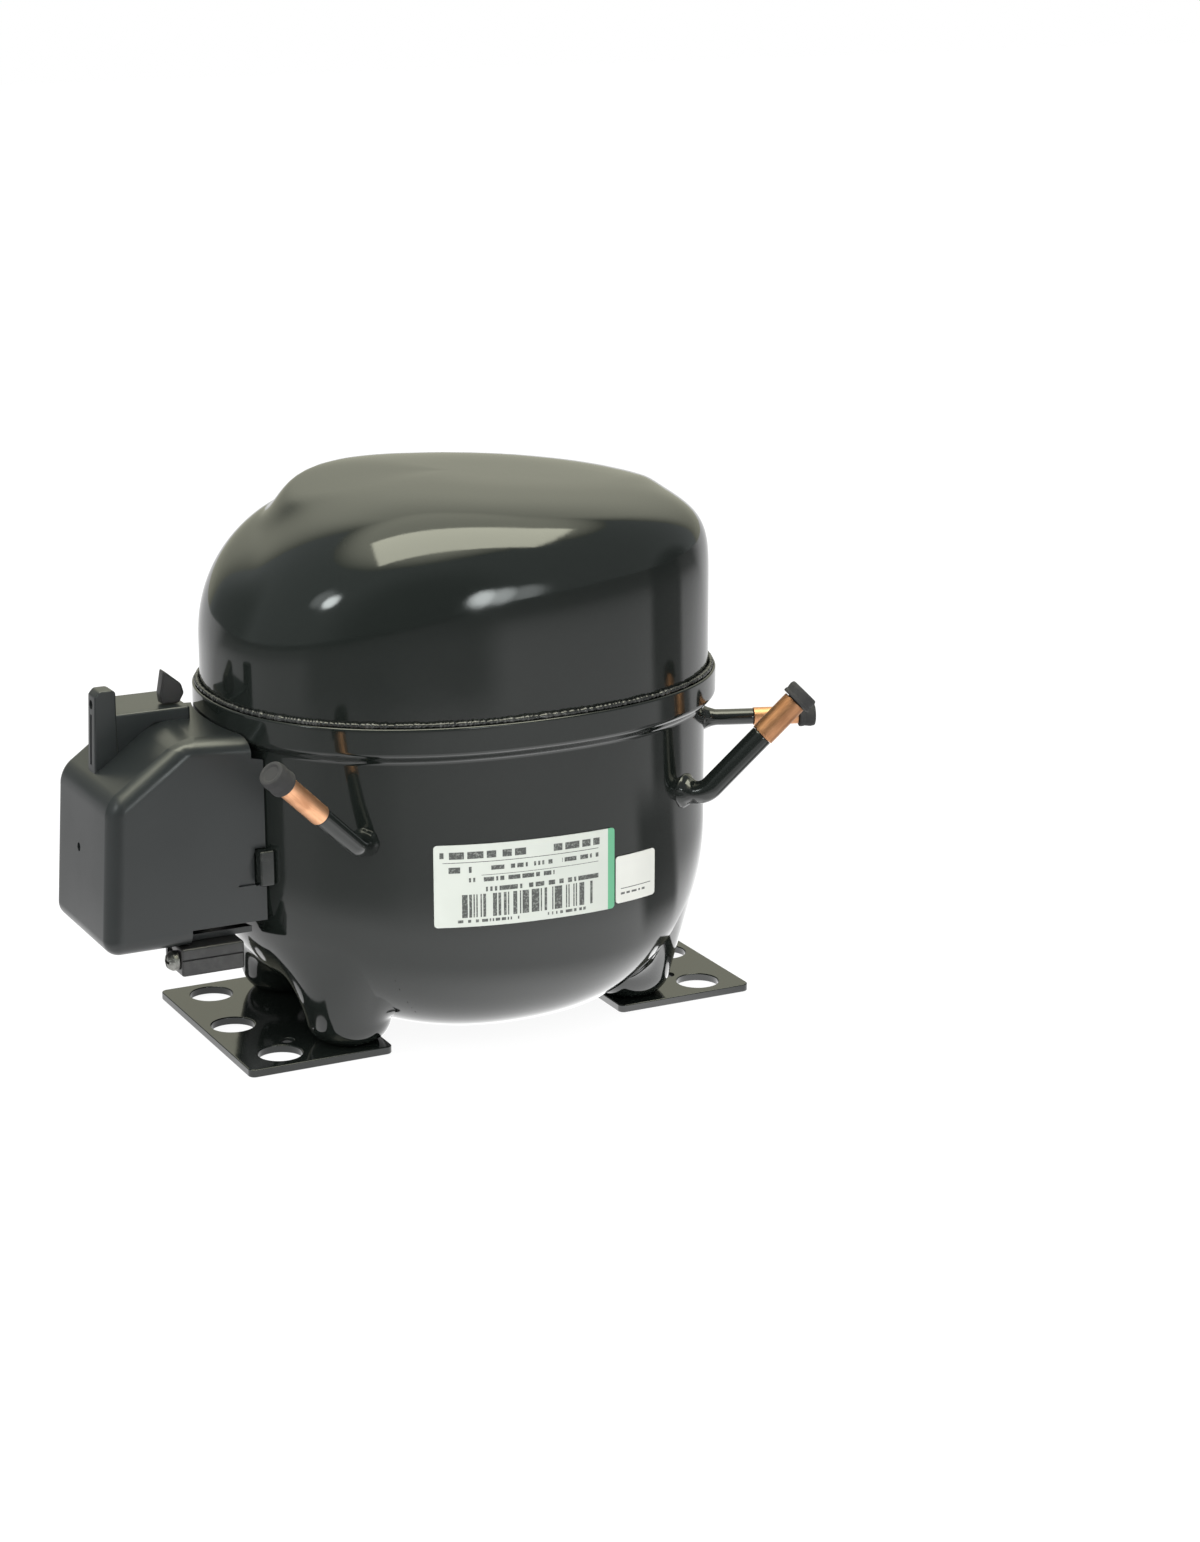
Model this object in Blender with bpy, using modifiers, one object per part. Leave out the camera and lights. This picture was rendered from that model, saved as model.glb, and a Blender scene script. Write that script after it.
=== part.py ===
"""Hermetic reciprocating compressor: the construction, as separate pieces in real sizes.

Run with: blender --background --python part.py

Sizes are in millimetres and angles in degrees; points become metres when they are made.
+Z is up, +X runs from the terminal cover to the suction and discharge tubes, and -Y is the
labelled side. Sizes are laid out from the middle of the foot hole pattern, and one empty then
moves the whole object so that the middle of its box stands on the origin.
"""

import math

import bmesh
import bpy
from mathutils import Matrix, Vector

MM = 0.001

# Clearances
GAP = 0.3
SKIN_GAP = 0.25

# How far a cutter runs past a face, and through the pot wall each way
CUT_PAST = 5.0
WALL_CUT = 15.0

# Feet: the hole pattern is the standard one for this class of compressor
HOLE_PITCH_X = 170.0
HOLE_PITCH_Y = 70.0
HOLE_D = 16.0
MIDDLE_HOLE_OUT = 4.7
SMALL_HOLE_D = 5.0
SMALL_HOLE_X = 78.0
SMALL_HOLE_Y = 24.0
FOOT_THICK = 3.0
FOOT_END_MARGIN = 16.0
FOOT_SIDE_MARGIN = 12.0
FOOT_INNER_X = 46.0
FOOT_CORNER = 2.5

# Shell: an oval plan, a pot below and a dome above that fits inside the pot's lip
SHELL_X = 1.8
DOME_HALF_LENGTH = 94.5
DOME_HALF_WIDTH = 76.8
PLAN_POWER = 2.2
SHELL_WALL = 2.5
POT_INSET = 1.2
POT_BOTTOM_Z = 4.0
POT_ROUND_Z = 70.0
POT_END_POWER = 2.7
POT_SIDE_POWER = 4.5
LIP_TOP_Z = 127.0
LIP_HEIGHT = 8.5
FLARE_HEIGHT = 6.0
SKIRT_DEPTH = 6.0
SKIRT_RISE = 6.0
WELD_HEIGHT = 2.2
WELD_INSET = 0.4

# Crown of the dome: steep at the tube end, sloped at the terminal end, with a raised pad on top
CROWN_BASE_RISE = 15.5
CROWN_TERMINAL_HEIGHT = 59.9
CROWN_TUBE_HEIGHT = 43.4
CROWN_TERMINAL_POWER = 2.16
CROWN_TUBE_POWER = 6.8
PAD_X = 13.3
PAD_HALF_LENGTH = 76.9
PAD_FRONT_HALF_WIDTH = 80.0
PAD_REAR_HALF_WIDTH = 51.6
PAD_HEIGHT = 6.9
PAD_POWER = 2.45
PAD_SOFTNESS = 0.1

# Mesh steps of the shell
PLAN_STEPS = 48
POT_ROUND_STEPS = 8
WALL_HALVINGS = 40
CROWN_STEPS = 12

# Legs: pressed cups between the pot and the foot plates
LEG_X = 57.0
LEG_Y = 32.0
LEG_R = 14.0
LEG_FOOT_R = 7.0
LEG_HEIGHT = 42.0
LEG_ROUND = 11.0

# Tubes: where each leaves the pot, its sizes, its bend and its lengths
TUBE_WALL = 1.0
BRAZE_SWELL = 1.55
BRAZE_LENGTH = 4.0
BRAZE_STEP = 0.4
TUBE_INSIDE = 7.0
TUBES = {
    "suction": {
        "root_azimuth": -54.0, "root_z": 86.5, "radius": 4.2, "copper_radius": 4.5, "lead": 0.3,
        "bend_radius": 7.0, "azimuth": -15.0, "rise": 44.5, "black": 29.5, "copper": 17.0,
        "cap_radius": 5.9, "cap_length": 5.0,
    },
    "discharge": {
        "root_azimuth": -24.0, "root_z": 105.0, "radius": 3.0, "copper_radius": 3.3, "lead": 3.0,
        "bend_radius": 40.0, "azimuth": -20.0, "rise": 0.0, "black": 10.0, "copper": 17.0,
        "cap_radius": 4.4, "cap_length": 6.0,
    },
    "process": {
        "root_azimuth": -124.0, "root_z": 85.0, "radius": 3.4, "copper_radius": 3.8, "lead": 0.5,
        "bend_radius": 7.0, "azimuth": -160.0, "rise": 42.0, "black": 24.0, "copper": 21.0,
        "cap_radius": 5.0, "cap_length": 8.0,
    },
}
CAP_STEM = 9.0
CAP_EDGE = 1.2

# Terminal cover and what it hides
COVER_STANDOFF = 1.5
COVER_TOP_LENGTH = 22.0
COVER_CHAMFER_LENGTH = 49.8
COVER_LENGTH = 53.0
COVER_MOUTH = 11.0
COVER_CLEARANCE = 0.6
COVER_TOP_Z = 121.0
COVER_EDGE_TOP_Z = 119.0
COVER_CHAMFER_Z = 101.0
COVER_BOTTOM_Z = 45.5
COVER_HALF_WIDTH = 30.0
COVER_WALL = 2.2
COVER_FILLET = 6.0
TOWER_LENGTH = 27.5
TOWER_STANDOFF = 8.5
TOWER_FRONT_Y = 1.0
TOWER_BACK_Y = 27.0
TOWER_RISE = 4.0
LUG_WIDTH = 9.0
LUG_DEPTH = 7.0
LUG_HEIGHT = 9.2
LUG_SLOT = 1.6
LUG_SLOT_RISE = 6.0
LUG_LAP = 1.0
NOTCH_HEIGHT = 6.5
NOTCH_DEPTH = 6.0
CATCH_LENGTH = 7.0
CATCH_DEPTH = 1.0
DIMPLE_R = 1.6
DIMPLE_Y = 3.0
DIMPLE_DROP = 6.0
HOOK_IN = 8.0
HOOK_BACK = 4.0
HOOK_THICK = 5.0
HOOK_OUTLINE = ((-1.0, 0.0), (5.5, 0.0), (7.5, 3.5), (6.5, 7.0), (0.0, 12.5), (-1.5, 4.0))
FENCE_WALL = 2.0
FENCE_OUT = 8.0
FENCE_DEPTH = 16.0
FENCE_LIFT = 7.0
FENCE_DROP = 10.3
EAR_Z = 72.0
EAR_HEIGHT = 13.0
EAR_OUT = 4.0
EAR_THICK = 5.6
EAR_STANDOFF = 3.0
EAR_CLEARANCE = 0.4
CLAMP_LENGTH = 23.5
CLAMP_WIDTH = 18.0
CLAMP_HEIGHT = 10.4
CLAMP_BORE_R = 3.4
CLAMP_INSET = 1.0
CLAMP_BACK = 2.0
CLAMP_SKIN = 2.5
CLAMP_SCREW_IN = 6.0
CLAMP_SHANK = 12.0
CLAMP_SHANK_R = 1.8
TERMINAL_Z = 84.0
TERMINAL_R = 13.5
TERMINAL_OUT = 4.0
TERMINAL_IN = 6.0
PIN_R = 1.6
PIN_CIRCLE_R = 7.0
PIN_OUT = 14.0
PIN_IN = 10.0
RELAY_LENGTH = 20.0
RELAY_HALF_WIDTH = 19.0
RELAY_DROP = 14.0
RELAY_RISE = 4.5
OVERLOAD_R = 10.5
OVERLOAD_LENGTH = 16.0
EARTH_SCREW_IN = 8.0

# Labels on the pot's front
LABEL_X = -39.5
LABEL_LENGTH = 69.0
LABEL_Z = 52.7
LABEL_HEIGHT = 30.2
STICKER_X = 30.2
STICKER_LENGTH = 18.5
STICKER_Z = 54.0
STICKER_HEIGHT = 17.6
LABEL_THICK = 0.3
LABEL_TILT = 1.7

# Motor and pump, on one upright axis
AXIS_X = -6.0
SHAFT_R = 9.0
STATOR_Z = 52.0
STATOR_HEIGHT = 48.0
STATOR_HALF = 48.0
STATOR_BORE_R = 28.0
AIR_GAP = 0.6
SLOT_COUNT = 8
SLOT_R = 4.2
SLOT_CIRCLE_R = 37.0
WINDING_INNER_R = 31.5
WINDING_OUTER_R = 44.0
WINDING_OVERHANG = 11.0
WINDING_EDGE = 3.0
SLOT_BAR_OVERLAP = 4.0
BOLT_PITCH = 76.0
BOLT_R = 2.5
BOLT_HEAD_R = 6.5
BOLT_HEAD_HEIGHT = 8.0
BOLT_STUB_R = 3.6
BOLT_STUB_HEIGHT = 5.0
BOLT_SHORT = 3.0
TAP_SHORT = 2.0
SPRING_R = 6.2
SPRING_WIRE_R = 1.1
SPRING_TURNS = 5
SPRING_LENGTH = 20.0
RAIL_WIDTH = 18.0
RAIL_LENGTH = 94.0
SUMP_CLEARANCE = 7.0
PICKUP_HEIGHT = 14.0
PICKUP_TIP_R = 3.4
PICKUP_BORE_R = 2.0

# Pump: a Scotch yoke on a bore along +X
BORE_R = 14.0
STROKE = 22.0
PUMP_DECK = 17.0
DECK_THICK = 9.0
DECK_HALF_WIDTH = 45.5
HUB_R = 16.0
HUB_DROP = 13.0
POST_R = 6.0
WEB_RIM = 1.0
WEB_THICK = 6.5
WEB_CLEARANCE = 4.0
PIN_CRANK_R = 8.0
PIN_STANDOUT = 8.0
YOKE_THICK = 16.0
YOKE_WALL = 5.0
YOKE_END_CLEARANCE = 1.0
BLOCK_HALF_X = 10.0
BLOCK_HALF_Y = 12.0
ROD_R = 5.0
ROD_LENGTH = 13.0
PISTON_LENGTH = 20.0
PISTON_SOCKET = 8.0
CYLINDER_WALL = 7.0
CYLINDER_LENGTH = 30.0
TOP_CLEARANCE = 1.0
PISTON_CLEARANCE = 0.8
FLANGE_HALF = 26.0
FLANGE_THICK = 6.5
VALVE_PLATE_THICK = 3.5
REED_THICK = 0.5
REED_WIDTH = 8.0
REED_OFFSET_Y = 7.0
PORT_R = 2.8
PORT_DROP = 4.0
REED_ROOT_UP = 17.0
REED_HEEL = 1.5
REED_TIP_DOWN = 8.0
STOP_TILT = 6.0
STOP_THICK = 1.5
HEAD_DEPTH = 20.0
HEAD_WALL = 4.5
CAST_OVERLAP = 2.0
JET_R = 2.0
JET_HEIGHT = 4.0
MUFFLER_SIZE = (28.0, 26.0, 40.0)
LOOP_R = 2.4
LOOP_STUB = 3.0

# Worked out from the sizes above
POT_HALF_LENGTH = DOME_HALF_LENGTH - POT_INSET
POT_HALF_WIDTH = DOME_HALF_WIDTH - POT_INSET
LIP_OUT = POT_INSET + GAP + SHELL_WALL
CROWN_BASE_Z = LIP_TOP_Z + CROWN_BASE_RISE
COVER_EDGE_X = SHELL_X - POT_HALF_LENGTH - COVER_STANDOFF
COVER_TOP_INNER_X = COVER_EDGE_X - COVER_TOP_LENGTH
COVER_CHAMFER_X = COVER_EDGE_X - COVER_CHAMFER_LENGTH
COVER_END_X = COVER_EDGE_X - COVER_LENGTH
COVER_MOUTH_X = COVER_EDGE_X + COVER_MOUTH
TOWER_INNER_X = COVER_EDGE_X - TOWER_STANDOFF
TOWER_X = TOWER_INNER_X - TOWER_LENGTH
LUG_X = TOWER_X - LUG_WIDTH
EAR_X = COVER_EDGE_X + EAR_STANDOFF
FENCE_OUT_X = COVER_EDGE_X - FENCE_OUT
STATOR_TOP = STATOR_Z + STATOR_HEIGHT
DECK_Z = STATOR_TOP + PUMP_DECK
DECK_TOP = DECK_Z + DECK_THICK
THROW = STROKE / 2
WEB_R = THROW + PIN_CRANK_R + WEB_RIM
WEB_Z = DECK_TOP + WEB_CLEARANCE
CRANK_PIN_Z = WEB_Z + WEB_THICK
BORE_Z = CRANK_PIN_Z + PISTON_CLEARANCE + BORE_R - GAP
CRANK_PIN_TOP = BORE_Z + YOKE_THICK / 2 + PIN_STANDOUT
PIN_X = AXIS_X + THROW
YOKE_HALF_X = BLOCK_HALF_X + GAP + YOKE_WALL
YOKE_HALF_Y = BLOCK_HALF_Y + THROW + YOKE_END_CLEARANCE + YOKE_WALL
PISTON_BACK = PIN_X + YOKE_HALF_X + ROD_LENGTH
PISTON_FACE = PISTON_BACK + PISTON_LENGTH
CYLINDER_FACE = PISTON_FACE + TOP_CLEARANCE
VALVE_X = CYLINDER_FACE + REED_THICK + 2 * GAP
HEAD_X = VALVE_X + VALVE_PLATE_THICK + GAP
BOLT_HEAD_Z = STATOR_Z - GAP - BOLT_HEAD_HEIGHT
RAIL_TOP = BOLT_HEAD_Z - GAP - SPRING_LENGTH - GAP

FINISHES = {
    "black_enamel": ((0.012, 0.013, 0.012), 0.12, 0.0),
    "weld_metal": ((0.05, 0.05, 0.05), 0.35, 0.6),
    "copper": ((0.72, 0.36, 0.20), 0.32, 1.0),
    "cap_rubber": ((0.03, 0.03, 0.03), 0.75, 0.0),
    "cover_plastic": ((0.035, 0.040, 0.042), 0.5, 0.0),
    "dark_plastic": ((0.02, 0.02, 0.02), 0.5, 0.0),
    "zinc_steel": ((0.6, 0.6, 0.58), 0.35, 1.0),
    "label_paper": ((0.85, 0.86, 0.84), 0.5, 0.0),
    "lamination": ((0.25, 0.25, 0.26), 0.45, 1.0),
    "enamelled_wire": ((0.45, 0.17, 0.07), 0.4, 0.6),
    "cast_iron": ((0.20, 0.20, 0.20), 0.6, 0.8),
    "machined_steel": ((0.55, 0.55, 0.56), 0.25, 1.0),
    "brass": ((0.75, 0.55, 0.22), 0.3, 1.0),
    "nylon": ((0.75, 0.73, 0.66), 0.5, 0.0),
    "glass_bead": ((0.15, 0.25, 0.22), 0.2, 0.0),
}


def point(x, y, z):
    """A point in metres from millimetres."""
    return Vector((x, y, z)) * MM


def heading(azimuth, rise=0.0):
    """Unit vector at an azimuth from +X and a rise above level, in degrees."""
    flat = math.cos(math.radians(rise))
    turn = math.radians(azimuth)
    return Vector((flat * math.cos(turn), flat * math.sin(turn), math.sin(math.radians(rise))))


def clear_scene():
    for item in list(bpy.data.objects):
        bpy.data.objects.remove(item, do_unlink=True)


def new_collection(name):
    collection = bpy.data.collections.new(name)
    bpy.context.scene.collection.children.link(collection)
    return collection


def new_empty(name, location, parent=None):
    empty = bpy.data.objects.new(name, None)
    PARTS.objects.link(empty)
    empty.parent = parent
    empty.location = location
    return empty


def finish_of(name):
    """The named Principled material, made once."""
    material = bpy.data.materials.get(name)
    if material:
        return material
    colour, roughness, metallic = FINISHES[name]
    material = bpy.data.materials.new(name)
    material.use_nodes = True
    shader = material.node_tree.nodes["Principled BSDF"]
    shader.inputs["Base Color"].default_value = (*colour, 1.0)
    shader.inputs["Roughness"].default_value = roughness
    shader.inputs["Metallic"].default_value = metallic
    return material


def add_object(name, mesh, finish=None, parent=None):
    """Link a mesh as a part, or as a cutter when it has no finish."""
    item = bpy.data.objects.new(name, mesh)
    if finish is None:
        CUTTERS.objects.link(item)
        item.hide_render = True
        item.display_type = "WIRE"
    else:
        PARTS.objects.link(item)
        mesh.materials.append(finish_of(finish))
        mesh.shade_smooth()
        mesh.set_sharp_from_angle(angle=math.radians(35))
    item.parent = parent or FRAME
    return item


def mesh_from(bm, name):
    bmesh.ops.recalc_face_normals(bm, faces=bm.faces)
    mesh = bpy.data.meshes.new(name)
    bm.to_mesh(mesh)
    bm.free()
    return mesh


def box(name, low, high, finish=None, bevel=0.0, parent=None):
    """A box between two corners, in millimetres, with its edges rounded."""
    bm = bmesh.new()
    low = Vector(low)
    high = Vector(high)
    size = (high - low) * MM
    bmesh.ops.create_cube(bm, size=1.0, matrix=Matrix.Diagonal((*size, 1.0)))
    item = add_object(name, mesh_from(bm, name), finish, parent)
    item.location = (low + high) / 2 * MM
    if bevel:
        add_bevel(item, bevel)
    return item


def cylinder(name, radius, start, end, finish=None, steps=32, parent=None):
    """A round bar between two points in millimetres."""
    start = Vector(start)
    end = Vector(end)
    bm = bmesh.new()
    bmesh.ops.create_cone(
        bm, cap_ends=True, segments=steps, radius1=radius * MM, radius2=radius * MM,
        depth=(end - start).length * MM,
    )
    item = add_object(name, mesh_from(bm, name), finish, parent)
    item.location = (start + end) / 2 * MM
    item.rotation_euler = (end - start).to_track_quat("Z", "X").to_euler()
    return item


def turned(name, profile, finish=None, base=(0, 0, 0), axis=(0, 0, 1), steps=32, parent=None, ring=False):
    """A profile of (radius, height) pairs, outer side top to bottom, turned about its axis."""
    bm = bmesh.new()
    verts = [bm.verts.new(point(radius, 0, height)) for radius, height in profile]
    for first, second in zip(verts, verts[1:]):
        bm.edges.new((first, second))
    if ring:
        bm.edges.new((verts[-1], verts[0]))
    mesh = bpy.data.meshes.new(name)
    bm.to_mesh(mesh)
    bm.free()
    item = add_object(name, mesh, finish, parent)
    screw = item.modifiers.new("Turn", "SCREW")
    screw.steps = steps
    screw.render_steps = steps
    screw.use_merge_vertices = True
    screw.merge_threshold = 1e-6
    screw.use_smooth_shade = True
    item.location = Vector(base) * MM
    item.rotation_euler = Vector(axis).to_track_quat("Z", "X").to_euler()
    return item


def prism(name, outline, low_y, high_y, finish=None, parent=None):
    """A flat outline of (x, z) pairs, pulled along Y."""
    bm = bmesh.new()
    face = bm.faces.new([bm.verts.new(point(x, low_y, z)) for x, z in outline])
    pulled = bmesh.ops.extrude_face_region(bm, geom=[face])
    moved = [part for part in pulled["geom"] if isinstance(part, bmesh.types.BMVert)]
    bmesh.ops.translate(bm, verts=moved, vec=point(0, high_y - low_y, 0))
    return add_object(name, mesh_from(bm, name), finish, parent)


def loft(rings, cap_start=False, cap_end=False, pole=None, wrap=False):
    """Faces between rings of points in metres; pole closes the first ring on one point."""
    bm = bmesh.new()
    rows = [[bm.verts.new(place) for place in ring] for ring in rings]
    count = len(rows[0])
    pairs = list(zip(rows, rows[1:]))
    if wrap:
        pairs.append((rows[-1], rows[0]))
    for lower, upper in pairs:
        for index in range(count):
            after = (index + 1) % count
            bm.faces.new((lower[index], lower[after], upper[after], upper[index]))
    if pole is not None:
        tip = bm.verts.new(pole)
        for index in range(count):
            bm.faces.new((rows[0][(index + 1) % count], rows[0][index], tip))
    if cap_start:
        bm.faces.new(list(reversed(rows[0])))
    if cap_end:
        bm.faces.new(rows[-1])
    return bm


def add_bevel(item, width, segments=3):
    bevel = item.modifiers.new("Round edges", "BEVEL")
    bevel.width = width * MM
    bevel.segments = segments
    bevel.limit_method = "ANGLE"
    bevel.angle_limit = math.radians(25)
    return bevel


def round_along(item, axis, width):
    """Round only the edges of a box that run along one of its axes."""
    corners = item.modifiers.new("Round corners", "BEVEL")
    corners.width = width * MM
    corners.segments = 3
    corners.limit_method = "WEIGHT"
    weights = item.data.attributes.new("bevel_weight_edge", "FLOAT", "EDGE")
    for edge in item.data.edges:
        first, second = (item.data.vertices[index].co for index in edge.vertices)
        runs_along = abs(first[axis] - second[axis]) > 1e-6
        weights.data[edge.index].value = 1.0 if runs_along else 0.0


def add_solidify(item, thickness, offset=-1.0):
    wall = item.modifiers.new("Wall", "SOLIDIFY")
    wall.thickness = thickness * MM
    wall.offset = offset
    wall.use_even_offset = True
    return wall


def combine(item, other, operation):
    """Cut, join or trim a part with a helper object."""
    boolean = item.modifiers.new(operation.title(), "BOOLEAN")
    boolean.operation = operation
    boolean.object = other
    boolean.solver = "EXACT"


def cut(item, *cutters):
    for cutter in cutters:
        combine(item, cutter, "DIFFERENCE")


def join(item, *helpers):
    for helper in helpers:
        combine(item, helper, "UNION")


def tube(name, places, radius, finish=None, swell=None, resolution=4, parent=None):
    """A round tube along places in millimetres, as a mesh; swell scales the radius at each place."""
    curve = bpy.data.curves.new(name, "CURVE")
    curve.dimensions = "3D"
    curve.bevel_depth = radius * MM
    curve.bevel_resolution = resolution
    curve.use_fill_caps = True
    spline = curve.splines.new("POLY")
    spline.points.add(len(places) - 1)
    for index, place in enumerate(places):
        spline.points[index].co = (*(Vector(place) * MM), 1.0)
        spline.points[index].radius = swell[index] if swell else 1.0
    guide = bpy.data.objects.new(name + "_route", curve)
    CUTTERS.objects.link(guide)
    bpy.context.view_layer.update()
    graph = bpy.context.evaluated_depsgraph_get()
    mesh = bpy.data.meshes.new_from_object(guide.evaluated_get(graph))
    mesh.name = name
    bpy.data.objects.remove(guide, do_unlink=True)
    bpy.data.curves.remove(curve)
    bm = bmesh.new()
    bm.from_mesh(mesh)
    bmesh.ops.remove_doubles(bm, verts=bm.verts, dist=1e-6)
    bmesh.ops.recalc_face_normals(bm, faces=bm.faces)
    bm.to_mesh(mesh)
    bm.free()
    return add_object(name, mesh, finish, parent)


def smooth_route(places, steps=5):
    """Points of a smooth curve through the given places."""
    places = [Vector(place) for place in places]
    padded = [2 * places[0] - places[1], *places, 2 * places[-1] - places[-2]]
    route = []
    for before, start, end, after in zip(padded, padded[1:], padded[2:], padded[3:]):
        for step in range(steps):
            t = step / steps
            route.append(0.5 * (
                2 * start + (end - before) * t
                + (2 * before - 5 * start + 4 * end - after) * t ** 2
                + (3 * start - before - 3 * end + after) * t ** 3
            ))
    route.append(places[-1])
    return route


def plan_point(half_x, half_y, angle):
    """Point of the shell's oval plan at an angle in radians."""
    power = 2.0 / PLAN_POWER
    across = math.cos(angle)
    along = math.sin(angle)
    x = SHELL_X + half_x * math.copysign(abs(across) ** power, across)
    y = half_y * math.copysign(abs(along) ** power, along)
    return x, y


def plan_ring(half_x, half_y, z):
    ring = []
    for step in range(PLAN_STEPS):
        x, y = plan_point(half_x, half_y, 2 * math.pi * step / PLAN_STEPS)
        ring.append(point(x, y, z))
    return ring


def pot_power(sideways):
    """Power of the bottom's rounding: sideways is 0 at the pot's ends and 1 at its sides."""
    return POT_END_POWER + (POT_SIDE_POWER - POT_END_POWER) * sideways ** 2


def pot_floor_z(x, y):
    """Height of the pot's rounded bottom at a plan point."""
    along = abs((x - SHELL_X) / POT_HALF_LENGTH) ** PLAN_POWER
    across = abs(y / POT_HALF_WIDTH) ** PLAN_POWER
    power = pot_power(across / (along + across))
    share = min(1.0, (along + across) ** (1.0 / PLAN_POWER))
    return POT_ROUND_Z - (POT_ROUND_Z - POT_BOTTOM_Z) * (1.0 - share ** power) ** (1.0 / power)


def pot_root(azimuth):
    """Plan point of the pot's wall where its outward normal has an azimuth."""
    normal = heading(azimuth)
    root_power = 1.0 / (PLAN_POWER - 1.0)
    u = (POT_HALF_LENGTH * abs(normal.x)) ** root_power
    v = (POT_HALF_WIDTH * abs(normal.y)) ** root_power
    size = (u ** PLAN_POWER + v ** PLAN_POWER) ** (1.0 / PLAN_POWER)
    x = SHELL_X + math.copysign(POT_HALF_LENGTH * u / size, normal.x)
    y = math.copysign(POT_HALF_WIDTH * v / size, normal.y)
    return x, y


def pot_front_y(x, z):
    """Y of the pot's front wall at a place."""
    along = abs((x - SHELL_X) / POT_HALF_LENGTH) ** PLAN_POWER
    front = -POT_HALF_WIDTH * (1.0 - along) ** (1.0 / PLAN_POWER)
    if z >= POT_ROUND_Z:
        return front
    back = 0.0
    for _ in range(WALL_HALVINGS):
        middle = (front + back) / 2
        if pot_floor_z(x, middle) < z:
            back = middle
        else:
            front = middle
    return front


def pot_floor_rings(grow):
    """Rings of the pot's rounded bottom, grown outward by some millimetres."""
    rings = []
    for step in range(1, POT_ROUND_STEPS + 1):
        turn = math.pi / 2 * step / POT_ROUND_STEPS
        ring = []
        for index in range(PLAN_STEPS):
            angle = 2 * math.pi * index / PLAN_STEPS
            power = pot_power(math.sin(angle) ** 2)
            share = math.sin(turn) ** (2.0 / power)
            depth = math.cos(turn) ** (2.0 / power)
            x, y = plan_point(share * (POT_HALF_LENGTH + grow), share * (POT_HALF_WIDTH + grow), angle)
            ring.append(point(x, y, POT_ROUND_Z - (POT_ROUND_Z - POT_BOTTOM_Z + grow) * depth))
        rings.append(ring)
    return rings


def pot_solid(name, grow):
    """A closed helper with the pot's outside, grown or shrunk, up to the flare."""
    rings = pot_floor_rings(grow)
    top_z = LIP_TOP_Z - LIP_HEIGHT - FLARE_HEIGHT
    rings.append(plan_ring(POT_HALF_LENGTH + grow, POT_HALF_WIDTH + grow, top_z))
    bm = loft(rings, cap_end=True, pole=point(SHELL_X, 0, POT_BOTTOM_Z - grow))
    return add_object(name, mesh_from(bm, name))


def crown_point(turn, angle):
    """Point of the dome's crown: turn runs from the pole to the wall, angle round the plan."""
    share_to_tubes = (1.0 + math.cos(angle)) / 2.0
    power = CROWN_TERMINAL_POWER + (CROWN_TUBE_POWER - CROWN_TERMINAL_POWER) * share_to_tubes
    reach = math.sin(turn) ** (2.0 / power)
    x, y = plan_point(DOME_HALF_LENGTH * reach, DOME_HALF_WIDTH * reach, angle)
    along = (1.0 + (x - SHELL_X) / DOME_HALF_LENGTH) / 2.0
    height = CROWN_TERMINAL_HEIGHT + (CROWN_TUBE_HEIGHT - CROWN_TERMINAL_HEIGHT) * along
    z = CROWN_BASE_Z + height * max(0.0, math.cos(turn)) ** (2.0 / power)
    pad_half_width = PAD_FRONT_HALF_WIDTH if y < 0.0 else PAD_REAR_HALF_WIDTH
    pad = abs((x - PAD_X) / PAD_HALF_LENGTH) ** PAD_POWER + abs(y / pad_half_width) ** PAD_POWER
    inside = (1.0 + PAD_SOFTNESS - pad ** (1.0 / PAD_POWER)) / (2.0 * PAD_SOFTNESS)
    inside = min(1.0, max(0.0, inside))
    return point(x, y, z + PAD_HEIGHT * inside * inside * (3.0 - 2.0 * inside))


def make_lower_shell():
    """The pot: rounded floor, upright wall, flare and lip, with holes for tubes and terminal."""
    rings = pot_floor_rings(0.0)
    flare_z = LIP_TOP_Z - LIP_HEIGHT - FLARE_HEIGHT
    flare_steps = 4
    for step in range(flare_steps + 1):
        share = step / flare_steps
        out = LIP_OUT * share * share * (3.0 - 2.0 * share)
        rings.append(plan_ring(POT_HALF_LENGTH + out, POT_HALF_WIDTH + out, flare_z + FLARE_HEIGHT * share))
    rings.append(plan_ring(POT_HALF_LENGTH + LIP_OUT, POT_HALF_WIDTH + LIP_OUT, LIP_TOP_Z))
    bm = loft(rings, pole=point(SHELL_X, 0, POT_BOTTOM_Z))
    shell = add_object("lower_shell", mesh_from(bm, "lower_shell"), "black_enamel")
    add_solidify(shell, SHELL_WALL)
    for name, sizes in TUBES.items():
        start, end = tube_root(sizes, -WALL_CUT, WALL_CUT)
        cut(shell, cylinder(name + "_hole", sizes["radius"] + GAP, start, end, steps=24))
    wall_x, _ = pot_root(180.0)
    terminal = ((wall_x - WALL_CUT, 0, TERMINAL_Z), (wall_x + WALL_CUT, 0, TERMINAL_Z))
    cut(shell, cylinder("terminal_hole", TERMINAL_R + GAP, *terminal))


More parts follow.
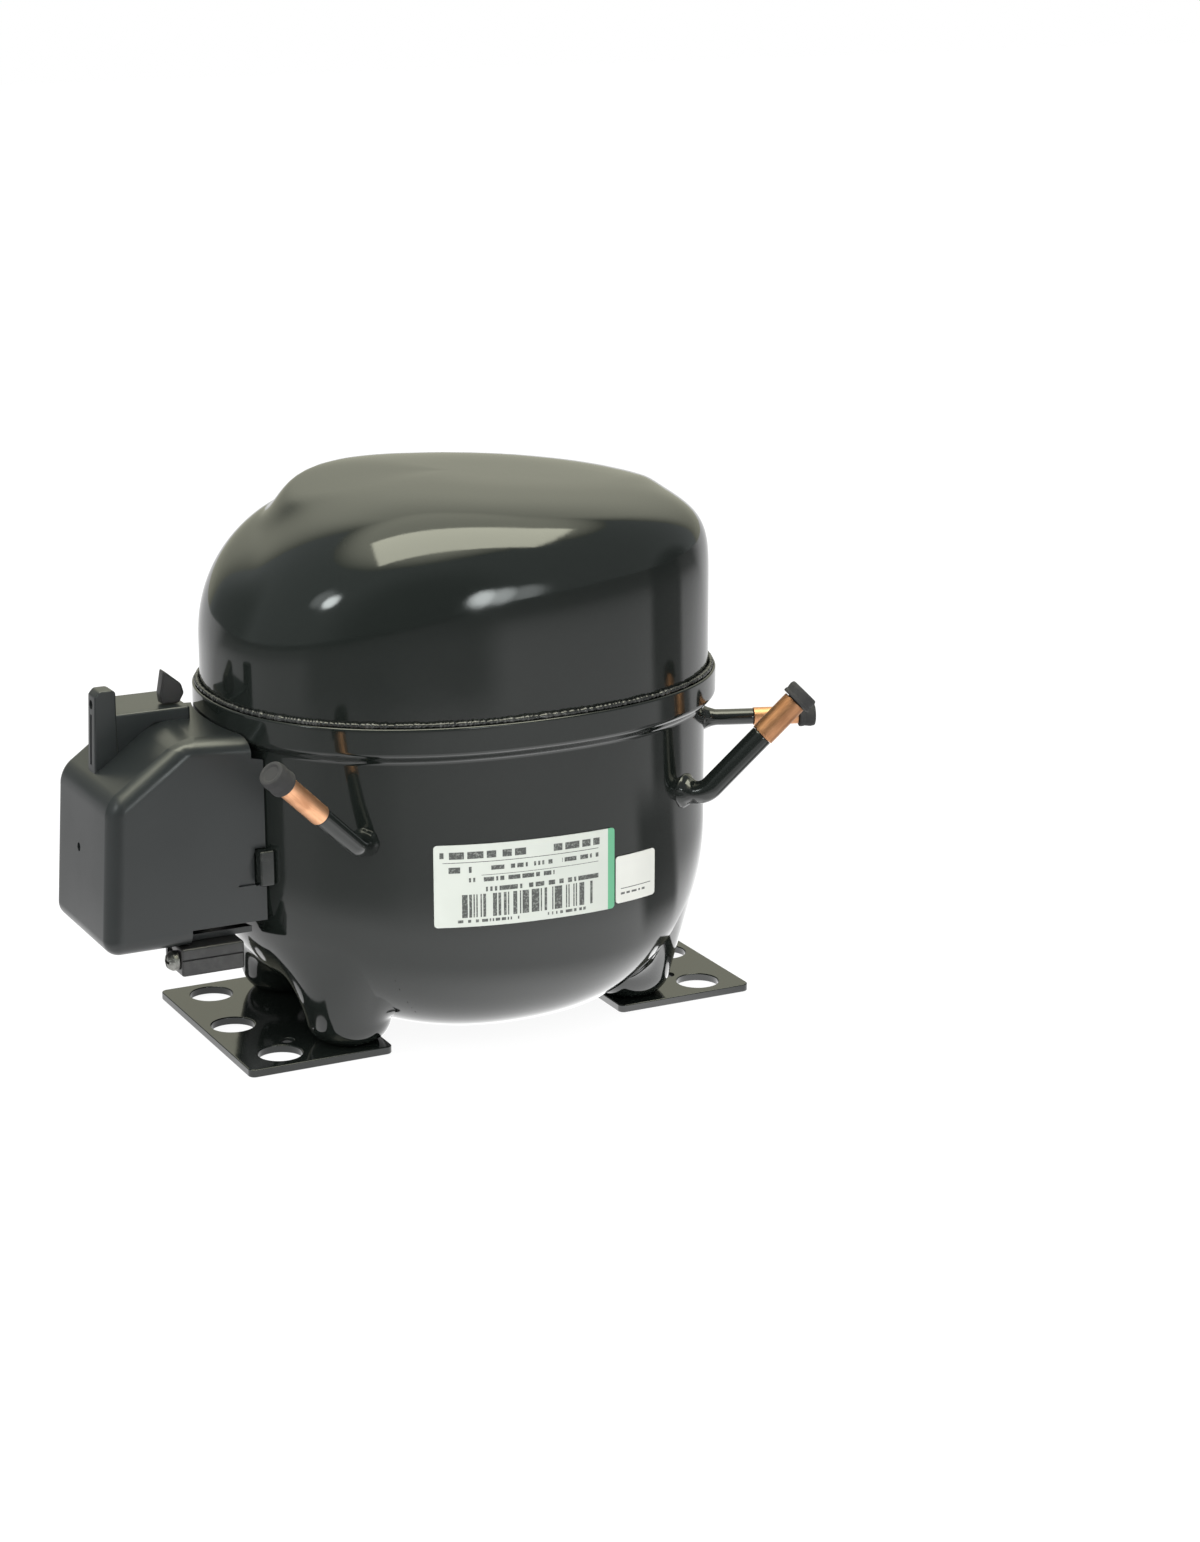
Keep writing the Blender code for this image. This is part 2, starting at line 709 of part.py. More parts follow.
def make_upper_shell():
    """The dome: a skirt inside the lip, an upright wall and the crown."""
    crown = []
    for step in range(1, CROWN_STEPS + 1):
        turn = math.pi / 2 * step / CROWN_STEPS
        angles = [2 * math.pi * index / PLAN_STEPS for index in range(PLAN_STEPS)]
        crown.append([crown_point(turn, angle) for angle in angles])
    skirt_heights = (LIP_TOP_Z + SKIRT_RISE, LIP_TOP_Z - SKIRT_DEPTH)
    skirt = [plan_ring(DOME_HALF_LENGTH, DOME_HALF_WIDTH, z) for z in skirt_heights]
    bm = loft(crown + skirt, pole=crown_point(0.0, 0.0))
    dome = add_object("upper_shell", mesh_from(bm, "upper_shell"), "black_enamel")
    add_solidify(dome, SHELL_WALL)


def make_weld():
    """The weld bead on top of the lip, against the dome."""
    section_steps = 6
    inner = GAP
    outer = GAP + SHELL_WALL - WELD_INSET
    low = LIP_TOP_Z + GAP
    rings = []
    for step in range(section_steps):
        turn = 2 * math.pi * step / section_steps
        out = (inner + outer) / 2 + (outer - inner) / 2 * math.cos(turn)
        z = low + WELD_HEIGHT / 2 + WELD_HEIGHT / 2 * math.sin(turn)
        rings.append(plan_ring(DOME_HALF_LENGTH + out, DOME_HALF_WIDTH + out, z))
    bm = loft(rings, wrap=True)
    add_object("shell_weld", mesh_from(bm, "shell_weld"), "weld_metal")


def make_feet(pot_outside):
    """Two foot plates with three grommet holes each, and the four leg cups on them."""
    outer_x = HOLE_PITCH_X / 2 + FOOT_END_MARGIN
    half_y = HOLE_PITCH_Y / 2 + FOOT_SIDE_MARGIN
    for side, name in ((-1, "left_foot"), (1, "right_foot")):
        inner = min(side * FOOT_INNER_X, side * outer_x)
        outer = max(side * FOOT_INNER_X, side * outer_x)
        foot = box(name, (inner, -half_y, 0), (outer, half_y, FOOT_THICK), "black_enamel")
        round_along(foot, 2, FOOT_CORNER)
        holes = [
            (HOLE_PITCH_X / 2, HOLE_PITCH_Y / 2, HOLE_D),
            (HOLE_PITCH_X / 2, -HOLE_PITCH_Y / 2, HOLE_D),
            (HOLE_PITCH_X / 2 + MIDDLE_HOLE_OUT, 0.0, HOLE_D),
            (SMALL_HOLE_X, -SMALL_HOLE_Y, SMALL_HOLE_D),
        ]
        for index, (x, y, diameter) in enumerate(holes):
            place = (side * x, y)
            low = (*place, -FOOT_THICK)
            high = (*place, 2 * FOOT_THICK)
            cut(foot, cylinder(f"{name}_hole_{index}", diameter / 2, low, high, steps=24))
    bottom = FOOT_THICK + GAP
    arc_steps = 5
    profile = [(0.0, bottom + LEG_HEIGHT), (LEG_R, bottom + LEG_HEIGHT)]
    for step in range(arc_steps + 1):
        turn = math.pi / 2 * step / arc_steps
        radius = LEG_FOOT_R + (LEG_R - LEG_FOOT_R) * math.cos(turn)
        profile.append((radius, bottom + LEG_ROUND * (1.0 - math.sin(turn))))
    profile.append((0.0, bottom))
    for end, x in (("left", -LEG_X), ("right", LEG_X)):
        for face, y in (("front", -LEG_Y), ("rear", LEG_Y)):
            leg = turned(f"{face}_{end}_leg", profile, "black_enamel", base=(x, y, 0), steps=20)
            cut(leg, pot_outside)


def tube_root(sizes, inside, outside):
    """Two points on a tube's line through the pot wall, in millimetres from the wall."""
    x, y = pot_root(sizes["root_azimuth"])
    wall = Vector((x, y, sizes["root_z"]))
    normal = heading(sizes["root_azimuth"])
    return wall + normal * inside, wall + normal * outside


def bent_route(start, corner, direction, length, radius):
    """Straight, arc, straight: points from start round a corner, then some way along direction."""
    first = (corner - start).normalized()
    second = direction.normalized()
    angle = first.angle(second)
    reach = radius * math.tan(angle / 2)
    enter = corner - first * reach
    side = (second - first * first.dot(second)).normalized()
    centre = enter + side * radius
    steps = 6
    route = [start]
    for step in range(steps + 1):
        turn = angle * step / steps
        route.append(centre - side * radius * math.cos(turn) + first * radius * math.sin(turn))
    route.append(corner + second * length)
    return route


def make_tube(name, sizes):
    """One tube of the pot: black tube with its braze, bare copper end and rubber cap."""
    radius = sizes["radius"]
    direction = heading(sizes["azimuth"], sizes["rise"])
    bend = heading(sizes["root_azimuth"]).angle(direction)
    bend_reach = sizes["bend_radius"] * math.tan(bend / 2)
    inside, corner = tube_root(sizes, -TUBE_INSIDE, BRAZE_LENGTH + sizes["lead"] + bend_reach)
    route = bent_route(inside, corner, direction, sizes["black"], sizes["bend_radius"])
    seat_out = 2 * GAP
    braze = [tube_root(sizes, 0.0, out)[1] for out in (seat_out, seat_out + BRAZE_STEP, BRAZE_LENGTH)]
    before_braze = tube_root(sizes, 0.0, seat_out - BRAZE_STEP / 2)[1]
    route[1:1] = [before_braze, *braze]
    swell = [1.0, 1.0, BRAZE_SWELL, BRAZE_SWELL, 1.0] + [1.0] * (len(route) - 5)
    black = tube(f"{name}_tube", route, radius, "black_enamel", swell)
    first = (route[0] - route[1]).normalized()
    bore_route = [route[0] + first * CUT_PAST, *route[4:-1], route[-1] + direction * CUT_PAST]
    cut(black, tube(f"{name}_tube_bore", bore_route, radius - TUBE_WALL, resolution=2))
    copper_start = route[-1] + direction * GAP
    copper_end = copper_start + direction * sizes["copper"]
    copper_r = sizes["copper_radius"]
    bore_r = copper_r - TUBE_WALL
    copper = cylinder(f"{name}_copper_end", copper_r, copper_start, copper_end, "copper", steps=20)
    bore = (copper_start - direction * CUT_PAST, copper_end + direction * CUT_PAST)
    cut(copper, cylinder(f"{name}_copper_bore", bore_r, *bore, steps=16))
    cap_r = sizes["cap_radius"]
    length = sizes["cap_length"]
    soft = min(CAP_EDGE, length / 4)
    stem_r = bore_r - GAP
    profile = [
        (0.0, length), (cap_r - soft, length), (cap_r, length - soft), (cap_r, 0.0),
        (stem_r, 0.0), (stem_r, -CAP_STEM), (0.0, -CAP_STEM),
    ]
    seat = copper_end + direction * GAP
    axis = new_empty(f"{name}_cap_axis", seat * MM, FRAME)
    cap = turned(f"{name}_cap", profile, "cap_rubber", axis=direction, steps=20, parent=axis)
    cap.location = (0, 0, 0)


def cover_top_z(x):
    """Height of the cover's top: a slope towards the pot and a steep chamfer at its end."""
    if x > COVER_TOP_INNER_X:
        share = (x - COVER_TOP_INNER_X) / (COVER_MOUTH_X - COVER_TOP_INNER_X)
        return COVER_TOP_Z + (COVER_EDGE_TOP_Z - COVER_TOP_Z) * share
    share = (x - COVER_TOP_INNER_X) / (COVER_CHAMFER_X - COVER_TOP_INNER_X)
    return COVER_TOP_Z + (COVER_CHAMFER_Z - COVER_TOP_Z) * share


def make_cover():
    """The terminal cover with its tower, lug, hook and cord clamp, all pulled off together."""
    half = COVER_HALF_WIDTH
    outline = [
        (COVER_MOUTH_X, COVER_EDGE_TOP_Z),
        (COVER_TOP_INNER_X, COVER_TOP_Z),
        (COVER_CHAMFER_X, COVER_CHAMFER_Z),
        (COVER_END_X, COVER_BOTTOM_Z),
        (COVER_MOUTH_X, COVER_BOTTOM_Z),
    ]
    axis = new_empty("cover_axis", (0, 0, 0), FRAME)
    cover = prism("terminal_cover", outline, -half, half, "cover_plastic", parent=axis)
    bm = bmesh.new()
    bm.from_mesh(cover.data)
    mouth = [face for face in bm.faces if face.calc_center_median().x > (COVER_MOUTH_X - 0.5) * MM]
    bmesh.ops.delete(bm, geom=mouth, context="FACES_ONLY")
    bm.to_mesh(cover.data)
    bm.free()
    add_bevel(cover, COVER_FILLET, segments=4)
    add_solidify(cover, COVER_WALL)
    tower_top = COVER_TOP_Z + TOWER_RISE
    sink = COVER_WALL / 2
    tower = prism("tower_block", [
        (TOWER_INNER_X, cover_top_z(TOWER_INNER_X) - sink),
        (TOWER_INNER_X, tower_top),
        (TOWER_X - LUG_LAP, tower_top),
        (TOWER_X - LUG_LAP, cover_top_z(TOWER_X - LUG_LAP) - sink),
        (COVER_TOP_INNER_X, COVER_TOP_Z - sink),
    ], TOWER_FRONT_Y, TOWER_BACK_Y)
    lug_top = tower_top + LUG_HEIGHT
    lug = prism("tower_lug", [
        (TOWER_X, cover_top_z(TOWER_X) - sink),
        (TOWER_X, lug_top - 1.0),
        (TOWER_X - 1.5, lug_top),
        (LUG_X + 3.0, lug_top),
        (LUG_X + 1.2, lug_top - 2.0),
        (LUG_X, cover_top_z(LUG_X) - sink),
    ], TOWER_FRONT_Y - 0.6, TOWER_FRONT_Y + LUG_DEPTH)
    join(cover, tower, lug)
    slot_y = TOWER_FRONT_Y + LUG_DEPTH / 2
    slot = box("lug_slot", (LUG_X - 3.0, slot_y - LUG_SLOT / 2, COVER_CHAMFER_Z + LUG_SLOT_RISE),
               (LUG_X + 2.6, slot_y + LUG_SLOT / 2, lug_top - 3.0))
    notch_x = COVER_EDGE_X - CLAMP_LENGTH + 2.0
    notch = box("cover_notch", (notch_x, -half - 2.0, COVER_BOTTOM_Z - 2.0),
                (COVER_MOUTH_X + 2.0, -half + COVER_WALL + NOTCH_DEPTH, COVER_BOTTOM_Z + NOTCH_HEIGHT))
    catch = prism("catch_recess", [
        (EAR_X, EAR_Z + EAR_HEIGHT / 2),
        (EAR_X - CATCH_LENGTH, EAR_Z - EAR_HEIGHT / 2),
        (EAR_X, EAR_Z - EAR_HEIGHT / 2),
    ], -half - CATCH_DEPTH, -half + CATCH_DEPTH)
    dimple_z = TERMINAL_Z - DIMPLE_DROP
    share = (dimple_z - COVER_BOTTOM_Z) / (COVER_CHAMFER_Z - COVER_BOTTOM_Z)
    dimple_x = COVER_END_X + (COVER_CHAMFER_X - COVER_END_X) * share
    dimple_line = ((dimple_x - CUT_PAST, DIMPLE_Y, dimple_z), (dimple_x + 1.0, DIMPLE_Y, dimple_z))
    dimple = cylinder("cover_dimple", DIMPLE_R, *dimple_line, steps=12)
    ear_space = EAR_HEIGHT / 2 + EAR_CLEARANCE
    ear_slot = box("cover_ear_slot", (EAR_X - EAR_CLEARANCE, -half - 2.0, EAR_Z - ear_space),
                   (COVER_MOUTH_X + 2.0, half + 2.0, EAR_Z + ear_space))
    cut(cover, slot, catch, dimple, notch, ear_slot, shell_space())
    hook_x = TOWER_INNER_X - HOOK_IN
    hook_z = tower_top + GAP
    hook_y = TOWER_FRONT_Y + HOOK_BACK
    hook = [(hook_x + x, hook_z + z) for x, z in HOOK_OUTLINE]
    prism("cover_hook", hook, hook_y, hook_y + HOOK_THICK, "dark_plastic", parent=axis)
    make_clamp(axis)


def shell_space():
    """A helper as large as the pot's wall and its lip, that the cover's mouth is trimmed to."""
    flare_z = LIP_TOP_Z - LIP_HEIGHT - FLARE_HEIGHT
    wall = (POT_HALF_LENGTH + COVER_CLEARANCE, POT_HALF_WIDTH + COVER_CLEARANCE)
    lip = (wall[0] + LIP_OUT, wall[1] + LIP_OUT)
    rings = [
        plan_ring(*wall, COVER_BOTTOM_Z - CUT_PAST),
        plan_ring(*wall, flare_z - COVER_CLEARANCE - 1.0),
        plan_ring(*lip, flare_z - COVER_CLEARANCE),
        plan_ring(*lip, LIP_TOP_Z + CUT_PAST),
    ]
    return add_object("shell_space", mesh_from(loft(rings, cap_start=True, cap_end=True), "shell_space"))


def make_clamp(axis):
    """The cord clamp under the cover, with its cord bore and screw."""
    half = COVER_HALF_WIDTH
    top = COVER_BOTTOM_Z - GAP
    inner_x = COVER_EDGE_X - CLAMP_BACK
    outer_x = inner_x - CLAMP_LENGTH
    low = (outer_x, -half + CLAMP_INSET, top - CLAMP_HEIGHT)
    high = (inner_x, -half + CLAMP_INSET + CLAMP_WIDTH, top)
    clamp = box("cord_clamp", low, high, "dark_plastic", bevel=1.0, parent=axis)
    middle_z = top - CLAMP_HEIGHT / 2
    bore_y = high[1] - CLAMP_BORE_R - CLAMP_SKIN
    bore = ((outer_x - CUT_PAST, bore_y, middle_z), (inner_x + CUT_PAST, bore_y, middle_z))
    cut(clamp, cylinder("clamp_bore", CLAMP_BORE_R, *bore, steps=20))
    screw_y = -half + CLAMP_SCREW_IN
    screw_hole = ((outer_x - CUT_PAST, screw_y, middle_z), (outer_x + CLAMP_SHANK + 1.0, screw_y, middle_z))
    cut(clamp, cylinder("clamp_screw_hole", CLAMP_SHANK_R + GAP, *screw_hole, steps=12))
    profile = [
        (0.0, 4.0), (3.2, 4.0), (3.6, 3.2), (3.6, 0.0),
        (CLAMP_SHANK_R, 0.0), (CLAMP_SHANK_R, -CLAMP_SHANK), (0.0, -CLAMP_SHANK),
    ]
    seat = (outer_x - GAP, screw_y, middle_z)
    turned("cord_clamp_screw", profile, "zinc_steel", base=seat, axis=(-1, 0, 0), steps=12, parent=axis)


def make_terminal(pot_outside):
    """The fence on the pot, the sealed terminal with its pins, and what plugs on them."""
    half_y = COVER_HALF_WIDTH - COVER_WALL - GAP
    low_z = COVER_BOTTOM_Z + COVER_WALL + GAP
    inner_x = COVER_EDGE_X + FENCE_DEPTH
    fence_z = low_z + FENCE_LIFT
    high_z = COVER_TOP_Z - FENCE_DROP
    fence = box("terminal_fence", (FENCE_OUT_X, -half_y, fence_z), (inner_x, half_y, high_z), "black_enamel")
    hollow = box("fence_hollow", (FENCE_OUT_X - CUT_PAST, -half_y + FENCE_WALL, fence_z + FENCE_WALL),
                 (inner_x + CUT_PAST, half_y - FENCE_WALL, high_z - FENCE_WALL))
    round_along(fence, 0, COVER_FILLET)
    round_along(hollow, 0, COVER_FILLET - FENCE_WALL)
    cut(fence, hollow)
    ear_half = COVER_HALF_WIDTH + EAR_OUT
    ears = box("fence_ears", (EAR_X, -ear_half, EAR_Z - EAR_HEIGHT / 2),
               (EAR_X + EAR_THICK, ear_half, EAR_Z + EAR_HEIGHT / 2))
    ear_space = box("fence_ear_space", (EAR_X - CUT_PAST, -half_y + FENCE_WALL / 2, EAR_Z - EAR_HEIGHT),
                    (EAR_X + EAR_THICK + CUT_PAST, half_y - FENCE_WALL / 2, EAR_Z + EAR_HEIGHT))
    cut(ears, ear_space)
    join(fence, ears)
    cut(fence, pot_outside)
    wall_x, _ = pot_root(180.0)
    outer_x = wall_x - TERMINAL_OUT
    inner_face = wall_x + TERMINAL_IN
    header_line = ((outer_x, 0, TERMINAL_Z), (inner_face, 0, TERMINAL_Z))
    header = cylinder("hermetic_terminal", TERMINAL_R, *header_line, "glass_bead")
    places = {}
    for name, turn in (("common_pin", 90.0), ("start_pin", 210.0), ("run_pin", 330.0)):
        y = PIN_CIRCLE_R * math.cos(math.radians(turn))
        z = TERMINAL_Z + PIN_CIRCLE_R * math.sin(math.radians(turn))
        places[name] = (y, z)
        hole = ((outer_x - CUT_PAST, y, z), (inner_face + CUT_PAST, y, z))
        cut(header, cylinder(name + "_hole", PIN_R + GAP, *hole, steps=12))
        pin = ((outer_x - PIN_OUT, y, z), (inner_face + PIN_IN, y, z))
        cylinder(name, PIN_R, *pin, "machined_steel", steps=12)
    body_x = outer_x - GAP
    relay_z = places["start_pin"][1]
    relay_top = relay_z + RELAY_RISE
    relay = box("start_relay", (body_x - RELAY_LENGTH, -RELAY_HALF_WIDTH, relay_z - RELAY_DROP),
                (body_x, RELAY_HALF_WIDTH, relay_top), "dark_plastic", bevel=1.2)
    for name in ("start_pin", "run_pin"):
        cut(relay, make_socket(name, body_x, *places[name]))
    profile = [
        (0.0, OVERLOAD_LENGTH), (OVERLOAD_R - 1.0, OVERLOAD_LENGTH), (OVERLOAD_R, OVERLOAD_LENGTH - 2.0),
        (OVERLOAD_R, 0.0), (0.0, 0.0),
    ]
    seat = (body_x, places["common_pin"][0], relay_top + 2 * GAP + OVERLOAD_R)
    overload = turned("overload_protector", profile, "dark_plastic", base=seat, axis=(-1, 0, 0), steps=24)
    cut(overload, make_socket("common_pin", body_x, *places["common_pin"]))
    screw_seat = ((FENCE_OUT_X + COVER_EDGE_X) / 2 - 1.0, -half_y + EARTH_SCREW_IN, fence_z - GAP)
    profile = [(0.0, 3.0), (3.4, 3.0), (3.8, 2.2), (3.8, 0.0), (0.0, 0.0)]
    turned("earth_screw", profile, "zinc_steel", base=screw_seat, axis=(0, 0, -1), steps=12)


def make_socket(name, body_x, y, z):
    """Cutter for the hole that a pin goes into, in the body that plugs on it."""
    line = ((body_x - PIN_OUT - 1.0, y, z), (body_x + CUT_PAST, y, z))
    return cylinder(name + "_socket", PIN_R + GAP, *line, steps=12)


def make_label(name, x, length, z, height):
    """A thin label that lies on the pot's front wall."""
    columns = max(4, round(length / 6.0))
    rows = 5
    out = SKIN_GAP
    bm = bmesh.new()
    grid = []
    for row in range(rows + 1):
        line = []
        for column in range(columns + 1):
            place_x = x + length * column / columns
            tilt = LABEL_TILT * (0.5 - (place_x - LABEL_X) / LABEL_LENGTH)
            place_z = z + height * row / rows + tilt
            line.append(bm.verts.new(point(place_x, pot_front_y(place_x, place_z) - out, place_z)))
        grid.append(line)
    for lower, upper in zip(grid, grid[1:]):
        for index in range(columns):
            bm.faces.new((lower[index], lower[index + 1], upper[index + 1], upper[index]))
    label = add_object(name, mesh_from(bm, name), "label_paper")
    front = label.data.polygons[0].normal.y < 0
    add_solidify(label, LABEL_THICK, offset=1.0 if front else -1.0)


def bolt_places():
    for end, x in (("left", AXIS_X - BOLT_PITCH / 2), ("right", AXIS_X + BOLT_PITCH / 2)):
        for face, y in (("front", -BOLT_PITCH / 2), ("rear", BOLT_PITCH / 2)):
            yield f"{face}_{end}", x, y


def make_suspension(pot_cavity):
    """Spring rails on the pot floor and the four springs that carry the pump."""
    for end, x in (("left", AXIS_X - BOLT_PITCH / 2), ("right", AXIS_X + BOLT_PITCH / 2)):
        low = (x - RAIL_WIDTH / 2, -RAIL_LENGTH / 2, POT_BOTTOM_Z)
        high = (x + RAIL_WIDTH / 2, RAIL_LENGTH / 2, RAIL_TOP)
        rail = box(f"{end}_spring_rail", low, high, "black_enamel")
        combine(rail, pot_cavity, "INTERSECT")
    points_per_turn = 9
    count = SPRING_TURNS * points_per_turn
    start = RAIL_TOP + GAP + SPRING_WIRE_R
    rise = SPRING_LENGTH - 2 * SPRING_WIRE_R
    for name, x, y in bolt_places():
        coil = []
        for step in range(count + 1):
            turn = 2 * math.pi * step / points_per_turn
            height = start + rise * step / count
            coil.append((x + SPRING_R * math.cos(turn), y + SPRING_R * math.sin(turn), height))
        tube(f"{name}_spring", coil, SPRING_WIRE_R, "machined_steel", resolution=1)


def make_motor(pump):
    """Stator with its winding and bolts, and the rotor on the crankshaft."""
    low = (AXIS_X - STATOR_HALF, -STATOR_HALF, STATOR_Z)
    high = (AXIS_X + STATOR_HALF, STATOR_HALF, STATOR_TOP)
    core = box("stator_core", low, high, "lamination", parent=pump)
    below = STATOR_Z - CUT_PAST
    above = STATOR_TOP + CUT_PAST
    cut(core, cylinder("stator_bore", STATOR_BORE_R, (AXIS_X, 0, below), (AXIS_X, 0, above), steps=48))
    for index in range(SLOT_COUNT):
        turn = 2 * math.pi * (index + 0.5) / SLOT_COUNT
        x = AXIS_X + SLOT_CIRCLE_R * math.cos(turn)
        y = SLOT_CIRCLE_R * math.sin(turn)
        cut(core, cylinder(f"slot_{index}", SLOT_R, (x, y, below), (x, y, above), steps=12))
    for name, x, y in bolt_places():
        cut(core, cylinder(f"{name}_bolt_hole", BOLT_R + GAP, (x, y, below), (x, y, above), steps=12))
        make_bolt(f"{name}_stator_bolt", x, y, pump)
    winding = None
    edge = WINDING_EDGE
    for name, start in (("upper", STATOR_TOP + GAP), ("lower", STATOR_Z - GAP - WINDING_OVERHANG)):
        end = start + WINDING_OVERHANG
        profile = [
            (WINDING_INNER_R + edge, end), (WINDING_OUTER_R - edge, end), (WINDING_OUTER_R, end - edge),
            (WINDING_OUTER_R, start), (WINDING_INNER_R, start), (WINDING_INNER_R, end - edge),
        ]
        if name == "upper":
            centre = (AXIS_X, 0, 0)
            winding = turned("stator_winding", profile, "enamelled_wire", base=centre, parent=pump, ring=True)
        else:
            join(winding, turned("lower_end_turns", profile, base=(AXIS_X, 0, 0), ring=True))
    for index in range(SLOT_COUNT):
        turn = 2 * math.pi * (index + 0.5) / SLOT_COUNT
        x = AXIS_X + SLOT_CIRCLE_R * math.cos(turn)
        y = SLOT_CIRCLE_R * math.sin(turn)
        bar = ((x, y, STATOR_Z - SLOT_BAR_OVERLAP), (x, y, STATOR_TOP + SLOT_BAR_OVERLAP))
        join(winding, cylinder(f"slot_bar_{index}", SLOT_R - 2 * GAP, *bar, steps=10))


def make_bolt(name, x, y, pump):
    """A stator bolt whose head, with a stub below, is a spring's upper seat."""
    top = DECK_Z - BOLT_SHORT
    head_top = BOLT_HEAD_Z + BOLT_HEAD_HEIGHT
    stub_low = BOLT_HEAD_Z - BOLT_STUB_HEIGHT
    profile = [
        (0.0, top), (BOLT_R, top), (BOLT_R, head_top), (BOLT_HEAD_R, head_top), (BOLT_HEAD_R, BOLT_HEAD_Z),
        (BOLT_STUB_R, BOLT_HEAD_Z), (BOLT_STUB_R, stub_low), (0.0, stub_low),
    ]
    turned(name, profile, "machined_steel", base=(x, y, 0), steps=12, parent=pump)


def make_crank(pump):
    """Crankshaft with its web and pin, the rotor on it and the oil pickup below."""
    crank = new_empty("crank_axis", point(AXIS_X, 0, 0), pump)
    shaft_low = POT_BOTTOM_Z + SHELL_WALL + SUMP_CLEARANCE + PICKUP_HEIGHT
    profile = [
        (0.0, CRANK_PIN_Z), (WEB_R, CRANK_PIN_Z), (WEB_R, WEB_Z),
        (SHAFT_R, WEB_Z), (SHAFT_R, shaft_low), (0.0, shaft_low),
    ]
    shaft = turned("crankshaft", profile, "machined_steel", steps=32, parent=crank)
    pin = ((PIN_X, 0, WEB_Z + WEB_THICK / 2), (PIN_X, 0, CRANK_PIN_TOP))
    join(shaft, cylinder("crank_pin", PIN_CRANK_R, *pin))
    rotor_r = STATOR_BORE_R - AIR_GAP
    fit_r = SHAFT_R + GAP
    profile = [(rotor_r, STATOR_TOP), (rotor_r, STATOR_Z), (fit_r, STATOR_Z), (fit_r, STATOR_TOP)]
    turned("rotor", profile, "lamination", steps=48, parent=crank, ring=True)
    low = shaft_low - GAP - PICKUP_HEIGHT
    profile = [
        (SHAFT_R - PICKUP_BORE_R, shaft_low - GAP), (PICKUP_TIP_R, low), (PICKUP_BORE_R, low),
        (PICKUP_BORE_R, low + 2 * PICKUP_BORE_R), (SHAFT_R - 2 * PICKUP_BORE_R, shaft_low - GAP),
    ]
    turned("oil_pickup", profile, "brass", steps=20, parent=crank, ring=True)
    return crank


def make_pump(pump, crank):
    """The casting, the Scotch yoke with its piston, and the valves and head."""
    make_block(pump)
    slider = new_empty("slide_block_axis", point(THROW, 0, 0), crank)
    slide = box("slide_block", (-BLOCK_HALF_X, -BLOCK_HALF_Y, BORE_Z - YOKE_THICK / 2),
                (BLOCK_HALF_X, BLOCK_HALF_Y, BORE_Z + YOKE_THICK / 2), "brass", parent=slider)
    hole = ((PIN_X, 0, BORE_Z - YOKE_THICK), (PIN_X, 0, BORE_Z + YOKE_THICK))
    cut(slide, cylinder("slide_hole", PIN_CRANK_R + GAP, *hole))
    jet = new_empty("oil_jet_axis", point(THROW / 2, 0, 0), crank)
    jet_low = CRANK_PIN_TOP + GAP
    jet_top = jet_low + JET_HEIGHT
    profile = [
        (0.0, jet_top), (JET_R * 0.6, jet_top), (JET_R, jet_low + JET_HEIGHT / 2),
        (JET_R, jet_low), (0.0, jet_low),
    ]
    turned("oil_jet", profile, "brass", steps=16, parent=jet)
    carriage = new_empty("yoke_axis", point(THROW / 2, 0, 0), jet)
    low_z = BORE_Z - YOKE_THICK / 2
    high_z = BORE_Z + YOKE_THICK / 2
    yoke = box("yoke", (-YOKE_HALF_X, -YOKE_HALF_Y, low_z), (YOKE_HALF_X, YOKE_HALF_Y, high_z),
               "machined_steel", parent=carriage)
    slot_x = BLOCK_HALF_X + GAP
    slot_y = YOKE_HALF_Y - YOKE_WALL
    cut(yoke, box("yoke_slot", (PIN_X - slot_x, -slot_y, low_z - CUT_PAST),
                  (PIN_X + slot_x, slot_y, high_z + CUT_PAST)))
    rod_start = PIN_X + YOKE_HALF_X - CAST_OVERLAP
    rod = ((rod_start, 0, BORE_Z), (PISTON_BACK + PISTON_SOCKET - GAP, 0, BORE_Z))
    join(yoke, cylinder("yoke_rod", ROD_R, *rod, steps=20))
    piston_r = BORE_R - GAP
    back = PISTON_BACK - PIN_X
    piston_line = ((back, 0, BORE_Z), (back + PISTON_LENGTH, 0, BORE_Z))
    piston = cylinder("piston", piston_r, *piston_line, "machined_steel", parent=carriage)
    socket = ((PISTON_BACK - CUT_PAST, 0, BORE_Z), (PISTON_BACK + PISTON_SOCKET, 0, BORE_Z))
    cut(piston, cylinder("piston_socket", ROD_R + GAP, *socket, steps=20))
    make_valves(pump)


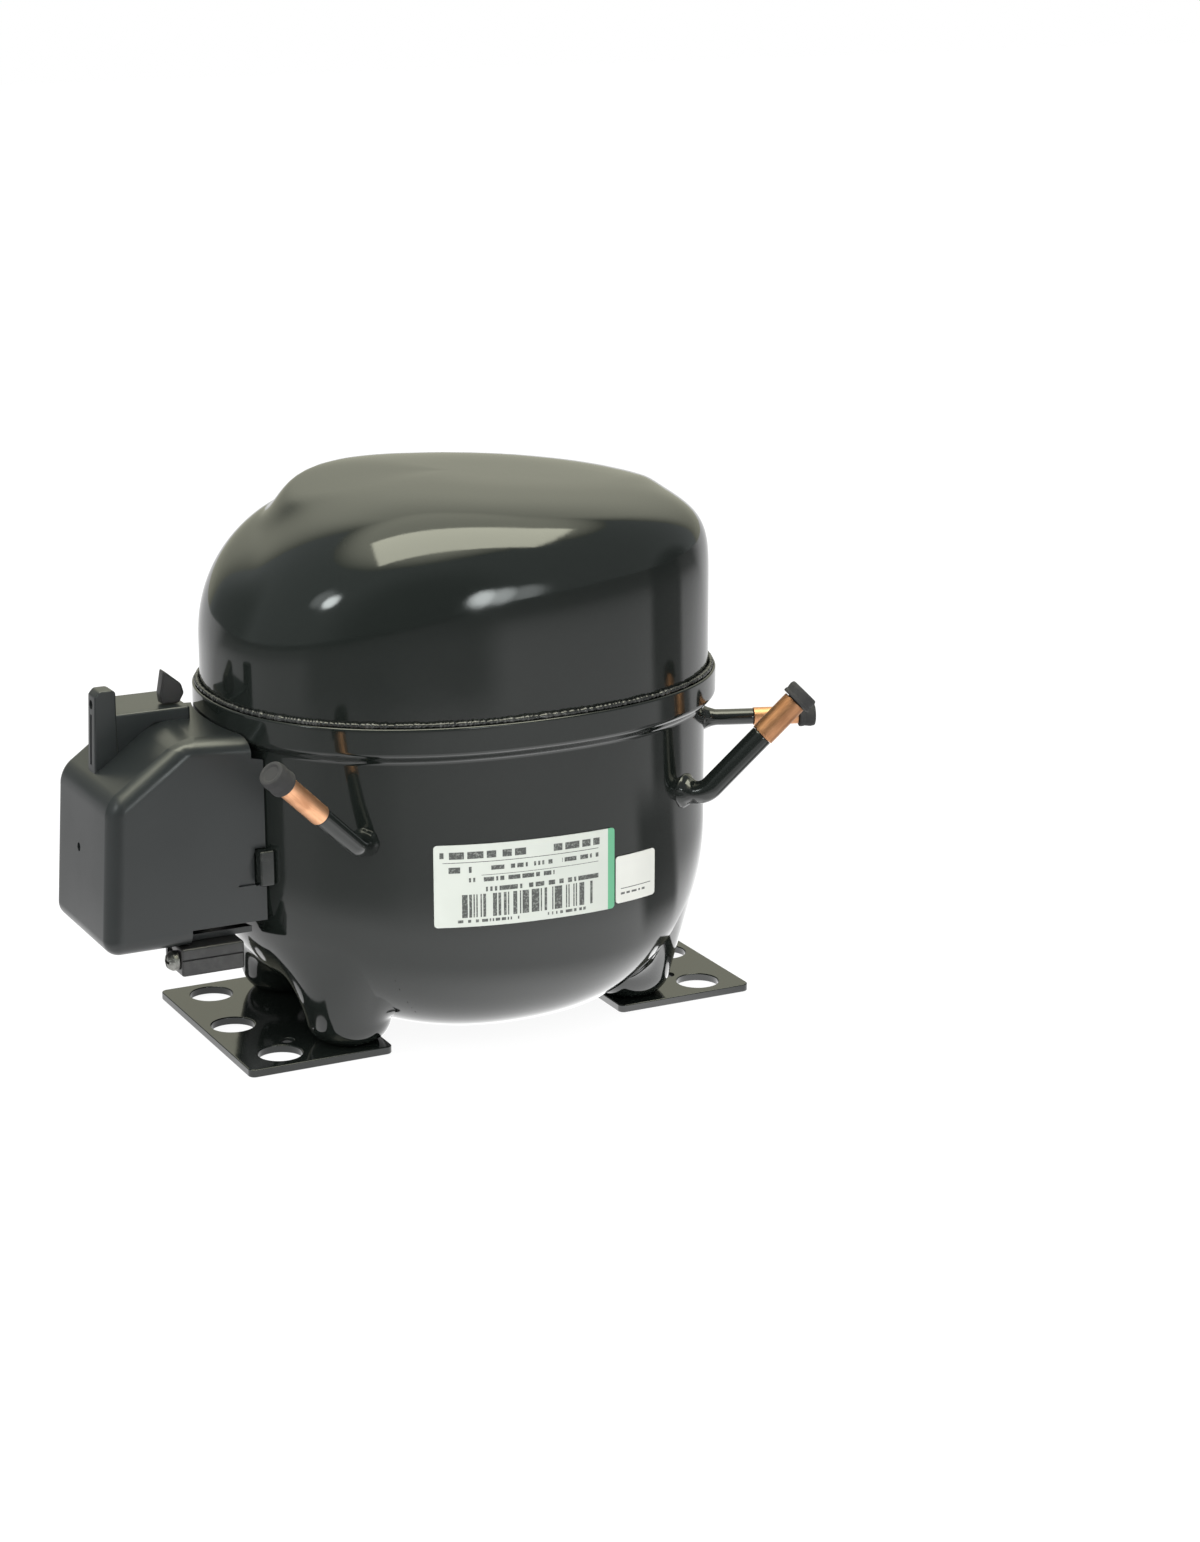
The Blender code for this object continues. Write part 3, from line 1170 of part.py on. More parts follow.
def make_block(pump):
    """The casting: deck on four posts, shaft bearing, cylinder and flange in one piece."""
    deck_end = CYLINDER_FACE - FLANGE_THICK / 2
    low = (AXIS_X - DECK_HALF_WIDTH, -DECK_HALF_WIDTH, DECK_Z)
    high = (deck_end, DECK_HALF_WIDTH, DECK_TOP)
    block = box("cylinder_block", low, high, "cast_iron", parent=pump)
    hub = cylinder("bearing_hub", HUB_R, (AXIS_X, 0, DECK_Z - HUB_DROP), (AXIS_X, 0, DECK_Z + CAST_OVERLAP))
    barrel_start = CYLINDER_FACE - CYLINDER_LENGTH
    barrel_line = ((barrel_start, 0, BORE_Z), (CYLINDER_FACE - 1.0, 0, BORE_Z))
    barrel = cylinder("cylinder_barrel", BORE_R + CYLINDER_WALL, *barrel_line)
    web = box("cylinder_web", (barrel_start + 1.0, -BORE_R, DECK_TOP - CAST_OVERLAP),
              (CYLINDER_FACE - CAST_OVERLAP, BORE_R, BORE_Z - 2 * CAST_OVERLAP))
    flange = box("cylinder_flange", (CYLINDER_FACE - FLANGE_THICK, -FLANGE_HALF, DECK_TOP - 1.0),
                 (CYLINDER_FACE, FLANGE_HALF, BORE_Z + FLANGE_HALF))
    join(block, hub, barrel, web, flange)
    for name, x, y in bolt_places():
        post = ((x, y, STATOR_TOP + GAP), (x, y, DECK_Z + CAST_OVERLAP))
        join(block, cylinder(f"{name}_post", POST_R, *post, steps=16))
    bearing = ((AXIS_X, 0, DECK_Z - HUB_DROP - CUT_PAST), (AXIS_X, 0, DECK_TOP + CUT_PAST))
    cut(block, cylinder("shaft_bearing", SHAFT_R + GAP, *bearing))
    bore = ((barrel_start - CUT_PAST, 0, BORE_Z), (CYLINDER_FACE + CUT_PAST, 0, BORE_Z))
    cut(block, cylinder("cylinder_bore", BORE_R, *bore))
    for name, x, y in bolt_places():
        bolt = ((x, y, STATOR_TOP - CUT_PAST), (x, y, DECK_Z - TAP_SHORT))
        cut(block, cylinder(f"{name}_tapped", BOLT_R + GAP, *bolt, steps=12))


def make_valves(pump):
    """Valve plate, the two reeds, the stop, the head, the suction muffler and the discharge loop."""
    low_z = DECK_TOP + GAP
    high_z = BORE_Z + FLANGE_HALF
    plate_back = VALVE_X + VALVE_PLATE_THICK
    plate = box("valve_plate", (VALVE_X, -FLANGE_HALF, low_z), (plate_back, FLANGE_HALF, high_z),
                "machined_steel", parent=pump)
    port_z = BORE_Z - PORT_DROP
    for name, y in (("suction_port", -REED_OFFSET_Y), ("discharge_port", REED_OFFSET_Y)):
        port = ((VALVE_X - CUT_PAST, y, port_z), (plate_back + CUT_PAST, y, port_z))
        cut(plate, cylinder(name, PORT_R, *port, steps=16))
    root_z = BORE_Z + REED_ROOT_UP
    tip_z = BORE_Z - REED_TIP_DOWN
    half = REED_WIDTH / 2
    reeds = (
        ("suction_reed", CYLINDER_FACE + GAP, -REED_OFFSET_Y),
        ("discharge_reed", plate_back + GAP, REED_OFFSET_Y),
    )
    for name, x, y in reeds:
        pivot = new_empty(name + "_axis", point(x + REED_THICK / 2, y, root_z), pump)
        box(name, (-REED_THICK / 2, -half, tip_z - root_z), (REED_THICK / 2, half, REED_HEEL),
            "machined_steel", parent=pivot)
    stop_x = plate_back + GAP + REED_THICK + GAP
    stop_pivot = new_empty("reed_stop_seat", point(stop_x, REED_OFFSET_Y, root_z + REED_HEEL), pump)
    stop_pivot.rotation_euler = (0, math.radians(-STOP_TILT), 0)
    box("reed_stop", (0, -half, tip_z - root_z), (STOP_THICK, half, 0), "machined_steel", parent=stop_pivot)
    head = box("cylinder_head", (HEAD_X, -FLANGE_HALF, low_z), (HEAD_X + HEAD_DEPTH, FLANGE_HALF, high_z),
               "cast_iron", parent=pump)
    middle = HEAD_WALL / 2
    inner = FLANGE_HALF - HEAD_WALL
    floor = low_z + HEAD_WALL
    roof = high_z - HEAD_WALL
    back = HEAD_X + HEAD_DEPTH - HEAD_WALL
    for name, y0, y1 in (("suction_chamber", -inner, -middle), ("discharge_chamber", middle, inner)):
        cut(head, box(name, (HEAD_X - CUT_PAST, y0, floor), (back, y1, roof)))
    add_bevel(head, 1.2, segments=2)
    size_x, size_y, size_z = MUFFLER_SIZE
    muffler_x = CYLINDER_FACE - size_x
    muffler_y = -FLANGE_HALF - GAP
    box("suction_muffler", (muffler_x, muffler_y - size_y, low_z), (CYLINDER_FACE, muffler_y, low_z + size_z),
        "nylon", bevel=4.0, parent=pump)
    make_loop(pump, low_z)


def make_loop(pump, head_low_z):
    """The tube from the head's underside to the inner end of the discharge tube."""
    sizes = TUBES["discharge"]
    inward = -heading(sizes["root_azimuth"])
    tube_end, _ = tube_root(sizes, -TUBE_INSIDE, 0.0)
    start = tube_end + inward * GAP
    head_middle_x = HEAD_X + HEAD_DEPTH / 2
    outlet_y = REED_OFFSET_Y + 3.0
    places = [
        start + inward * LOOP_STUB,
        start + inward * 8.0,
        (head_middle_x - 1.0, -8.0, start.z + 2.0),
        (head_middle_x, outlet_y - 1.0, (start.z + head_low_z) / 2),
        (head_middle_x, outlet_y, head_low_z - GAP - LOOP_STUB),
    ]
    outlet = Vector((head_middle_x, outlet_y, head_low_z - GAP))
    route = [start, *smooth_route(places), outlet]
    tube("discharge_loop", route, LOOP_R, "machined_steel", resolution=2, parent=pump)


def stand_on_origin():
    """Move the whole object so that the middle of its box stands on the origin."""
    bpy.context.view_layer.update()
    graph = bpy.context.evaluated_depsgraph_get()
    corners = []
    for item in PARTS.objects:
        if item.type == "MESH":
            solid = item.evaluated_get(graph)
            corners += [solid.matrix_world @ vert.co for vert in solid.data.vertices]
    low = [min(corner[axis] for corner in corners) for axis in range(3)]
    high = [max(corner[axis] for corner in corners) for axis in range(3)]
    FRAME.location = (-(low[0] + high[0]) / 2, -(low[1] + high[1]) / 2, -low[2])
    bpy.context.view_layer.update()
    print("frame shift, m:", [round(value, 6) for value in FRAME.location])
    for item in PARTS.objects:
        if item.type == "EMPTY":
            print("axis", item.name, [round(value, 6) for value in item.matrix_world.translation])


clear_scene()
PARTS = new_collection("hermetic_compressor")
CUTTERS = new_collection("cutters")
FRAME = new_empty("frame", (0, 0, 0))


def main():
    pot_outside = pot_solid("pot_outside", GAP)
    pot_cavity = pot_solid("pot_cavity", -SHELL_WALL - GAP)
    make_lower_shell()
    make_upper_shell()
    make_weld()
    make_feet(pot_outside)
    for name, sizes in TUBES.items():
        make_tube(name, sizes)
    make_cover()
    make_terminal(pot_outside)
    make_label("rating_label", LABEL_X, LABEL_LENGTH, LABEL_Z, LABEL_HEIGHT)
    make_label("inspection_sticker", STICKER_X, STICKER_LENGTH, STICKER_Z, STICKER_HEIGHT)
    pump = new_empty("pump_axis", (0, 0, 0), FRAME)
    make_suspension(pot_cavity)
    make_motor(pump)
    crank = make_crank(pump)
    make_pump(pump, crank)
    stand_on_origin()


main()
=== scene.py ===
"""Looks of a hermetic reciprocating compressor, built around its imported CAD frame.

Sizes are millimetres in the layout of the foot hole pattern, and at and metres turn them into metres
in the row frame. Each sub-assembly is a class that holds its sizes, builds its meshes, dresses them
with a finish and hands them to the CAD body that carries them.
"""

from __future__ import annotations

import logging
import math
from dataclasses import dataclass, field
from enum import Enum
from typing import Callable, Iterable, Sequence

import bmesh
import bpy
from mathutils import Matrix, Vector, noise
from mathutils.geometry import tessellate_polygon


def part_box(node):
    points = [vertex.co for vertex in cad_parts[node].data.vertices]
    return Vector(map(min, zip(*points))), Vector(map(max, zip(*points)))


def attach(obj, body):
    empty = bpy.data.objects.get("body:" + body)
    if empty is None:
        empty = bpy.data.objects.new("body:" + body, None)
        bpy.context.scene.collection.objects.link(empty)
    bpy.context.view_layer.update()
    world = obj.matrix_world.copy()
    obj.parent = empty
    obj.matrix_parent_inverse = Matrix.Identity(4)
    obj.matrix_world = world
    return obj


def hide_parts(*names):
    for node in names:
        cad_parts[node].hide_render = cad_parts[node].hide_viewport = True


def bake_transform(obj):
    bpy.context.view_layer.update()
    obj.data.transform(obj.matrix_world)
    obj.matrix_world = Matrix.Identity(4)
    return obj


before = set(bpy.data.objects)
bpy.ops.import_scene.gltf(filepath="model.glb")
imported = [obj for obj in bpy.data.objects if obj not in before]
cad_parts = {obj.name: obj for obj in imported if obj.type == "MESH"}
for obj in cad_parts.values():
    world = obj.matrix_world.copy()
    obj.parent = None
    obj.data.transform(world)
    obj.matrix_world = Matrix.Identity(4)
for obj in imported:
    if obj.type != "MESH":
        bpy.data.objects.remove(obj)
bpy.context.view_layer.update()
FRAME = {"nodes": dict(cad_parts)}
LOG = logging.getLogger("compressor")
MM = 0.001
FOOT_OUTER_X = 101.0
HALVINGS = 40
SIDE_SHARE = 0.49
NEARLY_STRAIGHT = 0.001
TINY = 1e-6
ROUND_SIDES = 48
TURN_MAP = "Turn"
SHEET_MAP = "Sheet"

Colour = tuple[float, float, float]
Pair = tuple[float, float]
Piece = bpy.types.Object
Socket = bpy.types.NodeSocket
Faces = bmesh.types.BMesh


class Body(Enum):
    """CAD bodies that carry pieces."""

    SHELL = "shell"
    COVER = "cover"
    PUMP = "pump"
    SUCTION_PLUG = "suction_plug"
    DISCHARGE_PLUG = "discharge_plug"
    PROCESS_PLUG = "process_plug"


class Slot(Enum):
    """Material slots of the record, passed along with built pieces but not given to them."""

    ENAMEL = "black_enamel"
    WELD = "weld_metal"
    COPPER = "copper"
    RUBBER = "cap_rubber"
    COVER = "cover_plastic"
    DARK_PLASTIC = "dark_plastic"
    ZINC = "zinc_steel"
    PAPER = "label_paper"
    WIRE = "enamelled_wire"
    STEEL = "machined_steel"
    GLASS = "glass_bead"


# Small mathematics


def lerp(start: float, end: float, share: float) -> float:
    """Value part of the way from start to end."""
    return start + (end - start) * share


def clamp01(value: float) -> float:
    """Value held between 0 and 1."""
    return min(1.0, max(0.0, value))


def soft_step(value: float) -> float:
    """Share that eases in and out with no jump in curvature."""
    t = clamp01(value)
    return t * t * t * (t * (6.0 * t - 15.0) + 10.0)


def signed_power(value: float, power: float) -> float:
    """Power of a number's size, with the number's sign."""
    return math.copysign(abs(value) ** power, value)


def heading(azimuth: float, rise: float = 0.0) -> Vector:
    """Unit vector at an azimuth from +X and a rise above level, in degrees."""
    flat = math.cos(math.radians(rise))
    turn = math.radians(azimuth)
    return Vector((flat * math.cos(turn), flat * math.sin(turn), math.sin(math.radians(rise))))


def fillet(points: Sequence[Pair], radii: Sequence[float], steps: int = 6) -> list[Pair]:
    """Round the corners of an open line of points.

    Args:
        points: corners of the line.
        radii: radius at each corner; the two ends take none.
        steps: straight pieces in each bend.

    Returns:
        The line with a soft bend in place of each corner that has a radius.
    """
    places = [Vector(p) for p in points]
    line: list[Pair] = [tuple(places[0])]
    for before, corner, after, radius in zip(places, places[1:], places[2:], radii[1:]):
        to_before = (before - corner).normalized()
        to_after = (after - corner).normalized()
        angle = to_before.angle(to_after, math.pi)
        if radius <= 0.0 or angle > math.pi - NEARLY_STRAIGHT:
            line.append(tuple(corner))
            continue
        room = SIDE_SHARE * min((before - corner).length, (after - corner).length)
        reach = min(radius / math.tan(angle / 2), room)
        enter = corner + to_before * reach
        leave = corner + to_after * reach
        for step in range(steps + 1):
            t = step / steps
            first = enter.lerp(corner, t)
            line.append(tuple(first.lerp(corner.lerp(leave, t), t)))
    line.append(tuple(places[-1]))
    return line


def frame_shift() -> Vector:
    """Row-frame place of the layout's origin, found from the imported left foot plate."""
    low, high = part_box("left_foot")
    return Vector((low.x + FOOT_OUTER_X * MM, (low.y + high.y) / 2, 0.0))


SHIFT = frame_shift()


def at(x: float, y: float, z: float) -> Vector:
    """Row-frame point in metres of layout millimetres."""
    return Vector((x * MM + SHIFT.x, y * MM + SHIFT.y, z * MM))


def metres(point: Sequence[float]) -> Vector:
    """Row-frame point in metres of a layout point."""
    return at(*point)


def turns(count: int) -> list[float]:
    """Angles in radians that share out a full turn."""
    return [2 * math.pi * step / count for step in range(count)]


def last_before(near: float, far: float, before: Callable[[float], bool]) -> float:
    """Place between two where a test stops holding, found by halving."""
    for _ in range(HALVINGS):
        middle = (near + far) / 2
        if before(middle):
            near = middle
        else:
            far = middle
    return far


# Meshes


def new_piece(name: str, mesh: bpy.types.Mesh) -> Piece:
    """Link a mesh into the scene as an object."""
    piece = bpy.data.objects.new(name, mesh)
    bpy.context.scene.collection.objects.link(piece)
    return piece


def piece_from(name: str, bm: Faces, sharp: float | None = None) -> Piece:
    """Make an object from a bmesh, shaded smooth.

    Args:
        name: name of the piece.
        bm: its faces, which are freed here.
        sharp: angle in degrees above which an edge stays sharp, or None for none.

    Returns:
        The new object.
    """
    bmesh.ops.recalc_face_normals(bm, faces=bm.faces)
    mesh = bpy.data.meshes.new(name)
    bm.to_mesh(mesh)
    bm.free()
    mesh.shade_smooth()
    if sharp is not None:
        mesh.set_sharp_from_angle(angle=math.radians(sharp))
    return new_piece(name, mesh)


def loft_mesh(
    rings: Sequence[Sequence[Vector]],
    pole_start: Vector | None = None,
    pole_end: Vector | None = None,
    loop: bool = False,
    marks: Sequence[float] | None = None,
) -> Faces:
    """Faces between closed rings of points, with a map of turn and length.

    Args:
        rings: rings with the same number of points each.
        pole_start: point that closes the first ring.
        pole_end: point that closes the last ring.
        loop: whether the last ring joins the first.
        marks: length written into the map at each ring.

    Returns:
        The faces.
    """
    bm = bmesh.new()
    uv = bm.loops.layers.uv.new(TURN_MAP)
    rows = [[bm.verts.new(place) for place in ring] for ring in rings]
    count = len(rows[0])
    if marks is None:
        marks = [index / max(1, len(rows) - 1) for index in range(len(rows))]
    spans = list(zip(range(len(rows)), range(1, len(rows))))
    if loop:
        spans.append((len(rows) - 1, 0))

    def face_of(corners: Sequence[tuple[bmesh.types.BMVert, float, float]]) -> None:
        """One face from its corners and their map places."""
        face = bm.faces.new([corner[0] for corner in corners])
        for corner, turn_length in zip(face.loops, corners):
            corner[uv].uv = turn_length[1:]

    for lower, upper in spans:
        for col in range(count):
            after = (col + 1) % count
            face_of((
                (rows[lower][col], col / count, marks[lower]),
                (rows[lower][after], (col + 1) / count, marks[lower]),
                (rows[upper][after], (col + 1) / count, marks[upper]),
                (rows[upper][col], col / count, marks[upper]),
            ))
    for pole, row in ((pole_start, 0), (pole_end, len(rows) - 1)):
        if pole is None:
            continue
        tip = bm.verts.new(pole)
        for col in range(count):
            after = (col + 1) % count
            face_of((
                (rows[row][col], col / count, marks[row]),
                (rows[row][after], (col + 1) / count, marks[row]),
                (tip, (col + 0.5) / count, marks[row]),
            ))
    return bm


def side_of(axis: Vector) -> Vector:
    """A unit vector square to an axis."""
    guide = Vector((0, 0, 1)) if abs(axis.z) < 0.9 else Vector((1, 0, 0))
    return axis.cross(guide).normalized()


def round_ring(centre: Vector, across: Vector, along: Vector, radius: float, sides: int) -> list[Vector]:
    """Ring of points in metres round a layout centre, square to an axis."""
    third = along.cross(across)
    outs = [across * math.cos(turn) + third * math.sin(turn) for turn in turns(sides)]
    return [metres(centre + out * radius) for out in outs]


def lathe_mesh(profile: Sequence[Pair], base: Sequence[float], axis: Sequence[float],
               sides: int = ROUND_SIDES) -> Faces:
    """Turn a line of (radius, height) pairs about an axis.

    Args:
        profile: line from one end of the solid to the other; radius 0 closes it.
        base: layout point at height 0.
        axis: direction of the heights.
        sides: points round each ring.

    Returns:
        The faces.
    """
    along = Vector(axis).normalized()
    across = side_of(along)
    origin = Vector(base)
    rings = []
    marks = []
    run = 0.0
    poles: list[Vector | None] = [None, None]
    for index, (radius, height) in enumerate(profile):
        if index:
            run += math.dist(profile[index - 1], profile[index])
        centre = origin + along * height
        if radius < TINY:
            poles[0 if index == 0 else 1] = metres(centre)
            continue
        rings.append(round_ring(centre, across, along, radius, sides))
        marks.append(run)
    return loft_mesh(rings, poles[0], poles[1], loop=poles == [None, None], marks=marks)


def swept_rings(
    route: Sequence[Vector],
    radii: Sequence[float],
    sides: int,
    lump: Callable[[Vector, int], float] | None = None,
) -> tuple[list[list[Vector]], list[float]]:
    """Rings of a round bar along a route, with frames carried along it.

    Args:
        route: layout points of the centre line.
        radii: radius at each point.
        sides: points round each ring.
        lump: extra radius for a surface point and its row.

    Returns:
        The rings in metres, and the length run at each.
    """
    rings = []
    marks = []
    run = 0.0
    across: Vector | None = None
    for index, centre in enumerate(route):
        before = route[max(0, index - 1)]
        after = route[min(len(route) - 1, index + 1)]
        along = (after - before).normalized()
        if across is None:
            across = side_of(along)
        else:
            across = (across - along * across.dot(along)).normalized()
            run += (centre - before).length
        third = along.cross(across)
        ring = []
        for turn in turns(sides):
            out = across * math.cos(turn) + third * math.sin(turn)
            radius = radii[index]
            if lump:
                radius += lump(centre + out * radius, index)
            ring.append(metres(centre + out * radius))
        rings.append(ring)
        marks.append(run)
    return rings, marks


def bent_route(start: Vector, corner: Vector, direction: Vector, length: float, radius: float,
               steps: int = 18) -> list[Vector]:
    """Points of a line that goes straight, bends round a corner and goes straight on.

    Args:
        start: first point.
        corner: where the two straight lines would meet.
        direction: way of the second line.
        length: how far the second line runs past the corner.
        radius: radius of the bend.
        steps: straight pieces in the bend.

    Returns:
        Points of the line, close together in the bend.
    """
    first = (corner - start).normalized()
    second = direction.normalized()
    angle = first.angle(second)
    enter = corner - first * radius * math.tan(angle / 2)
    side = (second - first * first.dot(second)).normalized()
    centre = enter + side * radius
    arc = []
    for step in range(steps + 1):
        turn = angle * step / steps
        arc.append(centre - side * radius * math.cos(turn) + first * radius * math.sin(turn))
    return [start, *arc, corner + second * length]


def refine(route: Sequence[Vector], pitch: float) -> list[Vector]:
    """Split the long stretches of a route into short ones."""
    fine = [route[0]]
    for before, after in zip(route, route[1:]):
        count = max(1, math.ceil((after - before).length / pitch))
        fine += [before.lerp(after, step / count) for step in range(1, count + 1)]
    return fine


def smooth_route(places: Sequence[Sequence[float]], steps: int = 10) -> list[Vector]:
    """Points of a smooth curve through the given places."""
    knots = [Vector(place) for place in places]
    padded = [2 * knots[0] - knots[1], *knots, 2 * knots[-1] - knots[-2]]
    route = []
    for before, start, end, after in zip(padded, padded[1:], padded[2:], padded[3:]):
        for step in range(steps):
            t = step / steps
            route.append(0.5 * (
                2 * start + (end - before) * t
                + (2 * before - 5 * start + 4 * end - after) * t ** 2
                + (3 * start - before - 3 * end + after) * t ** 3
            ))
    route.append(knots[-1])
    return route


def block(name: str, low: Sequence[float], high: Sequence[float], edge: float = 0.0,
          steps: int = 4) -> Piece:
    """A box between two layout corners, with its edges rounded."""
    bm = bmesh.new()
    low_m = metres(low)
    high_m = metres(high)
    size = high_m - low_m
    middle = (low_m + high_m) / 2
    matrix = Matrix.Translation(middle) @ Matrix.Diagonal((*size, 1.0))
    bmesh.ops.create_cube(bm, size=1.0, matrix=matrix)
    piece = piece_from(name, bm)
    if edge:
        round_edges(piece, edge, steps)
    return piece


def bar(name: str, radius: float, start: Sequence[float], end: Sequence[float],
        sides: int = ROUND_SIDES) -> Piece:
    """A plain round bar between two layout points, used to cut and join."""
    first = Vector(start)
    along = Vector(end) - first
    profile = [(0.0, 0.0), (radius, 0.0), (radius, along.length), (0.0, along.length)]
    return piece_from(name, lathe_mesh(profile, first, along, sides))


def prism(name: str, outline: Sequence[Pair], low_y: float, high_y: float,
          edge: float = 0.0, steps: int = 4) -> Piece:
    """A flat outline of (x, z) pairs pulled along Y, with its edges rounded."""
    bm = bmesh.new()
    face = bm.faces.new([bm.verts.new(at(x, low_y, z)) for x, z in outline])
    pulled = bmesh.ops.extrude_face_region(bm, geom=[face])
    moved = [part for part in pulled["geom"] if isinstance(part, bmesh.types.BMVert)]
    bmesh.ops.translate(bm, verts=moved, vec=Vector((0, (high_y - low_y) * MM, 0)))
    piece = piece_from(name, bm)
    if edge:
        round_edges(piece, edge, steps)
    return piece


def round_edges(piece: Piece, width: float, steps: int, angle: float = 25.0) -> None:
    """Add a modifier that rounds a piece's sharp edges."""
    bevel = piece.modifiers.new("Round edges", "BEVEL")
    bevel.width = width * MM
    bevel.segments = steps
    bevel.limit_method = "ANGLE"
    bevel.angle_limit = math.radians(angle)
    bevel.use_clamp_overlap = True


def round_along_x(piece: Piece, width: float, steps: int) -> None:
    """Round only those edges of a box that run along X."""
    bevel = piece.modifiers.new("Round corners", "BEVEL")
    bevel.width = width * MM
    bevel.segments = steps
    bevel.limit_method = "WEIGHT"
    weights = piece.data.attributes.new("bevel_weight_edge", "FLOAT", "EDGE")
    for edge in piece.data.edges:
        first, second = (piece.data.vertices[index].co for index in edge.vertices)
        weights.data[edge.index].value = 1.0 if abs(first.x - second.x) > TINY else 0.0


def combine(piece: Piece, other: Piece, operation: str) -> None:
    """Add a Boolean with a helper piece."""
    boolean = piece.modifiers.new(operation.title(), "BOOLEAN")
    boolean.operation = operation
    boolean.object = other
    boolean.solver = "EXACT"


def settle(piece: Piece, helpers: Iterable[Piece] = (), sharp: float = 32.0) -> Piece:
    """Turn a piece's modifiers into its mesh and remove its helpers.

    Args:
        piece: piece with modifiers.
        helpers: pieces that only its Booleans need.
        sharp: angle in degrees above which an edge stays sharp.

    Returns:
        The piece.
    """
    bpy.context.view_layer.update()
    graph = bpy.context.evaluated_depsgraph_get()
    mesh = bpy.data.meshes.new_from_object(piece.evaluated_get(graph))
    mesh.name = piece.name
    piece.modifiers.clear()
    old = piece.data
    piece.data = mesh
    bpy.data.meshes.remove(old)
    for helper in helpers:
        helper_mesh = helper.data
        bpy.data.objects.remove(helper, do_unlink=True)
        bpy.data.meshes.remove(helper_mesh)
    bm = bmesh.new()
    bm.from_mesh(mesh)
    bmesh.ops.remove_doubles(bm, verts=bm.verts, dist=TINY)
    bm.to_mesh(mesh)
    bm.free()
    mesh.shade_smooth()
    mesh.set_sharp_from_angle(angle=math.radians(sharp))
    even_normals(piece)
    return piece


def carve(piece: Piece, cutters: Sequence[Piece], joined: Sequence[Piece] = (), sharp: float = 32.0) -> Piece:
    """Join helpers to a piece, cut others out of it and settle it.

    Args:
        piece: piece to carve.
        cutters: helpers that are cut out.
        joined: helpers that are joined first.
        sharp: angle in degrees above which an edge stays sharp.

    Returns:
        The piece.
    """
    for helper in joined:
        combine(piece, helper, "UNION")
    for cutter in cutters:
        combine(piece, cutter, "DIFFERENCE")
    return settle(piece, (*joined, *cutters), sharp)


def even_normals(piece: Piece) -> None:
    """Keep flat faces flat beside rounded edges."""
    even = piece.modifiers.new("Even normals", "WEIGHTED_NORMAL")
    even.keep_sharp = True
    even.weight = 80


def thicken(piece: Piece, wall: float) -> None:
    """Give a skin its wall, inward."""
    solid = piece.modifiers.new("Wall", "SOLIDIFY")
    solid.thickness = wall * MM
    solid.offset = -1.0
    solid.use_even_offset = True


# Shader nodes


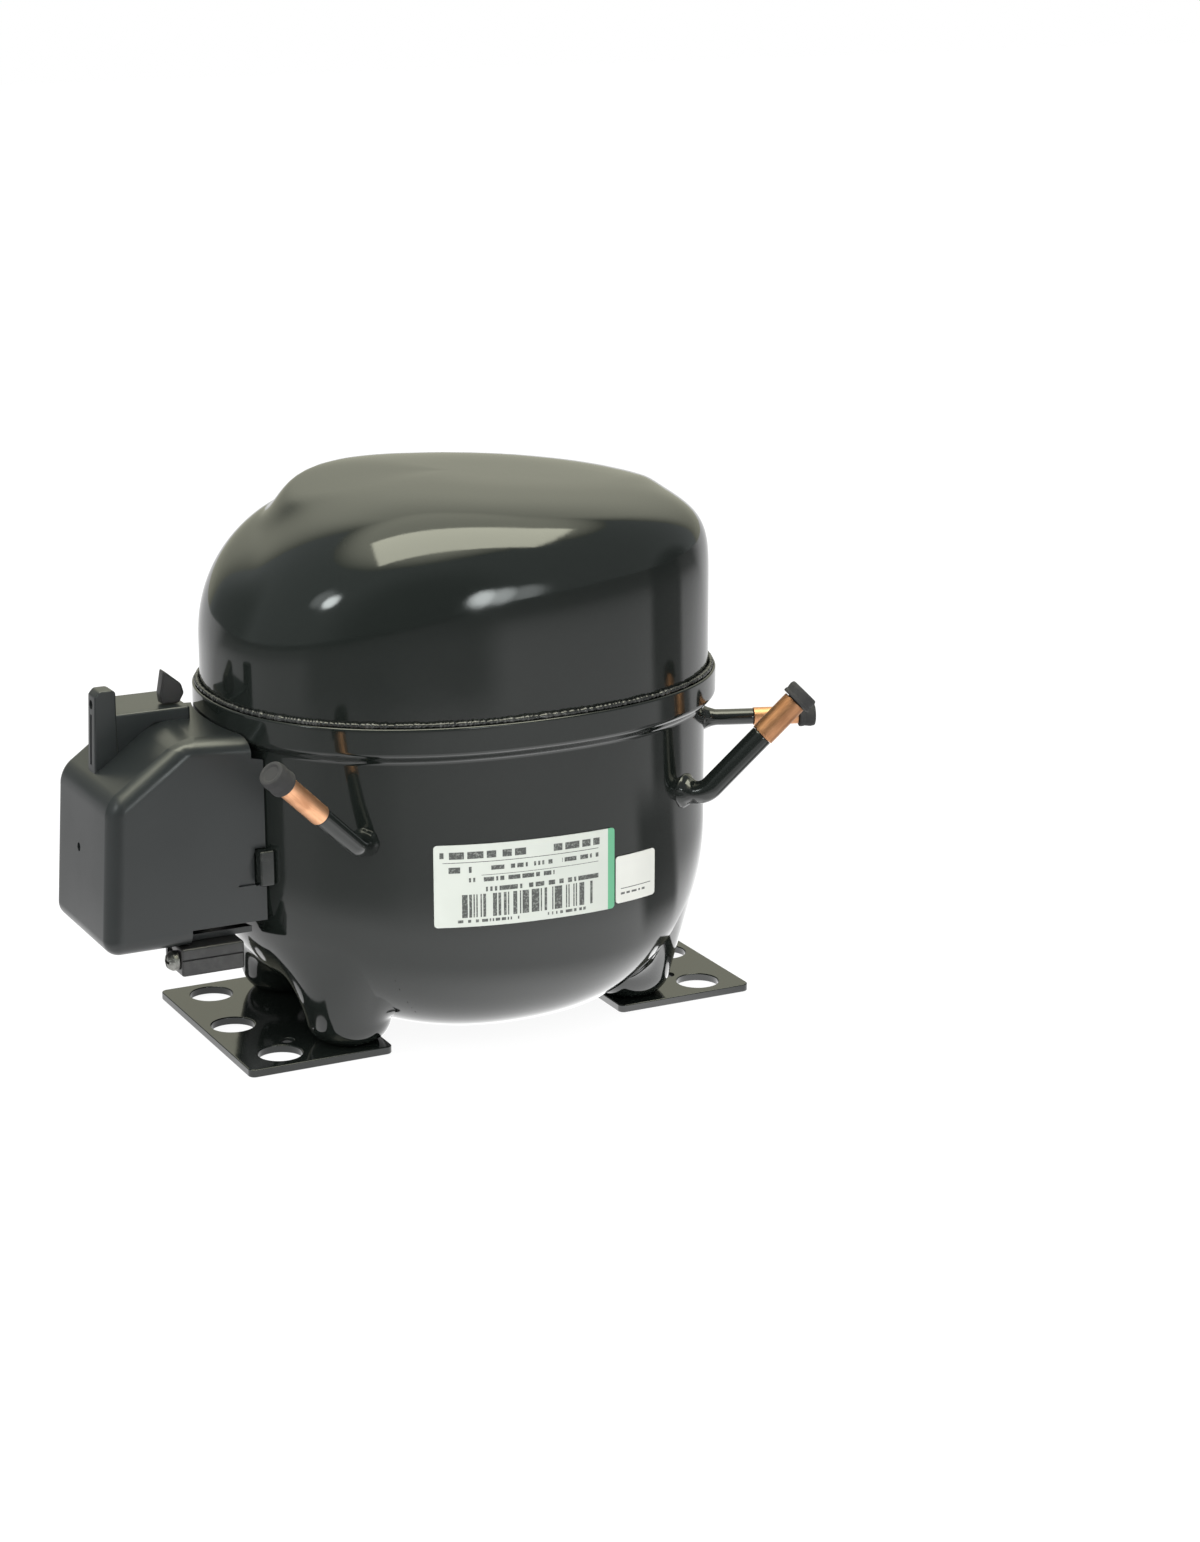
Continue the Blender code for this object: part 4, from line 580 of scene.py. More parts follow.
class Graph:
    """Adds shader nodes to one tree and links them."""

    def __init__(self, tree: bpy.types.NodeTree) -> None:
        """Keep the tree."""
        self.tree = tree

    def add(self, kind: str, inputs: dict | None = None, **settings: object) -> bpy.types.Node:
        """Add one node.

        Args:
            kind: its Blender type.
            inputs: value or socket for each input, by name or number.
            settings: properties of the node.

        Returns:
            The node.
        """
        node = self.tree.nodes.new(kind)
        for key, value in settings.items():
            setattr(node, key, value)
        for key, value in (inputs or {}).items():
            socket = node.inputs[key]
            if isinstance(value, Socket):
                self.tree.links.new(value, socket)
            else:
                socket.default_value = value
        return node

    def math(self, operation: str, *values: object) -> Socket:
        """Result of a Math node."""
        return self.add("ShaderNodeMath", dict(enumerate(values)), operation=operation).outputs[0]

    def times(self, first: object, second: object) -> Socket:
        """Product of two values."""
        return self.math("MULTIPLY", first, second)

    def plus(self, first: object, second: object) -> Socket:
        """Sum of two values."""
        return self.math("ADD", first, second)

    def minus(self, first: object, second: object) -> Socket:
        """First value less the second."""
        return self.math("SUBTRACT", first, second)

    def over(self, first: object, second: object) -> Socket:
        """First value over the second."""
        return self.math("DIVIDE", first, second)

    def most(self, first: object, second: object) -> Socket:
        """The larger of two values."""
        return self.math("MAXIMUM", first, second)

    def vector(self, operation: str, *values: object) -> Socket:
        """Vector result of a Vector Math node."""
        return self.add("ShaderNodeVectorMath", dict(enumerate(values)), operation=operation).outputs[0]

    def dot(self, first: object, second: object) -> Socket:
        """Dot product of two vectors."""
        node = self.add("ShaderNodeVectorMath", {0: first, 1: second}, operation="DOT_PRODUCT")
        return node.outputs["Value"]

    def noise(self, where: object, scale: object, detail: float = 2.0, rough: float = 0.5) -> Socket:
        """Value of a Noise texture."""
        inputs = {"Vector": where, "Scale": scale, "Detail": detail, "Roughness": rough}
        return self.add("ShaderNodeTexNoise", inputs).outputs[0]

    def span(self, value: object, low: float, high: float, to_low: float = 0.0,
             to_high: float = 1.0) -> Socket:
        """Value carried smoothly from one range to another."""
        inputs = {"Value": value, "From Min": low, "From Max": high, "To Min": to_low, "To Max": to_high}
        return self.add("ShaderNodeMapRange", inputs, interpolation_type="SMOOTHSTEP").outputs[0]

    def mix(self, share: object, first: object, second: object) -> Socket:
        """Colour between two colours."""
        inputs = {0: share, 6: first, 7: second}
        return self.add("ShaderNodeMix", inputs, data_type="RGBA").outputs[2]

    def between(self, value: object, low: object, high: object) -> Socket:
        """1 where a value lies between two others."""
        return self.times(self.math("GREATER_THAN", value, low), self.math("LESS_THAN", value, high))

    def bump(self, height: object, strength: float, distance: float) -> Socket:
        """Normal bent by a height, with the distance in millimetres."""
        inputs = {"Height": height, "Strength": strength, "Distance": distance * MM}
        return self.add("ShaderNodeBump", inputs).outputs[0]

    def place(self) -> Socket:
        """Object coordinates, which move with the piece."""
        return self.add("ShaderNodeTexCoord").outputs["Object"]

    def map(self, name: str) -> Socket:
        """Coordinates of a named map."""
        return self.add("ShaderNodeUVMap", uv_map=name).outputs[0]


def rgba(colour: Colour) -> tuple[float, float, float, float]:
    """Colour with full alpha."""
    return (*colour, 1.0)


class Effect:
    """A shader node group with named inputs and outputs, built once."""

    def __init__(self, name: str, vectors: Sequence[str], values: Sequence[str], outputs: Sequence[str],
                 wiring: Callable[[Graph, dict], dict]) -> None:
        """Describe a group.

        Args:
            name: name of the group.
            vectors: names of its vector inputs.
            values: names of its number inputs.
            outputs: names of its number outputs.
            wiring: makes the nodes and returns the socket of each output.
        """
        self.name = name
        self.inputs = dict.fromkeys(vectors, "NodeSocketVector")
        self.inputs.update(dict.fromkeys(values, "NodeSocketFloat"))
        self.outputs = outputs
        self.wiring = wiring

    def tree(self) -> bpy.types.NodeTree:
        """The group, made on first use."""
        found = bpy.data.node_groups.get(self.name)
        if found:
            return found
        tree = bpy.data.node_groups.new(self.name, "ShaderNodeTree")
        for name, kind in self.inputs.items():
            tree.interface.new_socket(name, in_out="INPUT", socket_type=kind)
        for name in self.outputs:
            tree.interface.new_socket(name, in_out="OUTPUT", socket_type="NodeSocketFloat")
        graph = Graph(tree)
        entry = graph.add("NodeGroupInput")
        results = self.wiring(graph, {name: entry.outputs[name] for name in self.inputs})
        graph.add("NodeGroupOutput", results)
        return tree

    def use(self, graph: Graph, **values: object) -> dict[str, Socket]:
        """Place the group in a material.

        Args:
            graph: the material's nodes.
            values: value or socket for each input.

        Returns:
            The group's outputs by name.
        """
        node = graph.add("ShaderNodeGroup", values, node_tree=self.tree())
        return {name: node.outputs[name] for name in self.outputs}


def wire_peel(graph: Graph, entry: dict) -> dict:
    """Orange peel of sprayed enamel over a slightly wavy pressing."""
    fine = graph.noise(entry["Place"], entry["Fine"], 1.0)
    broad = graph.noise(entry["Place"], entry["Broad"])
    height = graph.plus(graph.times(fine, 0.35), graph.times(broad, 1.6))
    return {"Height": height, "Tone": broad}


def wire_dust(graph: Graph, entry: dict) -> dict:
    """Fine dust that lies on faces that look up."""
    normal = graph.add("ShaderNodeNewGeometry").outputs["Normal"]
    up = graph.span(graph.add("ShaderNodeSeparateXYZ", {0: normal}).outputs[2], 0.2, 0.95)
    specks = graph.span(graph.noise(entry["Place"], 2600.0, 1.0), 0.66, 0.75)
    drifts = graph.span(graph.noise(entry["Place"], 55.0, 3.0), 0.42, 0.66)
    return {"Mask": graph.times(graph.times(specks, drifts), graph.times(up, entry["Amount"]))}


def wire_wear(graph: Graph, entry: dict) -> dict:
    """Rub marks along outside edges."""
    point = graph.add("ShaderNodeNewGeometry").outputs["Pointiness"]
    edge = graph.span(point, 0.52, 0.6)
    patches = graph.span(graph.noise(entry["Place"], 160.0, 4.0, 0.6), 0.45, 0.62)
    return {"Mask": graph.times(graph.times(edge, patches), entry["Amount"])}


def wire_streaks(graph: Graph, entry: dict) -> dict:
    """Long thin streaks along the length of a drawn piece."""
    stretched = graph.vector("MULTIPLY", entry["Map"], entry["Stretch"])
    lines = graph.noise(stretched, 1.0, 4.0, 0.65)
    return {"Tone": graph.span(lines, 0.32, 0.7)}


def wire_grain(graph: Graph, entry: dict) -> dict:
    """Fine etched grain of a moulding or a casting."""
    fine = graph.noise(entry["Place"], entry["Scale"], 3.0)
    tone = graph.noise(entry["Place"], 34.0, 3.0)
    return {"Height": fine, "Tone": tone}


def wire_print(graph: Graph, entry: dict) -> dict:
    """A rectangle of plain upright marks, some of them left out."""
    parts = graph.add("ShaderNodeSeparateXYZ", {0: entry["Map"]})
    x = parts.outputs[0]
    inside = graph.between(x, entry["Left"], entry["Right"])
    level = graph.between(parts.outputs[1], entry["Low"], entry["High"])
    cell = graph.math("FLOOR", graph.over(x, entry["Pitch"]))
    seed = graph.plus(cell, graph.times(entry["Low"], 17.3))
    chance = graph.add("ShaderNodeTexWhiteNoise", {"W": seed}, noise_dimensions="1D").outputs[0]
    ink = graph.math("LESS_THAN", chance, entry["Fill"])
    return {"Mask": graph.times(graph.times(inside, level), ink)}


PEEL = Effect("orange_peel", ("Place",), ("Fine", "Broad"), ("Height", "Tone"), wire_peel)
DUST = Effect("settled_dust", ("Place",), ("Amount",), ("Mask",), wire_dust)
WEAR = Effect("edge_wear", ("Place",), ("Amount",), ("Mask",), wire_wear)
STREAKS = Effect("drawn_streaks", ("Map", "Stretch"), (), ("Tone",), wire_streaks)
GRAIN = Effect("surface_grain", ("Place",), ("Scale",), ("Height", "Tone"), wire_grain)
MARK_SIZES = ("Left", "Right", "Low", "High", "Pitch", "Fill")
PRINT = Effect("print_marks", ("Map",), MARK_SIZES, ("Mask",), wire_print)


# Finishes


@dataclass(frozen=True)
class Finish:
    """A named material, made once."""

    name: str

    def material(self) -> bpy.types.Material:
        """The Blender material of this finish."""
        found = bpy.data.materials.get(self.name)
        if found:
            return found
        material = bpy.data.materials.new(self.name)
        material.use_nodes = True
        graph = Graph(material.node_tree)
        self.wire(graph, material.node_tree.nodes["Principled BSDF"])
        return material

    def wire(self, graph: Graph, shader: bpy.types.Node) -> None:
        """Link this finish's nodes into its shader."""
        raise NotImplementedError

    @staticmethod
    def link(graph: Graph, shader: bpy.types.Node, **sockets: Socket) -> None:
        """Link sockets to the shader's inputs, with underscores for spaces."""
        for key, socket in sockets.items():
            graph.tree.links.new(socket, shader.inputs[key.replace("_", " ")])


@dataclass(frozen=True)
class Enamel(Finish):
    """Sprayed gloss enamel on steel."""

    colour: Colour = (0.0088, 0.0112, 0.0098)
    # Colour of rubbed edges; the weld bead's pale value is partly wear and partly painted glints.
    worn_and_glint: Colour = (0.055, 0.055, 0.052)
    dust: Colour = (0.17, 0.17, 0.16)
    gloss_low: float = 0.06
    gloss_high: float = 0.11
    peel: float = 0.12
    fine: float = 620.0
    broad: float = 70.0
    wear: float = 0.35
    dust_amount: float = 0.16

    def wire(self, graph: Graph, shader: bpy.types.Node) -> None:
        """Base colour with dust and rubbed edges, uneven gloss and orange peel; on the weld bead the pale
        rubbed-edge colour also paints glints on its lumps.
        """
        place = graph.place()
        peel = PEEL.use(graph, Place=place, Fine=self.fine, Broad=self.broad)
        dust = DUST.use(graph, Place=place, Amount=self.dust_amount)["Mask"]
        wear = WEAR.use(graph, Place=place, Amount=self.wear)["Mask"]
        # Rubbed edges; on the weld bead this pale colour also paints glints on the lumps.
        base = graph.mix(wear, rgba(self.colour), rgba(self.worn_and_glint))
        base = graph.mix(dust, base, rgba(self.dust))
        gloss = graph.span(peel["Tone"], 0.3, 0.7, self.gloss_low, self.gloss_high)
        gloss = graph.plus(gloss, graph.times(graph.plus(dust, wear), 0.3))
        normal = graph.bump(peel["Height"], self.peel, 0.12)
        self.link(graph, shader, Base_Color=base, Roughness=gloss, Normal=normal)


@dataclass(frozen=True)
class BareCopper(Finish):
    """Drawn copper with streaks and tarnish."""

    bright: Colour = (0.80, 0.45, 0.26)
    dull: Colour = (0.52, 0.26, 0.14)
    gloss_low: float = 0.46
    gloss_high: float = 0.58

    def wire(self, graph: Graph, shader: bpy.types.Node) -> None:
        """Metal whose colour and gloss follow its streaks and tarnish."""
        shader.inputs["Metallic"].default_value = 1.0
        streaks = STREAKS.use(graph, Map=graph.map(TURN_MAP), Stretch=(20.0, 0.08, 1.0))["Tone"]
        tarnish = graph.span(graph.noise(graph.place(), 120.0, 1.0), 0.42, 0.7)
        tone = graph.times(graph.plus(streaks, tarnish), 0.5)
        base = graph.mix(tone, rgba(self.bright), rgba(self.dull))
        gloss = graph.span(tone, 0.0, 1.0, self.gloss_low, self.gloss_high)
        normal = graph.bump(streaks, 0.02, 0.02)
        self.link(graph, shader, Base_Color=base, Roughness=gloss, Normal=normal)


@dataclass(frozen=True)
class Moulding(Finish):
    """Moulded plastic or rubber with an etched grain."""

    colour: Colour = (0.019, 0.0225, 0.0225)
    pale: Colour = (0.024, 0.0275, 0.0275)
    gloss_low: float = 0.24
    gloss_high: float = 0.36
    scale: float = 1500.0
    depth: float = 0.16
    dust_amount: float = 0.25
    scuff: float = 0.25
    shine: float = 0.5

    def wire(self, graph: Graph, shader: bpy.types.Node) -> None:
        """Uneven colour, fine grain, dust and pale scuffed edges."""
        shader.inputs["Specular IOR Level"].default_value = self.shine
        place = graph.place()
        grain = GRAIN.use(graph, Place=place, Scale=self.scale)
        dust = DUST.use(graph, Place=place, Amount=self.dust_amount)["Mask"]
        wear = WEAR.use(graph, Place=place, Amount=self.scuff)["Mask"]
        tone = graph.span(grain["Tone"], 0.3, 0.7)
        base = graph.mix(tone, rgba(self.colour), rgba(self.pale))
        pale = tuple(min(1.0, channel * 2.2 + 0.02) for channel in self.pale)
        base = graph.mix(graph.most(wear, dust), base, rgba(pale))
        gloss = graph.span(grain["Tone"], 0.3, 0.7, self.gloss_low, self.gloss_high)
        normal = graph.bump(grain["Height"], self.depth, 0.08)
        self.link(graph, shader, Base_Color=base, Roughness=gloss, Normal=normal)


@dataclass(frozen=True)
class WorkedMetal(Finish):
    """Machined, cast, plated or laminated metal."""

    colour: Colour = (0.5, 0.5, 0.5)
    shade: Colour = (0.3, 0.3, 0.3)
    gloss_low: float = 0.25
    gloss_high: float = 0.45
    stretch: tuple[float, float, float] = (900.0, 900.0, 60.0)
    depth: float = 0.2

    def wire(self, graph: Graph, shader: bpy.types.Node) -> None:
        """Tool marks along the stretch, with stains between them."""
        shader.inputs["Metallic"].default_value = 1.0
        place = graph.place()
        marks = STREAKS.use(graph, Map=place, Stretch=self.stretch)["Tone"]
        stains = graph.span(graph.noise(place, 70.0, 4.0), 0.35, 0.72)
        tone = graph.times(graph.plus(marks, stains), 0.5)
        base = graph.mix(tone, rgba(self.colour), rgba(self.shade))
        gloss = graph.span(tone, 0.1, 0.9, self.gloss_low, self.gloss_high)
        normal = graph.bump(marks, self.depth, 0.05)
        self.link(graph, shader, Base_Color=base, Roughness=gloss, Normal=normal)


class PrintKind(Enum):
    """What a label carries."""

    RATING = "rating"
    PLAIN = "plain"


@dataclass(frozen=True)
class LabelFilm(Finish):
    """White label film with plain generic marks on it."""

    length: float = 69.0
    height: float = 30.2
    kind: PrintKind = PrintKind.RATING
    film: Colour = (0.62, 0.655, 0.60)
    ink: Colour = (0.06, 0.065, 0.06)
    band: Colour = (0.13, 0.42, 0.24)

    SOLID = 2.0

    def marks(self) -> list[tuple[float, float, float, float, float, float]]:
        """Sizes of each block of ink, in the order of MARK_SIZES."""
        if self.kind is PrintKind.PLAIN:
            return [
                (2.2, self.length - 2.2, 5.2, 5.5, 1.0, self.SOLID),
                (2.2, self.length - 5.0, 3.1, 3.9, 0.8, 0.62),
            ]
        return [
            (2.0, 3.4, 25.4, 27.6, 9.0, self.SOLID),
            (5.2, 33.0, 25.0, 27.6, 1.15, 0.78),
            (43.0, 62.5, 25.0, 27.6, 1.15, 0.74),
            (3.0, 62.0, 23.6, 23.85, 9.0, self.SOLID),
            (4.0, 14.0, 19.9, 22.1, 1.0, 0.7),
            (20.0, 44.0, 20.5, 22.1, 0.8, 0.66),
            (47.0, 62.0, 20.5, 22.1, 0.8, 0.6),
            (16.5, 62.0, 18.7, 18.9, 9.0, self.SOLID),
            (12.0, 44.0, 16.4, 18.0, 0.75, 0.66),
            (18.0, 62.0, 12.7, 14.4, 0.85, 0.72),
            (9.5, 60.0, 3.4, 11.9, 0.5, 0.56),
            (8.0, 31.0, 1.5, 2.6, 0.55, 0.55),
            (38.0, 58.0, 1.5, 2.6, 0.55, 0.55),
        ]

    def wire(self, graph: Graph, shader: bpy.types.Node) -> None:
        """Film colour with ink blocks and, on the rating label, a green band."""
        place = graph.place()
        sheet = graph.vector("MULTIPLY", graph.map(SHEET_MAP), (self.length, self.height, 1.0))
        ink = None
        for mark in self.marks():
            mask = PRINT.use(graph, Map=sheet, **dict(zip(MARK_SIZES, mark)))["Mask"]
            ink = mask if ink is None else graph.most(ink, mask)
        tone = graph.span(graph.noise(place, 60.0, 3.0), 0.3, 0.7)
        yellowed = tuple(channel * 0.96 for channel in self.film)
        base = graph.mix(tone, rgba(self.film), rgba(yellowed))
        if self.kind is PrintKind.RATING:
            edge = PRINT.use(graph, Map=sheet, Left=self.length - 2.9, Right=self.length + 1.0, Low=-1.0,
                             High=self.height + 1.0, Pitch=90.0, Fill=self.SOLID)["Mask"]
            base = graph.mix(edge, base, rgba(self.band))
        patchy = graph.times(ink, graph.span(graph.noise(place, 1400.0, 1.0), 0.25, 0.55, 0.72, 1.0))
        base = graph.mix(patchy, base, rgba(self.ink))
        gloss = graph.span(tone, 0.0, 1.0, 0.3, 0.42)
        normal = graph.bump(graph.noise(place, 260.0, 2.0), 0.08, 0.1)
        self.link(graph, shader, Base_Color=base, Roughness=gloss, Normal=normal)


ENAMEL = Enamel("gloss_black_enamel")
PLATE_ENAMEL = Enamel("plate_enamel", wear=0.8, dust_amount=0.3, peel=0.14, broad=110.0)
# The weld bead's pale worn colour on its pointed lumps is partly wear and partly painted glints.
BEAD_ENAMEL = Enamel("weld_under_enamel", colour=(0.016, 0.017, 0.016), gloss_high=0.24, peel=0.6,
                     fine=1500.0, broad=520.0, wear=0.25, worn_and_glint=(0.3, 0.3, 0.28))
COPPER = BareCopper("bare_copper")
# A darker copy of the bare copper, given to the suction and discharge ends.
DARKER_COPPER = BareCopper("darker_copper", bright=(0.52, 0.27, 0.14), dull=(0.36, 0.175, 0.088))
CAP_RUBBER = Moulding("cap_rubber", colour=(0.011, 0.0115, 0.0095), pale=(0.016, 0.0165, 0.014),
                      gloss_low=0.55, gloss_high=0.75, scale=900.0, depth=0.1, dust_amount=0.06,
                      scuff=0.1, shine=0.06)
COVER_PLASTIC = Moulding("cover_moulding", colour=(0.0125, 0.015, 0.015), pale=(0.0145, 0.017, 0.017),
                         gloss_low=0.285, gloss_high=0.345, scale=420.0, depth=0.03,
                         dust_amount=0.0, scuff=0.0)
DARK_PLASTIC = Moulding("black_moulding", colour=(0.014, 0.014, 0.014), pale=(0.024, 0.024, 0.023),
                        gloss_low=0.3, gloss_high=0.45)
NATURAL_NYLON = Moulding("natural_nylon", colour=(0.70, 0.66, 0.55), pale=(0.76, 0.73, 0.64), dust_amount=0.0)
ZINC = WorkedMetal("zinc_plate", colour=(0.66, 0.66, 0.62), shade=(0.46, 0.45, 0.40),
                   gloss_low=0.22, gloss_high=0.4)
DULL_ZINC = WorkedMetal("dull_zinc", colour=(0.30, 0.30, 0.28), shade=(0.16, 0.16, 0.15),
                        gloss_low=0.45, gloss_high=0.6)
STEEL = WorkedMetal("ground_steel", colour=(0.56, 0.56, 0.57), shade=(0.38, 0.38, 0.39), gloss_low=0.18)
LAMINATION = WorkedMetal("stacked_lamination", colour=(0.28, 0.28, 0.30), shade=(0.12, 0.12, 0.13),
                         stretch=(20.0, 20.0, 2000.0), depth=0.6)
IRON = WorkedMetal("cast_iron", colour=(0.20, 0.20, 0.20), shade=(0.12, 0.115, 0.11), gloss_low=0.5,
                   gloss_high=0.7, stretch=(500.0, 500.0, 500.0), depth=0.6)
BRASS = WorkedMetal("turned_brass", colour=(0.74, 0.53, 0.20), shade=(0.52, 0.34, 0.12))
WIRE = WorkedMetal("varnished_wire", colour=(0.50, 0.19, 0.07), shade=(0.28, 0.09, 0.03),
                   gloss_low=0.2, gloss_high=0.35)
GLASS_BEAD = Moulding("fused_glass", colour=(0.03, 0.07, 0.06), pale=(0.05, 0.10, 0.085), gloss_low=0.08,
                      gloss_high=0.14, depth=0.05, dust_amount=0.0, scuff=0.0)
RATING_FILM = LabelFilm("rating_film")
STICKER_FILM = LabelFilm("sticker_film", length=18.5, height=17.6, kind=PrintKind.PLAIN,
                         film=(0.74, 0.75, 0.70))


def hand_over(piece: Piece, finish: Finish, body: Body, slot: Slot, *nodes: str) -> None:
    """Dress a piece and let it stand for CAD nodes on a body.

    Args:
        piece: the finished mesh, in place.
        finish: its material.
        body: CAD body that it moves with.
        slot: record slot of its finish; not used.
        nodes: CAD nodes that it stands for.
    """
    dress(piece, finish)
    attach(piece, body.value)
    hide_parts(*nodes)
    LOG.info("%s rides on %s", piece.name, body.value)


def dress(piece: Piece, finish: Finish) -> None:
    """Give a piece one material."""
    piece.data.materials.clear()
    piece.data.materials.append(finish.material())


# Sub-assemblies


@dataclass
class Shell:
    """The welded oval shell: a pot, a dome and the seam between them."""

    centre_x: float = 1.8
    dome_half_length: float = 94.5
    dome_half_width: float = 76.8
    plan_power: float = 2.2
    wall: float = 2.5
    pot_inset: float = 1.2
    pot_bottom: float = 4.0
    pot_round_top: float = 70.0
    pot_end_power: float = 2.7
    pot_side_power: float = 4.5
    lip_top: float = 127.0
    lip_height: float = 8.5
    lip_edge: float = 0.7
    flare_height: float = 6.0
    skirt_depth: float = 6.0
    gap: float = 0.3
    crown_base: float = 142.5
    crown_terminal_height: float = 59.9
    crown_tube_height: float = 43.4
    crown_terminal_power: float = 2.16
    crown_tube_power: float = 6.8
    pad_x: float = 13.3
    pad_half_length: float = 76.9
    pad_front_half_width: float = 80.0
    pad_rear_half_width: float = 51.6
    pad_height: float = 6.9
    pad_power: float = 2.45
    pad_softness: float = 0.1
    pad_front_softness: float = 0.5
    pad_soft_y: float = 15.0
    pad_soft_run: float = 50.0
    columns: int = 256
    crown_rows: int = 72
    floor_rows: int = 40
    wall_rows: int = 6
    bead_out: float = 1.0
    bead_rise: float = 0.7
    bead_r: float = 0.95
    bead_ripple: float = 0.11
    bead_ripples: int = 330
    bead_lump: float = 0.34
    bead_wave: float = 0.24
    bead_columns: int = 1400
    bead_sides: int = 10

    @property
    def pot_half_length(self) -> float:
        """Half the pot's length at its upright wall."""
        return self.dome_half_length - self.pot_inset

    @property
    def pot_half_width(self) -> float:
        """Half the pot's width at its upright wall."""
        return self.dome_half_width - self.pot_inset

    @property
    def lip_out(self) -> float:
        """How far the lip stands out from the pot's wall."""
        return self.pot_inset + self.gap + self.wall

    @property
    def flare_z(self) -> float:
        """Height at which the pot's wall starts to flare out to the lip."""
        return self.lip_top - self.lip_height - self.flare_height

    def plan(self, half_x: float, half_y: float, angle: float) -> Pair:
        """Point of the oval plan at an angle in radians."""
        power = 2.0 / self.plan_power
        x = self.centre_x + half_x * signed_power(math.cos(angle), power)
        return x, half_y * signed_power(math.sin(angle), power)

    def angles(self) -> list[float]:
        """Angles of the columns round the plan."""
        return turns(self.columns)

    def ring(self, half_x: float, half_y: float, z: float) -> list[Vector]:
        """Ring of points round the plan at a height."""
        return [at(*self.plan(half_x, half_y, angle), z) for angle in self.angles()]

    def pot_ring(self, out: float, z: float) -> list[Vector]:
        """Ring at a height and a distance out from the pot's upright wall."""
        return self.ring(self.pot_half_length + out, self.pot_half_width + out, z)

    def crown(self, turn: float, angle: float) -> Vector:
        """Layout point of the dome's crown.

        Args:
            turn: from 0 at the top to a quarter turn at the upright wall.
            angle: angle round the plan.

        Returns:
            The point in layout millimetres.
        """
        to_tubes = (1.0 + math.cos(angle)) / 2.0
        power = lerp(self.crown_terminal_power, self.crown_tube_power, to_tubes)
        side = max(0.0, math.sin(turn))
        top = max(0.0, math.cos(turn))
        size = (side ** power + top ** power) ** (1.0 / power)
        x, y = self.plan(self.dome_half_length * side / size, self.dome_half_width * side / size, angle)
        along = (1.0 + (x - self.centre_x) / self.dome_half_length) / 2.0
        height = lerp(self.crown_terminal_height, self.crown_tube_height, along)
        half_width = self.pad_front_half_width if y < 0.0 else self.pad_rear_half_width
        reach = abs((x - self.pad_x) / self.pad_half_length) ** self.pad_power
        reach += abs(y / half_width) ** self.pad_power
        to_front = soft_step((self.pad_soft_y - y) / self.pad_soft_run)
        softness = lerp(self.pad_softness, self.pad_front_softness, to_front)
        inside = (1.0 + softness - reach ** (1.0 / self.pad_power)) / (2.0 * softness)
        return Vector((x, y, self.crown_base + height * top / size + self.pad_height * soft_step(inside)))

    def pot_power(self, sideways: float) -> float:
        """Power of the bottom's rounding: sideways is 0 at the pot's ends and 1 at its sides."""
        return lerp(self.pot_end_power, self.pot_side_power, sideways ** 2)

    def pot_floor_z(self, x: float, y: float) -> float:
        """Height of the pot's rounded underside over a plan point."""
        along = abs((x - self.centre_x) / self.pot_half_length) ** self.plan_power
        across = abs(y / self.pot_half_width) ** self.plan_power
        power = self.pot_power(across / (along + across))
        share = min(1.0, (along + across) ** (1.0 / self.plan_power))
        depth = self.pot_round_top - self.pot_bottom
        return self.pot_round_top - depth * (1.0 - share ** power) ** (1.0 / power)

    def pot_front_y(self, x: float, z: float) -> float:
        """Y of the pot's front wall at a place."""
        along = abs((x - self.centre_x) / self.pot_half_length) ** self.plan_power
        front = -self.pot_half_width * (1.0 - along) ** (1.0 / self.plan_power)
        if z >= self.pot_round_top:
            return front
        return last_before(0.0, front, lambda y: self.pot_floor_z(x, y) < z)

    def pot_root(self, azimuth: float) -> Pair:
        """Plan point of the pot's wall where its outward normal has an azimuth."""
        normal = heading(azimuth)
        root_power = 1.0 / (self.plan_power - 1.0)
        u = (self.pot_half_length * abs(normal.x)) ** root_power
        v = (self.pot_half_width * abs(normal.y)) ** root_power
        size = (u ** self.plan_power + v ** self.plan_power) ** (1.0 / self.plan_power)
        x = self.centre_x + math.copysign(self.pot_half_length * u / size, normal.x)
        return x, math.copysign(self.pot_half_width * v / size, normal.y)

    def build(self) -> None:
        """Build and dress the dome, the pot and the seam."""
        hand_over(self.dome(), ENAMEL, Body.SHELL, Slot.ENAMEL, "upper_shell")
        hand_over(self.pot(), ENAMEL, Body.SHELL, Slot.ENAMEL, "lower_shell")
        hand_over(self.seam(), BEAD_ENAMEL, Body.SHELL, Slot.WELD, "shell_weld")

    def dome(self) -> Piece:
        """The dome: crown, upright wall and the skirt inside the lip."""
        rings = []
        for row in range(1, self.crown_rows + 1):
            turn = math.pi / 2 * row / self.crown_rows
            rings.append([metres(self.crown(turn, angle)) for angle in self.angles()])
        low = self.lip_top - self.skirt_depth
        for step in range(1, self.wall_rows + 1):
            z = lerp(self.crown_base, low, step / self.wall_rows)
            rings.append(self.ring(self.dome_half_length, self.dome_half_width, z))
        top = metres(self.crown(0.0, 0.0))
        piece = piece_from("dome", loft_mesh(rings, pole_start=top))
        thicken(piece, self.wall)
        return settle(piece, sharp=50.0)

    def pot_bottom_at(self, turn: float, angle: float) -> Vector:
        """Place on the pot's rounded bottom: turn runs from its pole to the upright wall."""
        side = math.sin(turn)
        down = max(0.0, math.cos(turn))
        power = self.pot_power(math.sin(angle) ** 2)
        size = (side ** power + down ** power) ** (1.0 / power)
        x, y = self.plan(self.pot_half_length * side / size, self.pot_half_width * side / size, angle)
        return at(x, y, self.pot_round_top - (self.pot_round_top - self.pot_bottom) * down / size)

